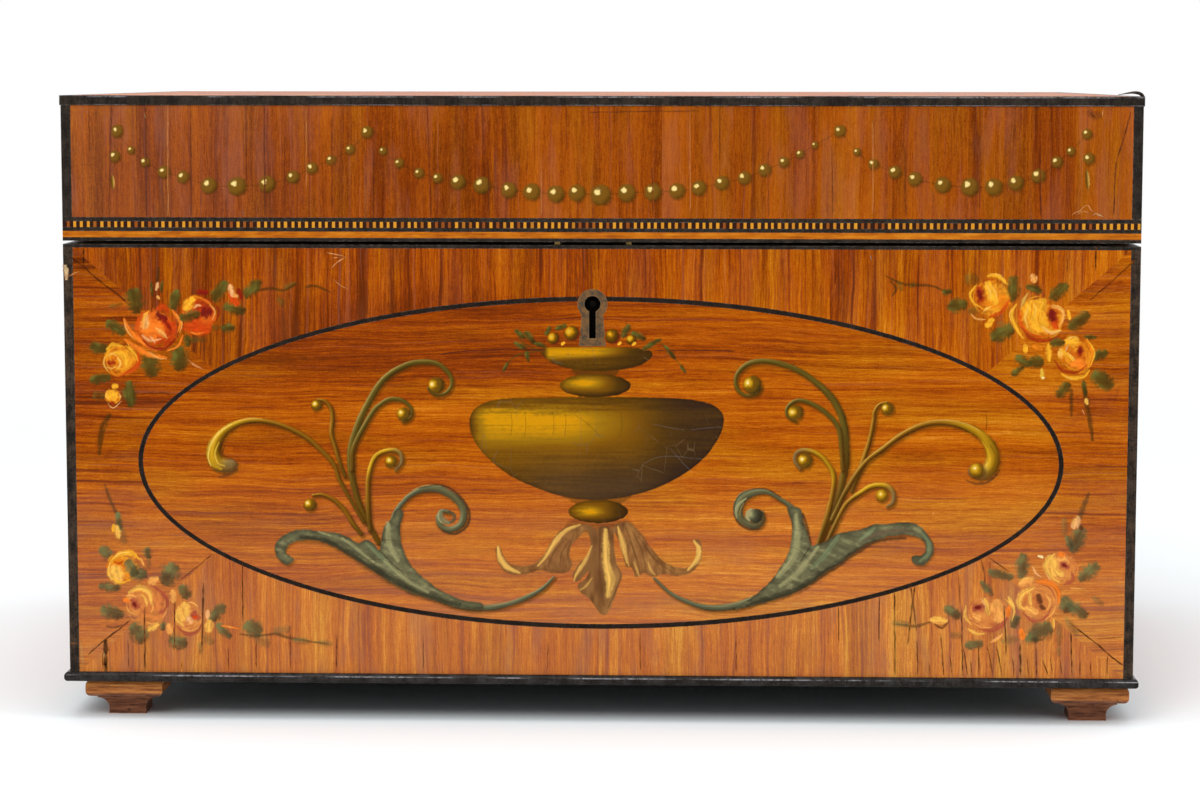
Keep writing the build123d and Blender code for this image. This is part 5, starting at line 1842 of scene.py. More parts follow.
BOTTOM_RIGHT = Spray(
    "roses_bottom_right", (884, 484), (1114, 664), DUSKY,
    roses=(
        Rose((1060.5, 567.5), 17.5, PINK, (
            (P.ROSE, 2.6, (1072.8, 560), (1077.4, 570), (1071, 578)),
            (P.ROSE_DEEP, 2.4, (1071.6, 572), (1072.4, 580), (1063.6, 585)),
            (P.BUTTER, (11, 7.5, 80), (1051.5, 566)),
            (P.BUTTER, 3, (1054.4, 554), (1046.6, 564), (1050, 576), (1059, 582)),
            (P.ROSE_LIGHT, (6.5, 5.5, 30), (1063, 561)), (P.RED_LIGHT, (4, 3.4, 0), (1061.3, 555)),
            (P.BUTTER, (5.4, 4.2, 20), (1059, 574)), (P.ROSE_DEEP, (5.4, 4.8, 30), (1064.7, 565.4)),
            (P.WINE, (2.8, 2.4, 30), (1064.7, 565.4)),
            (P.ROSE_DEEP, 0.7, (1054.4, 571), (1059, 577.4), (1065, 577)),
            (P.ROSE, 0.7, (1050, 560), (1049, 567), (1052, 574)), (P.PALE, 1, (1046, 574), (1051, 581)),
            (P.PALE, 1.8, (1032.6, 566.5), (1036, 573.4), (1041, 577)),
        )),
        Rose((1038.4, 600), 23, PINK, (
            (P.RED_LIGHT, 4.6, (1037, 581.6), (1049.8, 583), (1058, 592), (1059, 603)),
            (P.ROSE_DEEP, 1, (1042, 584.6), (1051, 589), (1055.4, 599)),
            (P.ROSE_LIGHT, (8.5, 5.4, -25), (1026, 581.6)),
            (P.BUTTER, 1.2, (1019, 583), (1025, 578.4), (1032, 579)),
            (P.ROSE, 0.7, (1021, 586), (1027, 583), (1032, 583)),
            (P.BUTTER, 4.2, (1034, 587.4), (1021.6, 595), (1019, 605.5), (1026, 610)),
            (P.BUTTER, 2.8, (1030.4, 593), (1030, 600), (1031, 606)),
            (P.ROSE, 0.8, (1026, 592), (1025, 600), (1027, 607)),
            (P.ROSE_LIGHT, 2, (1045, 594), (1050, 601), (1047.5, 610)),
            (P.ROSE, 3, (1036, 590), (1042, 592), (1046, 597)), (P.UMBER, (5.4, 4, 80), (1039.4, 598.8)),
            (P.UMBER, (3.8, 3, 30), (1042.4, 607.4)), (P.ROSE, 1.6, (1036, 604), (1039, 608), (1040, 612)),
            (P.ROSE_LIGHT, (7.5, 4.4, 20), (1031.4, 610.4)),
            (P.BUTTER, 1.2, (1026, 607), (1031, 610), (1035, 613)),
            (P.ROSE_DEEP, 2.6, (1023, 613), (1032.6, 620.4), (1044, 618.4), (1052.4, 606.7)),
            (P.ROSE_LIGHT, 0.9, (1024.4, 612), (1031, 616.4), (1038, 616.6)),
            (P.ROSE_LIGHT, 1.2, (1056, 606), (1052, 614), (1045, 620)),
        )),
        Rose((988, 614.5), 21.5, PINK, (
            (P.ROSE_LIGHT, (11.5, 7.5, 85), (997.5, 611)), (P.ROSE_LIGHT, (6.5, 5, 20), (975, 617)),
            (P.ROSE, 2, (971, 606), (971, 615), (976, 621)),
            (P.BUTTER, 2.2, (966, 606), (965, 616), (971, 624.4)),
            (P.BUTTER, 5, (984.4, 599), (987, 606.7), (989, 614)),
            (P.PALE, 1.4, (981, 598), (984, 603), (986, 609)),
            (P.ROSE, 0.8, (988, 600), (990, 607), (988, 614)),
            (P.ROSE, 0.8, (994, 604), (996, 611), (994, 618)),
            (P.ROSE_DEEP, (6.6, 5, -10), (978.6, 607.8)), (P.WINE, (3.4, 2.4, -10), (978, 607.4)),
            (P.ROSE_DEEP, 2.6, (979, 629), (992.4, 630.8), (1004, 623), (1009.4, 610)),
            (P.RED_LIGHT, (6.5, 3, 95), (1008.5, 611)),
            (P.BUTTER, 1.5, (1005, 599), (1014, 609), (1012, 621)),
            (P.BUTTER, 2.4, (968, 629), (977, 634), (984, 633.6)),
            (P.ROSE_LIGHT, 1.1, (972, 622), (981, 627), (992, 627.6)),
        )),
    ),
    leaves=(
        (1077.3, 540, 13.5, 8, -65), (1069.3, 542.4, 7, 4, 60), (1022.2, 566, 12.5, 7.5, -88),
        (1000.6, 574.6, 13, 5.6, 15), (1088.8, 572, 12.5, 7.5, -40), (986.7, 588.3, 9.5, 4, 50),
        (952.2, 612.4, 9.5, 6, 30), (1066, 604.6, 9, 8.5, 60), (1077.4, 610, 12, 6.5, 32),
        (1040.6, 631, 12.5, 10.5, -20), (1015.4, 621.6, 7, 5, -70), (974, 644.6, 9, 6, -10),
        (1031.4, 639, 7, 5, 0),
    ),
    faint=(
        (1064.7, 527.5, 9, 4, 85), (955.7, 635.4, 6, 4, 0), (1098, 601, 7, 3.6, 40),
        (1071.6, 626.2, 11, 4, 55), (1009.6, 640, 8, 5, -10), (1059, 651.5, 5, 3, 90),
        (902, 624, 10, 4, 5), (1059, 634, 12, 3.4, 90),
    ),
    twigs=(
        (((1079, 519), (1083, 508), (1088.8, 493)), 2.6), (((930, 622), (916, 626), (896, 624)), 1.4),
    ),
    touches=(
        (P.UMBER, (4.4, 3.2, 50), (1080.4, 526.6)), (P.PALE, (7, 4.6, -65), (1076, 522.6)),
        (P.BUTTER, 1, (1073, 526), (1075, 520), (1078, 517.6)),
        (P.UMBER, 2, (934, 624), (942, 627.6), (949, 621)), (P.BUTTER, (9, 3.8, 5), (938.6, 620)),
        (P.ROSE_LIGHT, 1, (932, 622), (939, 623.4), (946, 622)),
        (P.CREAM, (3.2, 1.8, 20), (1040.6, 556.8)),
        (P.BUTTER, 3, (1008.4, 597), (1011, 602), (1014.4, 607)),
        (P.ROSE_LIGHT, 2.4, (991, 642.3), (997, 639), (1003, 634)), (P.PALE, 0.8, (993, 640), (1000, 636)),
        (P.RED_LIGHT, (5.8, 4, 80), (1022, 634.4)), (P.BUTTER, (5, 1.6, 90), (1053.8, 623)),
        (P.ROSE_LIGHT, 1.6, (1070, 588), (1077, 588.6), (1085, 588)),
    ),
)


@dataclass(frozen=True)
class Scrolls:
    """One side's scrolling stems and their leafage, from their shared root to the balls."""

    name: str
    low: Pixel
    high: Pixel
    root: tuple[float, float, float]
    stems: tuple[Stem, ...]
    leafage: Leafage
    over: tuple[Stroke, ...]

    def film(self) -> Film:
        """Paints the scrolls and returns their film."""
        film = Film(self.name, self.low, self.high, seed=21)
        film.blot(self.root[:2], (24.0, 7.0), self.root[2], flat(P.UMBER), cover=0.4, soft=1.0)
        for stem in self.stems:
            stem.paint(film)
        self.leafage.paint(film)
        for line, widths, pigment, cover in self.over:
            film.stroke(line, widths, flat(pigment), cover=cover, soft=0.7, bristle=0.3)
        return film


LEFT_SCROLLS = Scrolls(
    "scrolls_left", (198, 350), (562, 618), (362, 512, 62),
    stems=(
        Stem(((379, 543), (362, 510), (353, 482), (350.5, 458), (353, 439.5), (364, 411), (383, 380),
              (406, 365), (425, 361.8),
              (438, 364), (446, 370), (451, 377), (451.5, 385), (448, 391), (442, 394.5), (434, 394),
              (428, 388)),
             (3.0, 3.2, 3.8, 4.2, 4.2, 4.0, 3.6, 3.2, 2.8, 2.2, 1.4), OLIVE, (436.6, 385, 8.4, 431.8, 384)),
        Stem(((352, 470), (354, 447), (371, 414.6), (381, 404), (391, 399), (402.7, 400.7), (411, 408),
              (411, 417), (403, 422)),
             (2.6, 2.8, 2.8, 2.8, 2.8, 2.0, 1.4), OLIVE, (403.7, 414, 7.0, 400.6, 412.5)),
        Stem(((370, 530), (368, 500), (369, 474), (376, 456), (391, 450), (400, 453), (401.5, 462),
              (396, 469.6)),
             (2.6, 3.2, 3.2, 2.8, 2.8, 2.0), CURLED, (391.2, 461.5, 6.5, 389.0, 460)),
        Stem(((345.4, 476.4), (341, 466), (335.4, 448), (331.5, 434), (332.4, 418.6), (330.7, 408),
              (324.8, 401), (317.7, 399.7)),
             (2.0, 2.4, 2.6, 2.6, 2.4, 1.6), GOLDEN, (316.5, 405, 5.6, 314.6, 403.6)),
        Stem(((364, 522), (352, 502), (340, 481), (334, 464.6), (319, 448), (301, 434), (277.6, 424),
              (256, 420.4), (239.8, 422.7),
              (226, 430), (217.5, 440), (214, 452), (216.5, 461.5), (223, 466), (231, 466)),
             (2.2, 2.2, 2.4, 2.4, 2.6, 2.6, 2.8, 2.8, 2.8, 2.9, 3.3, 4.6, 7.4, 9.6, 8.0), HOOKED),
        Stem(((361.4, 534), (353, 523.6), (344.8, 510.6), (334, 500), (322.4, 494.7), (313, 495.3)),
             (2.2, 2.6, 2.6, 2.2, 1.8), GOLDEN, (310, 504.7, 6.4, 307.6, 503)),
        Stem(((392, 524), (395, 514), (402, 503), (412, 494), (425, 489), (440, 489.5), (455, 498),
              (463.5, 511), (461, 524),
              (450.5, 529.5), (441, 526), (438, 518), (442, 511), (449, 512)),
             (3.4, 3.0, 3.0, 4.0, 4.6, 4.6, 4.0, 3.6, 3.0, 2.0), VOLUTE),
        Stem(((400, 568), (425, 590), (455, 604), (485, 608), (515, 602), (540, 590), (554, 577)),
             (6.0, 6.0, 4.6, 4.0, 3.2, 2.8, 1.4), SAGE),
    ),
    leafage=Leafage(
        ((294, 560), (286.7, 565), (277.5, 558), (274.5, 548), (280, 538), (292, 531), (305, 529.5),
         (323, 531.5), (338.6, 533.5),
         (350, 538), (358, 543), (366, 539.5), (374, 544), (379.5, 550), (381.5, 538), (383.5, 528),
         (390.5, 519), (397, 509), (403, 512), (401, 524), (400.5, 534), (402.5, 547), (409, 562),
         (421.5, 576), (442, 591), (463.5, 600), (482, 603), (480, 609), (456, 607), (435, 600),
         (414, 594.5), (393, 583.5), (375, 572), (358, 561), (344, 552.5), (330, 545),
         (316, 540.5), (299.5, 540.5), (289, 545), (286, 552), (290, 556)),
        (
            (((300, 537), (318, 538.5), (332, 543), (346, 551), (360, 560), (376, 570), (394, 581),
              (415, 592), (436, 598.5), (460, 605)),
             (2.0, 3.2, 4.2, 5.0, 5.5, 5.0, 3.0), P.SAGE_DEEP, 0.8),
            (((299, 541), (331, 547), (359, 564), (393, 585), (435, 602)), (2.0, 3.0, 3.0, 2.0), P.TAN,
             0.35),
            (((318, 531.5), (324, 533.5), (331, 536)), (0.8, 1.6, 0.8), P.MOSS_LIGHT, 0.7),
            (((342, 538), (352, 545), (362, 553), (374, 562)), (1.0, 2.0, 1.4), P.MOSS_LIGHT, 0.8),
            (((366, 543), (374, 550), (384, 560), (396, 572)), (1.6, 3.0, 2.4), P.FERN, 0.8),
            (((388, 523), (388, 536), (391, 548), (398, 560)), (2.6, 4.0, 3.0), P.MOSS_LIGHT, 0.85),
            (((384, 560), (396, 571), (410, 582), (428, 592)), (1.6, 3.0, 2.0), P.MOSS_LIGHT, 0.7),
            (((380, 550), (386, 557), (394, 565), (404, 574)), (0.6, 0.9, 0.5), P.SAGE_DEEP, 0.8),
            (((381, 539.5), (396, 540.5)), (0.4, 0.5), P.CRACK, 0.7),
            (((365, 560), (384, 560), (398, 572), (412, 580)), (0.3, 0.5, 0.3), P.CRACK, 0.6),
        ),
    ),
    over=(
        (((440, 510), (438.6, 516), (440.6, 522)), (0.9, 1.6, 0.8), P.MOSS_LIGHT, 0.8),
        (((412, 490), (426, 485.5), (441, 486)), (0.6, 1.1, 0.5), P.STEM_GLINT, 0.6),
        (((262, 418.6), (250, 418.4), (238, 420.4)), (0.5, 0.8, 0.5), P.STRAW, 0.45),
        (((232, 424), (220, 432), (211, 444), (208, 455)), (0.6, 1.3, 1.3, 0.6), P.BEAD_LIGHT, 0.55),
        (((215, 442), (211, 452), (213, 463), (221, 469)), (1.2, 2.8, 3.2, 1.4), P.GOLD_LIGHT, 0.7),
        (((219, 442), (215, 453), (218, 463), (225, 466)), (0.6, 1.2, 1.2, 0.6), P.GOLD_GLINT, 0.75),
        (((210, 448), (208, 457), (211, 466)), (0.4, 0.8, 0.4), P.BEAD_LIGHT, 0.7),
        (((225, 446), (222.5, 452), (226, 457), (234, 459)), (0.6, 1.2, 1.4, 0.8), P.BARK_DARK, 0.6),
        (((219, 477), (229, 475), (236, 469)), (1.0, 2.0, 1.2), P.TAN_DARK, 0.6),
        (((419, 488), (441, 485), (459, 495), (469, 511), (467, 526), (455, 534), (443, 531)),
         (0.8, 1.4, 1.6, 1.6, 1.2), P.SAGE_DEEP, 0.75),
        (((449, 511), (454, 515), (453, 521), (446, 523)), (1.6, 2.6, 2.4, 1.4), P.SAGE_DARK, 0.85),
        (((441, 512), (441.6, 519), (448, 523)), (2.2, 4.2, 2.6), P.SAGE_LIGHT, 0.85),
        (((438.6, 511), (438.4, 518), (442, 523)), (0.6, 1.4, 0.7), P.MOSS_LIGHT, 0.75),
    ),
)
RIGHT_SCROLLS = Scrolls(
    "scrolls_right", (645, 350), (1008, 618), (833, 512, -62),
    stems=(
        Stem(((822, 540), (834, 510), (842, 483), (846, 454), (843, 422), (831, 397), (806, 375),
              (782, 364), (762, 361),
              (748, 364), (738.5, 372), (735.5, 381), (738, 390), (746, 395.5), (756, 394), (761, 388)),
             (3.0, 3.6, 4.3, 4.4, 4.2, 3.8, 3.4, 3.2, 2.8, 2.2, 1.4), OLIVE,
             (752.5, 385, 9.6, 747.6, 382.5)),
        Stem(((843, 470), (839, 430), (826.5, 413.5), (810, 403), (797, 400.5), (787.5, 407), (787.5, 416),
              (796, 421.5)),
             (2.6, 3.0, 3.0, 2.8, 2.6, 2.0, 1.4), OLIVE, (795.5, 412.6, 8.0, 792.0, 412)),
        Stem(((818, 545), (829, 510), (834, 479), (826.5, 462), (816, 453), (804, 450), (796, 453.5),
              (795, 461.5), (800, 468.5)),
             (2.6, 3.4, 3.2, 2.8, 2.6, 2.0), CURLED, (805, 460.5, 7.8, 802.0, 459)),
        Stem(((852, 492), (861, 466.5), (869, 442), (873.5, 421.6), (874.5, 412), (879.3, 404.7),
              (887, 402.5)),
             (2.0, 2.6, 2.8, 2.6, 2.4, 1.6), GOLDEN, (887.6, 408.8, 6.4, 884.6, 407.6)),
        Stem(((832, 520), (847, 489), (864, 464), (884, 448), (903.4, 434), (924.5, 424.5), (945.5, 422.8),
              (966.6, 427.2), (984, 437.7),
              (993, 454), (991.5, 467), (984.5, 473), (976, 471.5)),
             (3.0, 2.8, 2.8, 2.8, 3.0, 3.0, 3.2, 3.2, 3.4, 3.8, 5.0, 7.2, 9.0, 8.6), HOOKED,
             (976.8, 470, 7.4, 974.6, 468.4), GILT_BALL),
        Stem(((828, 540), (843, 509), (851, 499.5), (860, 493), (869.6, 487.2), (879, 485.3),
              (887.4, 486.6), (892.5, 491.7), (893.8, 497),
              (892.5, 503), (887.4, 506.4)),
             (2.2, 2.6, 2.6, 2.6, 2.8, 3.2, 3.6, 2.8, 1.6), CURLED, (881.8, 495.5, 6.6, 880.4, 494),
             GILT_BALL),
        Stem(((798, 524), (792, 508), (780, 499), (766.3, 491.8), (752.6, 492.9), (742.2, 498.4),
              (738.2, 508.7), (740.5, 518),
              (748, 524.2), (757.7, 525.3), (763, 519.5), (762, 512)),
             (3.8, 3.7, 2.9, 2.3, 2.8, 4.4, 5.8, 6.0, 4.8, 4.0, 3.0, 2.0), VOLUTE,
             (755.5, 516, 7.8, 748.6, 513.5), DULL_BALL),
        Stem(((806, 560), (784, 582), (758, 598), (728, 607), (700, 606), (672, 594), (654, 578)),
             (6.0, 6.0, 4.6, 4.0, 3.2, 2.2, 1.4), SAGE),
    ),
    leafage=Leafage(
        ((912, 556), (922, 555), (925.6, 549), (923, 541), (912, 535.5), (897, 535.3), (880, 539),
         (865, 545), (851.6, 554.5),
         (836.5, 565.5), (823, 573.7), (809, 584.7), (790, 594.3), (769, 601), (749, 606.6), (735, 609.4),
         (742, 603.9), (755.6, 594.3), (769.3, 582), (779, 569.6), (785.7, 558.6), (789.8, 547.7),
         (791.9, 532.6), (791.2, 520.2), (787, 508), (799.4, 508), (803.6, 520.2), (807.7, 534),
         (811, 545), (817.3, 544.2), (824, 542.2), (831, 538.1), (839, 533.3), (850, 531.2), (865, 527.8),
         (875, 523.7), (886, 524.4), (899.5, 522.3), (913.3, 523), (924, 529.8), (931, 539.4),
         (934, 547.7), (931, 557.3), (923, 565.5), (913, 563)),
        (
            (((905, 538), (890, 539), (872, 543), (855, 553), (840, 563), (824, 573), (808, 583),
              (790, 592), (770, 599), (748, 605)),
             (2.0, 3.2, 4.2, 5.0, 5.5, 5.0, 3.0), P.SAGE_DEEP, 0.8),
            (((862, 541), (880, 533), (898, 530), (914, 531.5)), (2.0, 4.0, 3.6, 1.6), P.DUSK, 0.75),
            (((838, 536), (832, 545), (824, 556), (812, 568)), (2.4, 4.0, 2.4), P.FERN, 0.8),
            (((874, 528), (868, 534), (860, 540)), (2.0, 3.6, 2.0), P.FERN, 0.8),
            (((818, 547), (808, 560), (796, 574), (780, 586)), (2.0, 4.6, 2.6), P.MOSS_LIGHT, 0.75),
            (((796, 515), (797, 532), (796, 548), (790, 562), (778, 576)), (2.6, 4.6, 5.0, 3.4),
             P.MOSS_LIGHT, 0.85),
            (((803, 514), (808, 530), (811, 543)), (1.6, 2.4, 1.4), P.SAGE_DEEP, 0.85),
            (((922, 533), (929, 543), (928, 554), (920, 561)), (1.6, 3.2, 3.0, 1.4), P.FERN, 0.8),
            (((811, 545), (804, 556), (800, 562)), (0.6, 0.9, 0.5), P.SAGE_DEEP, 0.8),
            (((791, 529.5), (800, 530)), (0.4, 0.5), P.CRACK, 0.7),
            (((790, 546), (799, 550), (805, 556), (822, 574)), (0.3, 0.5, 0.3), P.CRACK, 0.6),
        ),
    ),
    over=(
        (((746, 498.5), (739, 504), (735.6, 511), (736.6, 518)), (0.9, 2.0, 2.4, 1.0), P.MOSS_LIGHT, 0.85),
        (((781, 497), (766, 489), (751, 490), (739, 496.5), (734, 508), (737, 521), (748, 529), (760, 529)),
         (0.8, 1.2, 1.2, 1.2, 1.4, 1.2), P.SAGE_DEEP, 0.7),
        (((744, 503), (740.6, 509), (739.6, 516)), (0.4, 0.7, 0.4), P.STEM_GLINT, 0.7),
        (((752, 508.6), (748, 512), (747, 517), (749.6, 520.6)), (0.8, 2.2, 2.2, 0.8), P.MOSS_LIGHT, 0.9),
        (((925, 421.6), (946, 419.8), (967, 424), (980, 431)), (0.4, 0.8, 0.8, 0.4), P.STRAW, 0.5),
        (((990, 445), (996, 455), (995, 466), (988, 475)), (0.8, 2.2, 2.4, 1.2), P.GOLD_DEEP, 0.5),
        (((982, 441), (988.5, 452), (988, 462)), (0.5, 1.4, 0.8), P.GOLD_LIGHT, 0.7),
        (((966, 480), (976, 484), (988, 482), (997, 474)), (0.8, 1.6, 1.6, 1.0), P.TAN_DARK, 0.65),
    ),
)


def around(u: np.ndarray, v: np.ndarray, centre: Pixel, reach: Pixel) -> np.ndarray:
    """Returns a soft spot that is 1 at its centre and fades over its reach.

    Args:
        u: the places across.
        v: the places down.
        centre: the middle of the spot.
        reach: how far it fades across and down.
    """
    return np.exp(-((u - centre[0]) / reach[0]) ** 2 - ((v - centre[1]) / reach[1]) ** 2)


@dataclass(frozen=True)
class Urn:
    """The painted urn: a dish, two knobs and a wide bowl, lit from the left."""

    low: Pixel = (460.0, 340.0)
    high: Pixel = (734.0, 530.0)
    dish: Line = (
        (542.5, 348.5), (570, 347.3), (610, 347.3), (640, 348), (652, 352), (650, 359), (638, 366),
        (618, 370), (596, 371.2), (574, 369.5), (554, 364), (543.5, 356),
    )
    bowl: Line = (
        (469.2, 422), (473, 411), (483, 403.5), (500, 399), (536, 397.5), (590, 397), (640, 397.3),
        (682, 398.6), (708, 403), (721, 411), (723.9, 422), (717.5, 440), (700, 462), (671, 481.5),
        (640, 493.5), (602, 500), (565, 497), (535, 487.5), (508, 474.3), (485, 455.5), (473, 438),
    )
    scratches: tuple[Line, ...] = (
        ((690, 430), (706, 428), (722, 427)), ((642, 465), (655, 458), (672, 456), (690, 458), (704, 459)),
        ((653, 424), (672, 428), (686, 430)), ((670, 448), (676, 455), (690, 470), (700, 474)),
    )

    def gilded(self, tone: np.ndarray) -> np.ndarray:
        """Returns the urn's colours, from its shadows to its gold."""
        places = (0.02, 0.25, 0.48, 0.72, 0.95)
        return scale(tone, *zip(places, (P.URN_DARK, P.URN_SHADE, P.URN_BODY, P.GOLD, P.URN_LIGHT)))

    def brushed(self, u: np.ndarray, v: np.ndarray) -> np.ndarray:
        """Returns the level brush marks at places, from -1 to 1."""
        long = 0.45 * mottle(u * 0.018, v * 0.31, 91) + 0.4 * mottle(u * 0.04, v * 0.83, 92)
        return long + 0.25 * mottle(u * 0.4, v * 0.6, 93)

    def bowl_tint(self, u: np.ndarray, v: np.ndarray) -> np.ndarray:
        """Returns the colours of the bowl."""
        brush = self.brushed(u, v)
        right = rise(u + 8 * brush, 622, 700)
        low = rise(v + 4 * brush, 440, 492)
        tone = 0.48 - 0.22 * low - 0.28 * right - 0.08 * rise(u, 560, 620) + 0.13 * brush
        tone -= 0.10 * rise(v, 413, 400) + 0.16 * np.exp(-((u - 469) / 7) ** 2)
        band = rise(v + 3 * brush, 402, 420) * (1 - rise(v + 4 * brush, 424, 454))
        band = band * rise(u, 468, 492) * (1 - rise(u + 30 * brush, 555, 665))
        tone = tone + band * (0.48 + 0.12 * brush)
        dusk = (0.22 * low * rise(u, 500, 560) * (1 - right) + 0.08 * right)[..., None]
        return self.gilded(tone) * (1 - dusk) + P.DUSK.rgb * dusk

    def dish_tint(self, u: np.ndarray, v: np.ndarray) -> np.ndarray:
        """Returns the colours of the dish."""
        brush = self.brushed(u, v)
        shine = rise(u, 543, 550) * (1 - rise(u + 14 * brush, 590, 640))
        shine = shine * (1 - rise(v + 0.06 * (u - 545) + 1.2 * brush, 356, 363))
        tone = 0.30 + 0.12 * brush - 0.14 * rise(u, 600, 650) + (0.58 + 0.2 * brush) * shine
        return self.gilded(tone + 0.10 * rise(v, 352, 348))

    def knob(self, film: Film, centre: Pixel, reach: Pixel, shine: Pixel, spread_px: Pixel) -> None:
        """Paints a knob with a gold shine at its left.

        Args:
            film: the film that it is painted on.
            centre: its middle.
            reach: half its width and height.
            shine: the middle of the shine.
            spread_px: how far the shine fades across and down.
        """
        turns = np.radians(np.arange(0, 360, 24))
        outline = [(centre[0] + reach[0] * math.cos(t), centre[1] + reach[1] * math.sin(t)) for t in turns]

        def tint(u: np.ndarray, v: np.ndarray) -> np.ndarray:
            """Returns the colours of the knob."""
            brush = self.brushed(u, v)
            tone = 0.42 + 0.08 * brush - 0.30 * rise(u, centre[0] + 2, centre[0] + reach[0])
            tone -= 0.22 * rise(v, centre[1] + 2, centre[1] + reach[1])
            tone = tone + 0.60 * around(u + 5 * brush, v + brush, shine, spread_px)
            return self.gilded(tone)

        film.fill(outline, tint, rim=0.35)

    def film(self) -> Film:
        """Paints the urn and returns its film."""
        film = Film("urn", self.low, self.high, seed=31)
        neck = [(574, 366), (616, 366), (612, 377), (580, 377)]
        film.fill(neck, flat(P.URN_SHADE), cover=0.75, soft=3.0)
        throat = [(566, 492), (630, 492), (616, 505), (580, 505)]
        film.fill(throat, flat(P.URN_SHADE), cover=0.6, soft=3.0)
        self.knob(film, (595.5, 385.6), (35.5, 12.0), (586.0, 383.0), (17.0, 5.2))
        self.knob(film, (598.0, 511.5), (30.0, 11.8), (589.5, 511.5), (11.5, 4.6))
        film.fill(self.dish, self.dish_tint, rim=0.3, rough=0.25)
        film.fill(self.bowl, self.bowl_tint, rim=0.25, rough=0.25)
        hair = (0.3, 0.5, 0.3)
        flutes = [[(u, 412), (u + 1, 424), (u - 0.5, 437)] for u in (511.0, 525.0, 553.0, 565.0, 621.0)]
        for line in (*flutes, [(575, 415), (588, 424), (600, 436)]):
            film.stroke(line, hair, flat(P.URN_SHADE), cover=0.6, soft=0.8)
        for line in self.scratches:
            film.stroke(line, hair, flat(P.DUST), cover=0.16, soft=0.8)
        return film


GLINT = by_light((-0.2, P.FROND_GLINT), (0.6, P.STRAW))


def frond_tint(tone: np.ndarray) -> np.ndarray:
    """Returns the colours of an acanthus leaf, from its shadows to its light."""
    return scale(tone, (0.0, P.FROND_DARK), (0.5, P.FROND), (1.0, P.FROND_LIGHT))


@dataclass(frozen=True)
class Frond:
    """One frond: its outline, its lit edge, its ribs, and its curled tip with its half widths."""

    outline: Line
    edge: Line
    ribs: tuple[Line, ...]
    tip: Line
    tip_widths: tuple[float, ...]

    def body(self, u: np.ndarray, v: np.ndarray) -> np.ndarray:
        """Returns the colours of the body."""
        tone = 0.42 + 0.34 * mottle(u * 0.22, v * 0.10, 41)
        return frond_tint(tone + 0.14 * mottle(u * 0.6, v * 0.3, 42))

    def paint(self, film: Film) -> None:
        """Paints the body, the ribs, the lit edge and the tip."""
        film.fill(self.outline, self.body, cover=0.9, soft=2.0, rim=0.25)
        for rib in self.ribs:
            film.stroke(rib, (0.7, 1.3, 0.6), flat(P.FROND_DARK), cover=0.7, soft=0.8)
        lit = by_light((-0.2, P.FROND), (0.4, P.FROND_GLINT), (0.9, P.STRAW))
        film.stroke(self.edge, (1.2, 3.2, 4.2, 2.6, 1.0), lit, cover=0.9, soft=0.6, bristle=0.3)
        film.stroke(self.tip, self.tip_widths, GLINT, cover=0.9, soft=0.6, bristle=0.3)


LEFT_FROND = Frond(
    outline=(
        (580, 524), (588, 527), (582, 534), (572, 545), (570, 556), (572, 566), (565, 573), (552, 573),
        (540, 570), (527, 574), (513, 575), (503, 570), (497, 560), (495.5, 550), (499, 545), (502, 552),
        (508, 562), (518, 566), (531, 565), (543, 556), (552, 541), (562, 529),
    ),
    edge=((580, 525), (566, 531), (555, 543), (546, 557), (538, 566)),
    ribs=(
        ((570, 540), (562, 552), (560, 566)), ((566, 538), (554, 552), (548, 566)),
        ((574, 534), (568, 550), (569, 564)),
    ),
    tip=((498, 547), (500, 557), (507, 567), (520, 573)),
    tip_widths=(1.6, 4.0, 3.2, 1.0),
)
RIGHT_FROND = Frond(
    outline=(
        (612, 529), (620, 523), (630, 523), (641, 533), (650, 546), (661, 559), (673, 566), (686, 568),
        (694, 562), (697, 552), (696, 543), (691, 541), (700, 540), (702, 552), (699, 564), (690, 573),
        (676, 576), (663, 574), (652, 577), (644, 573), (636, 577), (632, 568), (626, 566), (622, 552),
        (618, 538),
    ),
    edge=((618, 527), (622, 540), (625, 552), (627, 563)),
    ribs=(
        ((626, 528), (632, 544), (636, 560)), ((632, 530), (641, 548), (646, 568)),
        ((638, 536), (652, 556), (660, 570)), ((629, 540), (636, 556), (640, 572)),
        ((644, 546), (658, 562), (672, 572)),
    ),
    tip=((694, 541), (699, 549), (697, 560), (688, 570)),
    tip_widths=(1.4, 3.6, 3.2, 1.2),
)


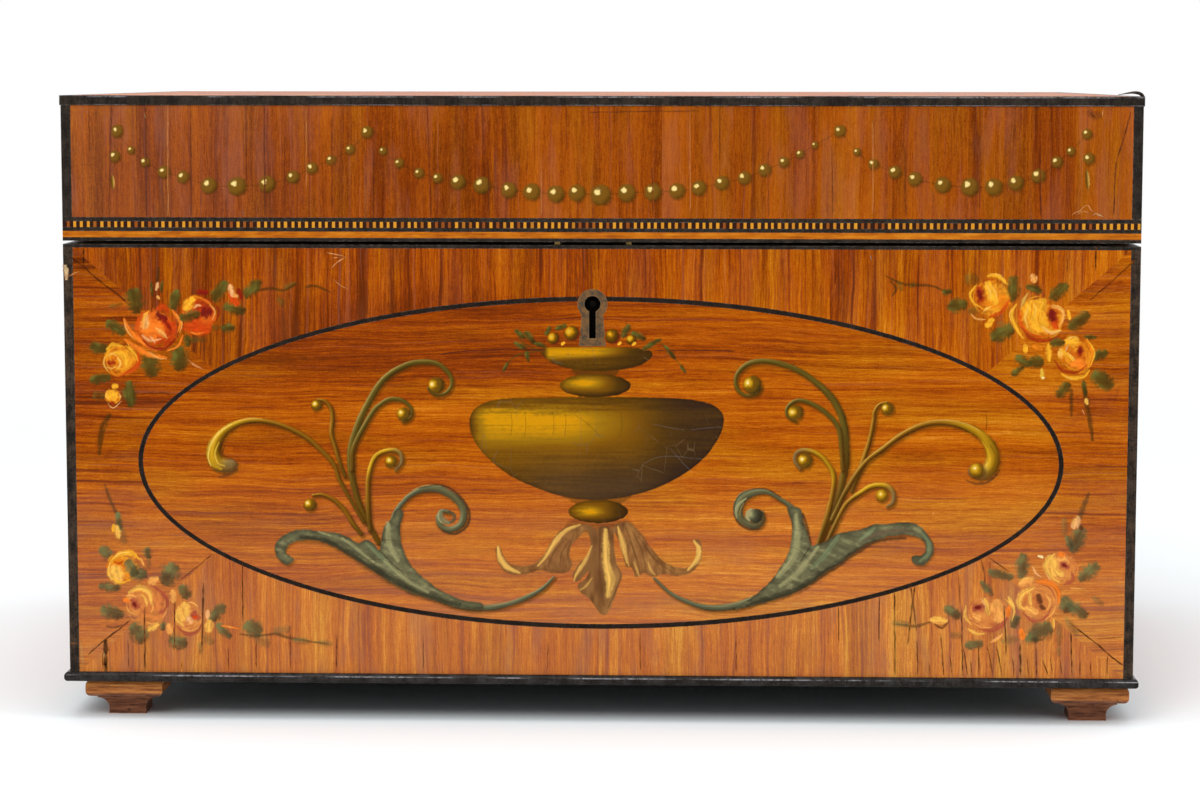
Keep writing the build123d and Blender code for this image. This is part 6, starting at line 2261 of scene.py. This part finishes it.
@dataclass(frozen=True)
class Acanthus:
    """The acanthus leaves under the urn: two fronds that curl out and a leaf between them.

    A vein is its line, its half widths, its pigment and how softly its edges fade.
    """

    low: Pixel = (486.0, 516.0)
    high: Pixel = (714.0, 622.0)
    knot: Line = ((573, 520), (598, 523), (625, 520), (632, 528), (600, 534), (566, 530))
    folds: tuple[Line, ...] = (
        ((625, 545), (626, 556), (629, 566)), ((634, 562), (637, 570), (639, 576)),
        ((648, 562), (651, 570), (655, 575)),
    )
    side: Line = (
        (583, 526), (592, 526), (598, 535), (600, 552), (594, 566), (586, 574), (576, 582), (573, 574),
        (579, 564), (588, 554), (591, 542), (588, 533),
    )
    side_edge: Line = ((592, 546), (586, 560), (577, 574), (574, 581))
    leaf: Line = (
        (598, 528), (606, 526), (613, 530), (614, 548), (617, 564), (622, 575), (618, 586), (614, 600),
        (608, 612), (604, 615), (598, 611), (592, 602), (586, 596), (580, 592), (578, 584), (584, 580),
        (590, 570), (596, 556), (598, 542),
    )
    leaf_edge: Line = ((605.5, 530), (606, 548), (607, 566), (610, 580), (608, 596))
    veins: tuple[Stroke, ...] = (
        (((600, 532), (599.5, 556), (600, 580), (604, 606)), (0.8, 1.6, 1.8, 0.8), P.FROND_DARK, 0.8),
        (((580, 590), (586, 586), (592, 578)), (0.8, 1.6, 0.8), P.FROND_GLINT, 0.7),
        (((617, 566), (621, 575), (617, 588), (608, 608)), (0.8, 1.4, 1.4, 0.8), P.FROND_DARK, 0.8),
    )

    def side_tint(self, u: np.ndarray, v: np.ndarray) -> np.ndarray:
        """Returns the colours of the side leaf."""
        return scale(0.5 + 0.4 * mottle(u * 0.2, v * 0.1, 43), (0.0, P.FROND_DARK), (1.0, P.FROND))

    def leaf_tint(self, u: np.ndarray, v: np.ndarray) -> np.ndarray:
        """Returns the colours of the middle leaf, lighter at its lower right."""
        light = 0.40 * rise(u, 600, 618) * rise(v, 545, 580)
        return frond_tint(0.24 + 0.28 * mottle(u * 0.25, v * 0.08, 44) + light)

    def film(self) -> Film:
        """Paints the leaves and returns their film."""
        film = Film("acanthus_foot", self.low, self.high, seed=33)
        film.fill(self.knot, flat(P.UMBER), cover=0.5, soft=5.0)
        LEFT_FROND.paint(film)
        RIGHT_FROND.paint(film)
        for fold in self.folds:
            film.stroke(fold, (0.8, 1.8, 0.8), flat(P.FROND_GLINT), cover=0.75, soft=0.7)
        film.fill(self.side, self.side_tint, soft=1.6)
        lit = by_light((-0.3, P.FROND), (0.4, P.FROND_GLINT), (0.9, P.STRAW))
        film.stroke(self.side_edge, (0.8, 2.6, 2.8, 1.0), lit, cover=0.85, soft=0.6, bristle=0.3)
        film.fill(self.leaf, self.leaf_tint, soft=1.6)
        lit = by_light((-0.3, P.FROND_GLINT), (0.6, P.STRAW))
        film.stroke(self.leaf_edge, (2.4, 4.6, 4.6, 6.5, 2.6), lit, cover=0.88, soft=0.6, bristle=0.35)
        for line, widths, pigment, soft in self.veins:
            film.stroke(line, widths, flat(pigment), cover=0.7, soft=soft)
        return film


@dataclass(frozen=True)
class Fruit:
    """Berries and small leaves that stand in the dish, round the escutcheon."""

    low: Pixel = (496.0, 322.0)
    high: Pixel = (694.0, 376.0)
    berries: tuple[Bead, ...] = (
        (553.6, 338.5, 6.6), (572.0, 333.5, 8.2), (612.7, 336.5, 8.0), (631.5, 340.0, 5.6),
    )
    leaves: tuple[Dab, ...] = (
        (520.0, 334.0, 6.5, 2.8, 40.0), (530.0, 337.5, 8.0, 3.4, 50.0), (521.0, 346.5, 8.0, 2.8, 30.0),
        (527.5, 356.5, 5.5, 2.4, 80.0), (548.0, 331.0, 5.0, 2.8, -60.0), (561.0, 327.0, 6.0, 3.4, -20.0),
        (626.0, 331.0, 7.5, 4.0, -60.0), (638.6, 336.0, 8.0, 3.6, 25.0), (655.0, 342.0, 7.0, 2.6, -25.0),
        (670.0, 352.5, 8.5, 2.8, 50.0), (683.0, 369.0, 5.0, 2.0, 55.0), (505.5, 367.0, 5.5, 1.8, -60.0),
        (648.0, 347.0, 6.0, 2.8, -30.0), (540.0, 345.0, 6.0, 2.4, 15.0),
    )

    def film(self) -> Film:
        """Paints the fruit and returns its film."""
        film = Film("fruit_and_leaves", self.low, self.high, seed=35)
        for twig in (
            [(546, 350), (533, 348), (521, 341), (516, 331)],
            [(544, 351), (530, 352), (514, 357), (504, 370)],
            [(640, 349), (656, 341), (668, 350), (678, 362), (686, 371)],
        ):
            film.stroke(twig, (0.8, 1.2, 0.6), flat(P.LEAF), cover=0.6, soft=0.7)
        for leaf in self.leaves:
            TOP_LEFT.leaf(film, *leaf, 0.92)
        ripe = by_light(
            (-0.5, P.WINE), (0.0, P.GOLD_DARK), (0.35, P.GOLD_DEEP), (0.62, P.URN_LIGHT),
            (0.95, P.GOLD_GLINT)
        )
        dark = by_light(
            (-0.5, P.WINE), (0.1, P.GOLD_DARK), (0.55, P.GOLD_DEEP), (0.84, P.URN_LIGHT),
            (0.97, P.AMBER_LIGHT)
        )
        for (u, v, radius), tint in zip(self.berries, (ripe, ripe, dark, ripe)):
            film.ball((u, v), radius, tint)
        for centre in ((563.0, 343.5), (619.5, 343.5), (634.0, 344.0)):
            film.blot(centre, (2.8, 1.8), -40.0, flat(P.AMBER_LIGHT), soft=0.6)
        return film


@dataclass(frozen=True)
class Swags:
    """Three swags of beads across the lid, with a drop at each end."""

    low: Pixel = (98.0, 118.0)
    high: Pixel = (1106.0, 206.0)
    knots: tuple[Bead, ...] = (
        (117.0, 131.0, 6.7), (367.0, 132.0, 6.4), (840.0, 131.0, 6.4), (1087.0, 134.0, 5.6),
    )
    swags: tuple[tuple[Bead, ...], ...] = (
        (
            (131, 150, 4.2), (145, 162, 5.2), (164, 172, 6.6), (183, 177, 6.6), (209, 185.5, 8.6),
            (237, 186, 10.0), (267, 184, 8.8), (293, 177, 6.8), (312, 168, 6.2), (331, 160, 5.4),
            (350, 149.5, 5.2),
        ),
        (
            (383, 151, 4.6), (399, 163, 5.2), (419, 173, 5.4), (437.5, 178, 5.4), (458, 182, 8.0),
            (482, 185, 9.0), (509, 190, 8.4), (532, 192, 9.0), (556, 194, 9.2), (577, 193, 9.0),
            (601, 195, 11.0), (627, 193, 9.6), (653, 192, 9.2), (677, 191, 8.4), (699, 188, 8.0),
            (722, 183, 7.6), (744.5, 178, 7.0), (765, 170, 7.0), (784, 162, 5.6), (800, 154, 4.6),
            (815, 145, 3.8),
        ),
        (
            (857, 152, 4.2), (873.5, 164, 5.6), (895, 172, 7.0), (915, 179, 7.6), (943, 185, 8.6),
            (970, 187, 9.6), (994, 187, 9.2), (1016, 183, 8.2), (1038.5, 176, 7.6), (1057, 162, 6.2),
            (1071, 151.4, 4.8),
        ),
    )
    drops: tuple[tuple[Pixel, Pixel, float], ...] = (
        ((114.7, 156.4), (112.5, 182.0), 7.5), ((1089.0, 158.7), (1087.3, 180.0), 11.0),
    )
    drop_bead: float = 6.2

    def drop_tint(self, along: np.ndarray, across: np.ndarray) -> np.ndarray:
        """Returns the colours of a drop, lighter on one side."""
        return scale(0.5 - 0.5 * across, (0.0, P.BEAD_DARK), (0.5, P.BEAD), (1.0, P.STRAW))

    def film(self) -> Film:
        """Paints the swags and returns their film."""
        film = Film("bead_swags", self.low, self.high, seed=37)
        dark = flat(P.BEAD_DARK)
        for number, beads in enumerate(self.swags):
            ends = self.knots[number], self.knots[number + 1]
            thread = [ends[0][:2], *[bead[:2] for bead in beads], ends[1][:2]]
            film.stroke(thread, (0.7, 0.9, 0.7), dark, cover=0.42, soft=0.8, relief=0.0)
        for bead, drop, length in self.drops:
            thread = [(bead[0], bead[1] - 22), bead, drop]
            film.stroke(thread, (0.6, 0.8, 0.6), dark, cover=0.4, soft=0.8)
            film.blot(drop, (length, 2.4), 86.0, self.drop_tint, point=1.4)
        strung = [bead for beads in self.swags for bead in beads]
        hung = [(*bead, self.drop_bead) for bead, _, _ in self.drops]
        for u, v, radius in (*self.knots, *strung, *hung):
            film.ball((u + 0.8, v + 1.0), radius + 0.9, dark, cover=0.4)
            film.ball((u, v), radius, BEAD, cover=0.90)
        return film


# The rows of a mark's ribbon: the share of its half width, its lift and whether it is painted.
RIBBON_ROWS = (
    (-1.6, -PAINT_EDGE, 0), (-0.6, MARK_LIFT, 1), (0, MARK_LIFT, 1), (0.6, MARK_LIFT, 1),
    (1.6, -PAINT_EDGE, 0),
)


@dataclass(frozen=True)
class Marks:
    """Fine marks of age along lines: open joints, cracks, scratches and chips.

    A line is its points, half its width, its colour and how well that covers. An upright is
    a crack that runs down: its place across, its top and foot, its drift and half its width.
    """

    name: str
    body: str
    slot: str
    lines: tuple[tuple[Line, float, Pigment, float], ...] = ()
    uprights: tuple[Upright, ...] = ()
    pigment: Pigment = P.CRACK
    cover: float = 0.85
    columns: int = 44

    def ribbon(self, line: Line, half: float) -> tuple[np.ndarray, np.ndarray]:
        """Lays out the rows of one narrow ribbon.

        Args:
            line: the points that it passes through.
            half: half its width, in pixels.

        Returns:
            The rows of points in metres, and the places of the middle row in pixels.
        """
        smooth = flow(line, 1.0)
        even = np.linspace(0, len(smooth) - 1, self.columns)
        centre = np.column_stack([np.interp(even, np.arange(len(smooth)), smooth[:, k]) for k in (0, 1)])
        run = np.gradient(centre, axis=0)
        run /= np.maximum(np.hypot(*run.T), 1e-9)[:, None]
        side = np.column_stack([run[:, 1], -run[:, 0]])
        taper = np.clip(np.minimum(even, even[-1] - even) / 4, 0.8 if half > 1.4 else 0.3, 1)
        width = half * taper * (1 + 0.35 * mottle(centre[:, 0] * 0.3, centre[:, 1] * 0.3, 71))
        centre = centre + side * (0.35 * mottle(centre[:, 0] * 0.16, centre[:, 1] * 0.16, 72))[:, None]
        rows = []
        for share, lift, _ in RIBBON_ROWS:
            places = Viewpoint().on_front(centre + side * (share * width)[:, None], FRONT_Y)
            level = np.full(self.columns, FRONT_Y - lift)
            rows.append(np.column_stack([places[:, 0], level, places[:, 1]]))
        return np.array([*rows, rows[-1]]), centre

    def lay(self, material: bpy.types.Material) -> bpy.types.Object:
        """Makes all the marks one piece.

        Args:
            material: its finish.

        Returns:
            The piece.
        """
        cracks = []
        for x, top, foot, drift, half in self.uprights:
            line = ((x, top), (x + 0.62 * drift, 0.45 * top + 0.55 * foot), (x + drift, foot))
            cracks.append((line, half, self.pigment, self.cover))
        points, paint = [], []
        for line, half, pigment, cover in (*self.lines, *cracks):
            rows, centre = self.ribbon(line, half)
            points.append(rows)
            worn = 0.85 + 0.4 * mottle(centre[:, 0] * 0.25, centre[:, 1] * 0.25, 73)
            strength = cover * np.clip(worn, 0, 1)
            for shown in (*[row[2] for row in RIBBON_ROWS], 0):
                paint.append(np.column_stack([np.tile(pigment.rgb, (self.columns, 1)), strength * shown]))
        points = np.concatenate(points)
        keep = np.ones(points.shape[:2], bool)
        keep[len(RIBBON_ROWS)::len(RIBBON_ROWS) + 1] = False
        return spread(self.name, points, np.array(paint), keep, self.body, self.slot, material)


FRONT_JOINTS = Marks(
    "front_open_joints", "case", "satinwood_veneer",
    lines=(
        (((70.6, 257), (83.6, 267), (99.4, 281), (115.8, 292.6), (128, 304)), 0.7, P.CRACK, 0.75),
        (((1135, 260), (1112, 281), (1090, 300)), 0.6, P.CRACK, 0.7),
        (((130.6, 619.8), (118, 630), (105, 640), (88, 654.6)), 0.7, P.CRACK, 0.8),
        (((179, 581.3), (192, 571), (204.7, 560.5), (211.6, 554.6)), 0.5, P.SEAM, 0.75),
        (((986.7, 556.2), (996, 562.4), (1004, 567.8), (1009, 571.4)), 0.6, P.CRACK, 0.8),
        (((1123.7, 665.8), (1108.4, 654.2), (1100, 646.6), (1086, 635.4), (1070, 623)), 0.65, P.CRACK,
         0.85),
        (((981, 559.6), (983.4, 570), (985.4, 584.6)), 0.7, P.SEAM, 0.75),
        (((958.5, 575.7), (959.4, 590), (959.7, 604.4)), 0.5, P.SEAM, 0.6),
        (((577, 273), (577.4, 286), (576.8, 300)), 0.5, P.SEAM, 0.6),
        (((105.5, 640), (105.8, 647), (105.7, 654)), 2.4, P.URN_DARK, 0.95),
        (((105.6, 653), (105.8, 659), (105.6, 665)), 2.2, P.URN_DARK, 0.95),
        (((104.2, 652.6), (104.4, 655), (104.2, 658)), 0.9, P.BARE, 0.9),
        (((106, 658.6), (106.2, 661), (105.6, 663.6)), 0.8, P.BARE, 0.8),
        (((105.5, 663.5), (106, 667), (105.8, 671.5)), 1.7, P.CRACK, 0.95),
        (((103, 652), (102.6, 660), (103, 668)), 0.6, P.CRACK, 0.8),
        (((189.9, 361.8), (196, 366), (203.2, 369.5)), 0.7, P.RUBBED, 0.75),
        (((142, 393.5), (160, 393), (176, 394.5)), 0.5, P.CRACK, 0.6),
        (((986, 413.5), (986.5, 422), (986, 431)), 0.5, P.CRACK, 0.6),
        (((439.6, 355), (455, 352), (480, 350.3), (510, 349.5), (546, 350)), 0.5, P.SEAM, 0.85),
        (((655, 350.5), (700, 350.5), (735, 351)), 0.5, P.SEAM, 0.75),
        (((69, 276), (79.4, 271.5)), 0.8, P.RUBBED, 0.7),
        (((1096, 638.5), (1108, 638.2), (1123, 637.2)), 0.6, P.SEAM, 0.5),
    ),
    uprights=(
        (144.4, 607, 671, 0.8, 0.75), (174.8, 601, 650, -0.6, 0.65), (203.6, 583, 648, -1.6, 0.8),
        (242.3, 563, 618.8, 0.5, 0.5), (910.4, 586, 631, 6, 0.7), (940.7, 634, 675, 3, 0.6),
        (961.6, 609, 675, 1, 0.6), (986.7, 645.7, 675, 6, 0.55), (962.8, 645, 675, 4.6, 0.5),
        (978.6, 645, 675, 0.4, 0.5), (1003.9, 606, 655, 2.2, 0.65), (1070.5, 632, 675.5, 1.6, 0.7),
        (1036, 647, 675, 0.8, 0.55), (950, 655, 675, 1.6, 0.4), (970.6, 660, 675, 1, 0.4),
        (1012, 656, 675, 2, 0.45), (1027, 658, 675, 1.4, 0.4), (1050, 656, 675, 2.6, 0.4),
        (1060.6, 659, 675, 1, 0.4), (1090, 662, 675, 1, 0.4), (929, 660, 675, 0.6, 0.4),
        (838.6, 605, 642, 0.2, 0.5), (879.7, 597, 642, -0.7, 0.5), (894.7, 591.5, 675, 0.4, 0.7),
        (914.6, 586, 645, -6.6, 0.8), (181.6, 662, 669, 0, 0.5), (256, 640, 668, 0.5, 0.4),
        (337, 636, 668, -0.4, 0.4), (917, 640, 674, 0.6, 0.5), (996.6, 646, 675.5, 5, 0.5),
        (1019.8, 643, 675.5, 0.8, 0.8), (1042.6, 660, 676, 5.4, 0.6), (1079.8, 661, 675.5, 0, 0.45),
        (1107.8, 655.6, 675.5, -1, 0.55), (83.4, 246.5, 267, 0, 0.8), (1096.2, 246, 271, -0.6, 0.7),
        (1067, 249, 272, 0.4, 0.4), (128, 640, 668, 0.8, 0.35), (228, 648, 669, 0.6, 0.4),
        (290, 626, 668, 0.6, 0.35), (423, 636, 669, 0.3, 0.3), (548, 642, 670, -0.4, 0.35),
        (640, 634, 671, 0.6, 0.3), (736, 640, 672, 0.3, 0.4),
    ),
)
FRONT_SCRATCHES = Marks(
    "front_scratches", "case", "satinwood_veneer",
    lines=(
        (((326.5, 252.8), (336, 254.5), (346, 256.8)), 0.55, P.RUBBED, 0.8),
        (((346, 256.8), (338, 262), (330.5, 268.6)), 0.55, P.RUBBED, 0.8),
        (((331, 258), (340, 257.5)), 0.45, P.RUBBED, 0.7),
        (((334.4, 280.4), (341, 285.6), (348, 288.5)), 0.5, P.RUBBED, 0.75),
        (((870, 255), (871, 258), (871.6, 260)), 1.0, P.DUST, 0.7),
        (((834.6, 272), (835.2, 278), (835, 284)), 0.6, P.CRACK, 0.7),
        (((932.6, 513), (934, 513.6)), 0.8, P.CREAM, 0.8),
        (((64.8, 265), (66.2, 271), (66.6, 280)), 1.7, P.BARE, 0.85),
        (((80.6, 640), (81.6, 652), (82.8, 667)), 0.6, P.MOSS_LIGHT, 0.4),
        (((69.4, 643), (77, 644)), 0.5, P.CRACK, 0.8),
    ),
)
LID_SEAMS = Marks(
    "lid_veneer_joints", "lid", "lid_veneer",
    lines=(
        (((588, 112.3), (615, 112), (640, 111.6), (700, 111)), 0.45, P.SEAM, 0.7),
        (((1130.9, 111.7), (1123, 140), (1117.6, 157.7), (1115.2, 177), (1113.9, 214.7)), 0.6, P.SEAM,
         0.85),
        (((1103.6, 108), (1102.6, 113), (1101.8, 118)), 0.5, P.RUBBED, 0.7),
        (((1088, 111), (1094, 116), (1101, 114)), 3.4, P.UMBER, 0.55),
        (((1090, 112), (1093, 116), (1097, 118.4)), 0.6, P.DUST, 0.35),
        (((1071.5, 216), (1075, 212.6), (1080, 211), (1084, 206.6), (1088, 205.6), (1091, 210),
          (1095, 213.6)), 0.5, P.RUBBED, 0.6),
        (((1076, 215), (1084, 211.4), (1090, 214)), 0.9, P.RUBBED, 0.35),
        (((1092.6, 215.6), (1096, 213.6), (1099, 215), (1103.4, 216.8)), 0.75, P.BARE, 0.85),
        (((242.6, 210.6), (243.2, 213), (243, 215.6)), 1.0, P.SLATE, 0.7),
        (((144.8, 113.4), (145.2, 118)), 0.5, P.CREAM, 0.7),
        (((61, 102.4), (64.6, 102.2), (68, 102.8)), 1.0, P.BARE, 0.8),
        (((85.6, 109.6), (87, 112), (88.4, 114)), 0.8, P.DUST, 0.35),
    ),
    uprights=(
        (89.1, 105.6, 153.6, 0, 0.35), (111.3, 104.6, 216.7, -2.2, 0.65), (145.9, 108, 216, 0.4, 0.5),
        (190.5, 105, 216, 0.6, 0.5), (213.6, 184, 216, 0.3, 0.45), (246, 105, 182, 0.4, 0.5),
        (264.3, 105, 216, 0.6, 0.75), (284.5, 135, 216, 0.4, 0.45), (331.8, 116, 213, 0.5, 0.5),
        (373.8, 150, 216, -0.5, 0.5), (427, 106, 215, 4.0, 0.5), (488, 160, 216, 0.6, 0.4),
        (566, 106, 150, 0.6, 0.4), (652, 166, 217, 0.8, 0.4), (720, 107, 160, -0.6, 0.4),
        (768, 150, 217, 0.4, 0.4), (832, 147, 214, 0.6, 0.5), (905, 147, 216, 0.4, 0.5),
        (980, 108, 210, -0.6, 0.45), (1040, 150, 217, 0.6, 0.5),
    ),
    pigment=P.SEAM, cover=0.62,
)
LID_FIBRES = Marks(
    "lid_light_fibres", "lid", "lid_veneer",
    uprights=(
        (167.7, 105, 216, 0.3, 0.5), (306, 108, 190, 0.4, 0.4), (541, 170, 216, 0.5, 0.4),
        (690, 108, 212, 0.3, 0.4), (873, 120, 214, 0, 0.4),
    ),
    pigment=P.RUBBED, cover=0.42,
)


@dataclass(frozen=True)
class LiftedString:
    """The splinter of the lid's top string that has come away at its right end."""

    line: Line = ((1119, 94.8), (1127, 93.4), (1134, 92.6), (1140, 93.4), (1143.6, 96.4), (1144.2, 100.4))
    halves: tuple[float, ...] = (0.3, 0.6, 1.0, 1.6, 1.8, 1.0)
    depth_mm: float = 2.6
    proud_mm: float = 0.2
    rows: int = 12

    def build(self, material: bpy.types.Material) -> None:
        """Adds the splinter.

        Args:
            material: its finish.
        """
        middle = flow(self.line, 1.2)
        count = len(middle)
        half = np.interp(np.linspace(0, 1, count), np.linspace(0, 1, len(self.halves)), self.halves)
        run = np.gradient(middle, axis=0)
        run /= np.hypot(*run.T)[:, None]
        side = np.column_stack([run[:, 1], -run[:, 0]])
        rings = []
        for turn in np.linspace(0, 2 * math.pi, self.rows):
            spots = middle + side * (half * math.cos(turn))[:, None]
            places = Viewpoint().on_front(spots, FRONT_Y)
            back = (0.5 - 0.5 * math.sin(turn)) * self.depth_mm * MM
            level = np.full(count, FRONT_Y - self.proud_mm * MM + back)
            rings.append(np.column_stack([places[:, 0], level, places[:, 1]]))
        paint = np.ones((self.rows, count, 4))
        keep = np.ones((self.rows, count), bool)
        spread("lid_string_splinter", np.array(rings), paint, keep, "lid", "ebony_string", material)


@dataclass
class Painting:
    """All the painted ornament, film by film, and the marks of age."""

    front: OvalFace
    lid: Staves

    def build(self) -> None:
        """Lays every film on its veneer."""
        oil = OilPaint(self.front).material("oil_on_satinwood")
        cracked = OilPaint(self.front, cracks=0.5).material("cracked_oil")
        lid_oil = OilPaint(self.lid).material("oil_on_lid")
        for work in (
            LEFT_SCROLLS, RIGHT_SCROLLS, Acanthus(), Fruit(), TOP_LEFT, TOP_RIGHT, BOTTOM_LEFT,
            BOTTOM_RIGHT,
        ):
            work.film().lay("case", "satinwood_veneer", oil, FRONT_Y)
        Urn().film().lay("case", "satinwood_veneer", cracked, FRONT_Y)
        Swags().film().lay("lid", "lid_veneer", lid_oil, FRONT_Y)
        worn = OilPaint(self.front, flush=True).material("worn_satinwood")
        lid_worn = OilPaint(self.lid, flush=True).material("worn_lid")
        for marks, material in (
            (FRONT_JOINTS, worn), (FRONT_SCRATCHES, worn), (LID_SEAMS, lid_worn), (LID_FIBRES, lid_worn),
        ):
            marks.lay(material)
        splinter = Ebony(grey=(0.075, 0.048, 0.034))
        LiftedString().build(splinter.material("splintered_ebony"))


@dataclass
class Case:
    """The carcase, its veneers, strings, mouldings, feet and lining."""

    front: OvalFace = OvalFace(
        Side.FRONT, 162.0, 66.15, 80.95, 141.9, 50.85, 41.0, 3.1,
        # The lower part of the front carries a painted reflection of the pale floor.
        lift_up=-0.0024, lift_right=0.0003, haze_and_reflection=(6.0, -50.0),
        shades=(
            (-55.0, 38.0, 75.0, 20.0, -0.20), (60.0, 34.0, 70.0, 20.0, 0.06),
            (-105.0, 0.0, 45.0, 34.0, -0.07), (158.0, 0.0, 24.0, 60.0, -0.14),
            (150.0, 40.0, 30.0, 24.0, 0.08), (-158.0, 0.0, 24.0, 66.0, -0.10),
            (0.0, -64.0, 130.0, 15.0, -0.06),
        ),
    )
    flank: OvalFace = OvalFace(Side.FLANK, 109.5, 66.15, 80.95, 89.4, 50.85, 45.0, 17.3, lift_up=-0.0008)

    def build(self) -> None:
        """Dresses the case."""
        front = self.front.material("satinwood_front")
        flank = self.flank.material("satinwood_flanks")
        dress(["front_oval_panel", "front_crossband_top", "front_crossband_bottom"], front)
        dress(["front_crossband_left", "front_crossband_right"], front)
        for hand in ("left", "right"):
            dress([f"{hand}_oval_panel", f"{hand}_crossbands"], flank)
        dress(["back_veneer"], PlainSheet("X", "Z", 61.0).material("satinwood_back"))
        string = Ebony().material("ebony_strings")
        dress(["left_oval_string", "right_oval_string", "case_rim_string"], string)
        oval = Ebony(grey=(0.026, 0.017, 0.012), specular=0.03)
        dress(["front_oval_string"], oval.material("oval_ebony"))
        worn = Ebony(grey=(0.068, 0.042, 0.026), wear=0.9).material("worn_ebony")
        dress(["case_corner_strings"], worn)
        # The moulding's nose carries a painted highlight line.
        nosing = Ebony(rough=0.26, grey=(0.040, 0.036, 0.034), painted_highlight_lines=((13.95, 0.28, 0.8),))
        mouldings = [f"base_moulding_{side}" for side in ("front", "back", "left", "right")]
        dress(mouldings, nosing.material("ebony_moulding"))
        feet = [f"foot_{row}_{hand}" for row in ("front", "back") for hand in ("left", "right")]
        dress(feet, FootWood().material("worn_foot_wood"))
        long_boards = PlainSheet("X", "Z", 5.0, PINE_GRAIN, WAX, SHADE_TOP_MM)
        dress(["front_board", "back_board", "bottom_board"], long_boards.material("pine_long"))
        short_boards = PlainSheet("Y", "Z", 9.0, PINE_GRAIN, WAX, SHADE_TOP_MM)
        dress(["left_board", "right_board"], short_boards.material("pine_short"))
        dress(["case_wall_lining", "case_floor_lining"], LiningPaper().material("case_lining_paper"))
        LOG.info("case dressed")


@dataclass
class Lid:
    """The lid's boards, staves, bands and lining."""

    front: Staves = Staves(
        "X", 4.0, dull_side=0.35,
        shades=(
            (-110.0, 165.0, 100.0, 40.0, -0.20), (20.0, 180.0, 110.0, 40.0, -0.08),
            (130.0, 175.0, 60.0, 40.0, -0.10),
        ),
    )
    top: OvalFace = OvalFace(Side.TOP, 162.0, 109.5, 0.0, 140.0, 87.5, 45.0, 29.9)

    def build(self) -> None:
        """Dresses the lid."""
        dress(["lid_front_veneer", "lid_back_veneer"], self.front.material("lid_staves"))
        dress(["lid_side_veneers"], Staves("Y", 31.0).material("lid_side_staves"))
        dress(["lid_top_oval_panel", "lid_top_crossbands"], self.top.material("satinwood_top"))
        string = Ebony().material("lid_ebony")
        dress(["lid_top_oval_string", "lid_ebony_strings"], string)
        # The lid's top edge strings carry painted highlight lines.
        worn = Ebony(wear=0.95, painted_highlight_lines=((193.35, 0.35, 0.5), (190.9, 0.2, 0.3)))
        dress(["lid_corner_strings", "lid_top_edge_strings"], worn.material("lid_edge_ebony"))
        dress(["lid_boxwood_string"], Boxwood().material("boxwood"))
        dress(["lid_chequer_band"], Chequer().material("chequer"))
        long_boards = ["lid_front_board", "lid_back_board", "lid_top_board"]
        dress(long_boards, PlainSheet("X", "Z", 15.0, PINE_GRAIN, WAX).material("lid_pine_long"))
        short = PlainSheet("Y", "Z", 19.0, PINE_GRAIN, WAX)
        dress(["lid_left_board", "lid_right_board"], short.material("lid_pine_short"))
        dress(["lid_lining"], LiningPaper().material("lid_lining_paper"))
        LOG.info("lid dressed")


@dataclass
class Hardware:
    """The lock, its link plate, the hinges, the screws and the keyhole's escutcheon."""

    def build(self) -> None:
        """Dresses the metal pieces."""
        dress(["keyhole_escutcheon"], GREY_BRASS.material("grey_brass"))
        dress(["lock_plate", "lock_box", "lock_bolt"], LOCK_BRASS.material("lock_brass"))
        dress(["link_plate"], AGED_BRASS.material("link_brass"))
        leaves = [f"hinge_{hand}_{part}_leaf" for hand in ("left", "right") for part in ("case", "lid")]
        dress(leaves, AGED_BRASS.material("hinge_brass"))
        dress(["hinge_pins", "case_screws", "lid_screws"], STEEL.material("dull_steel"))
        dress(["lock_pins"], LOCK_BRASS.material("lock_pin_metal"))
        LOG.info("hardware dressed")


def main() -> None:
    """Builds every sub-assembly in order and reports each piece."""
    logging.basicConfig(level=logging.INFO, format="%(message)s")
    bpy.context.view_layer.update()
    Studio().build()
    case, lid = Case(), Lid()
    case.build()
    lid.build()
    Hardware().build()
    Painting(case.front, lid.front).build()


if __name__ == "__main__":
    main()
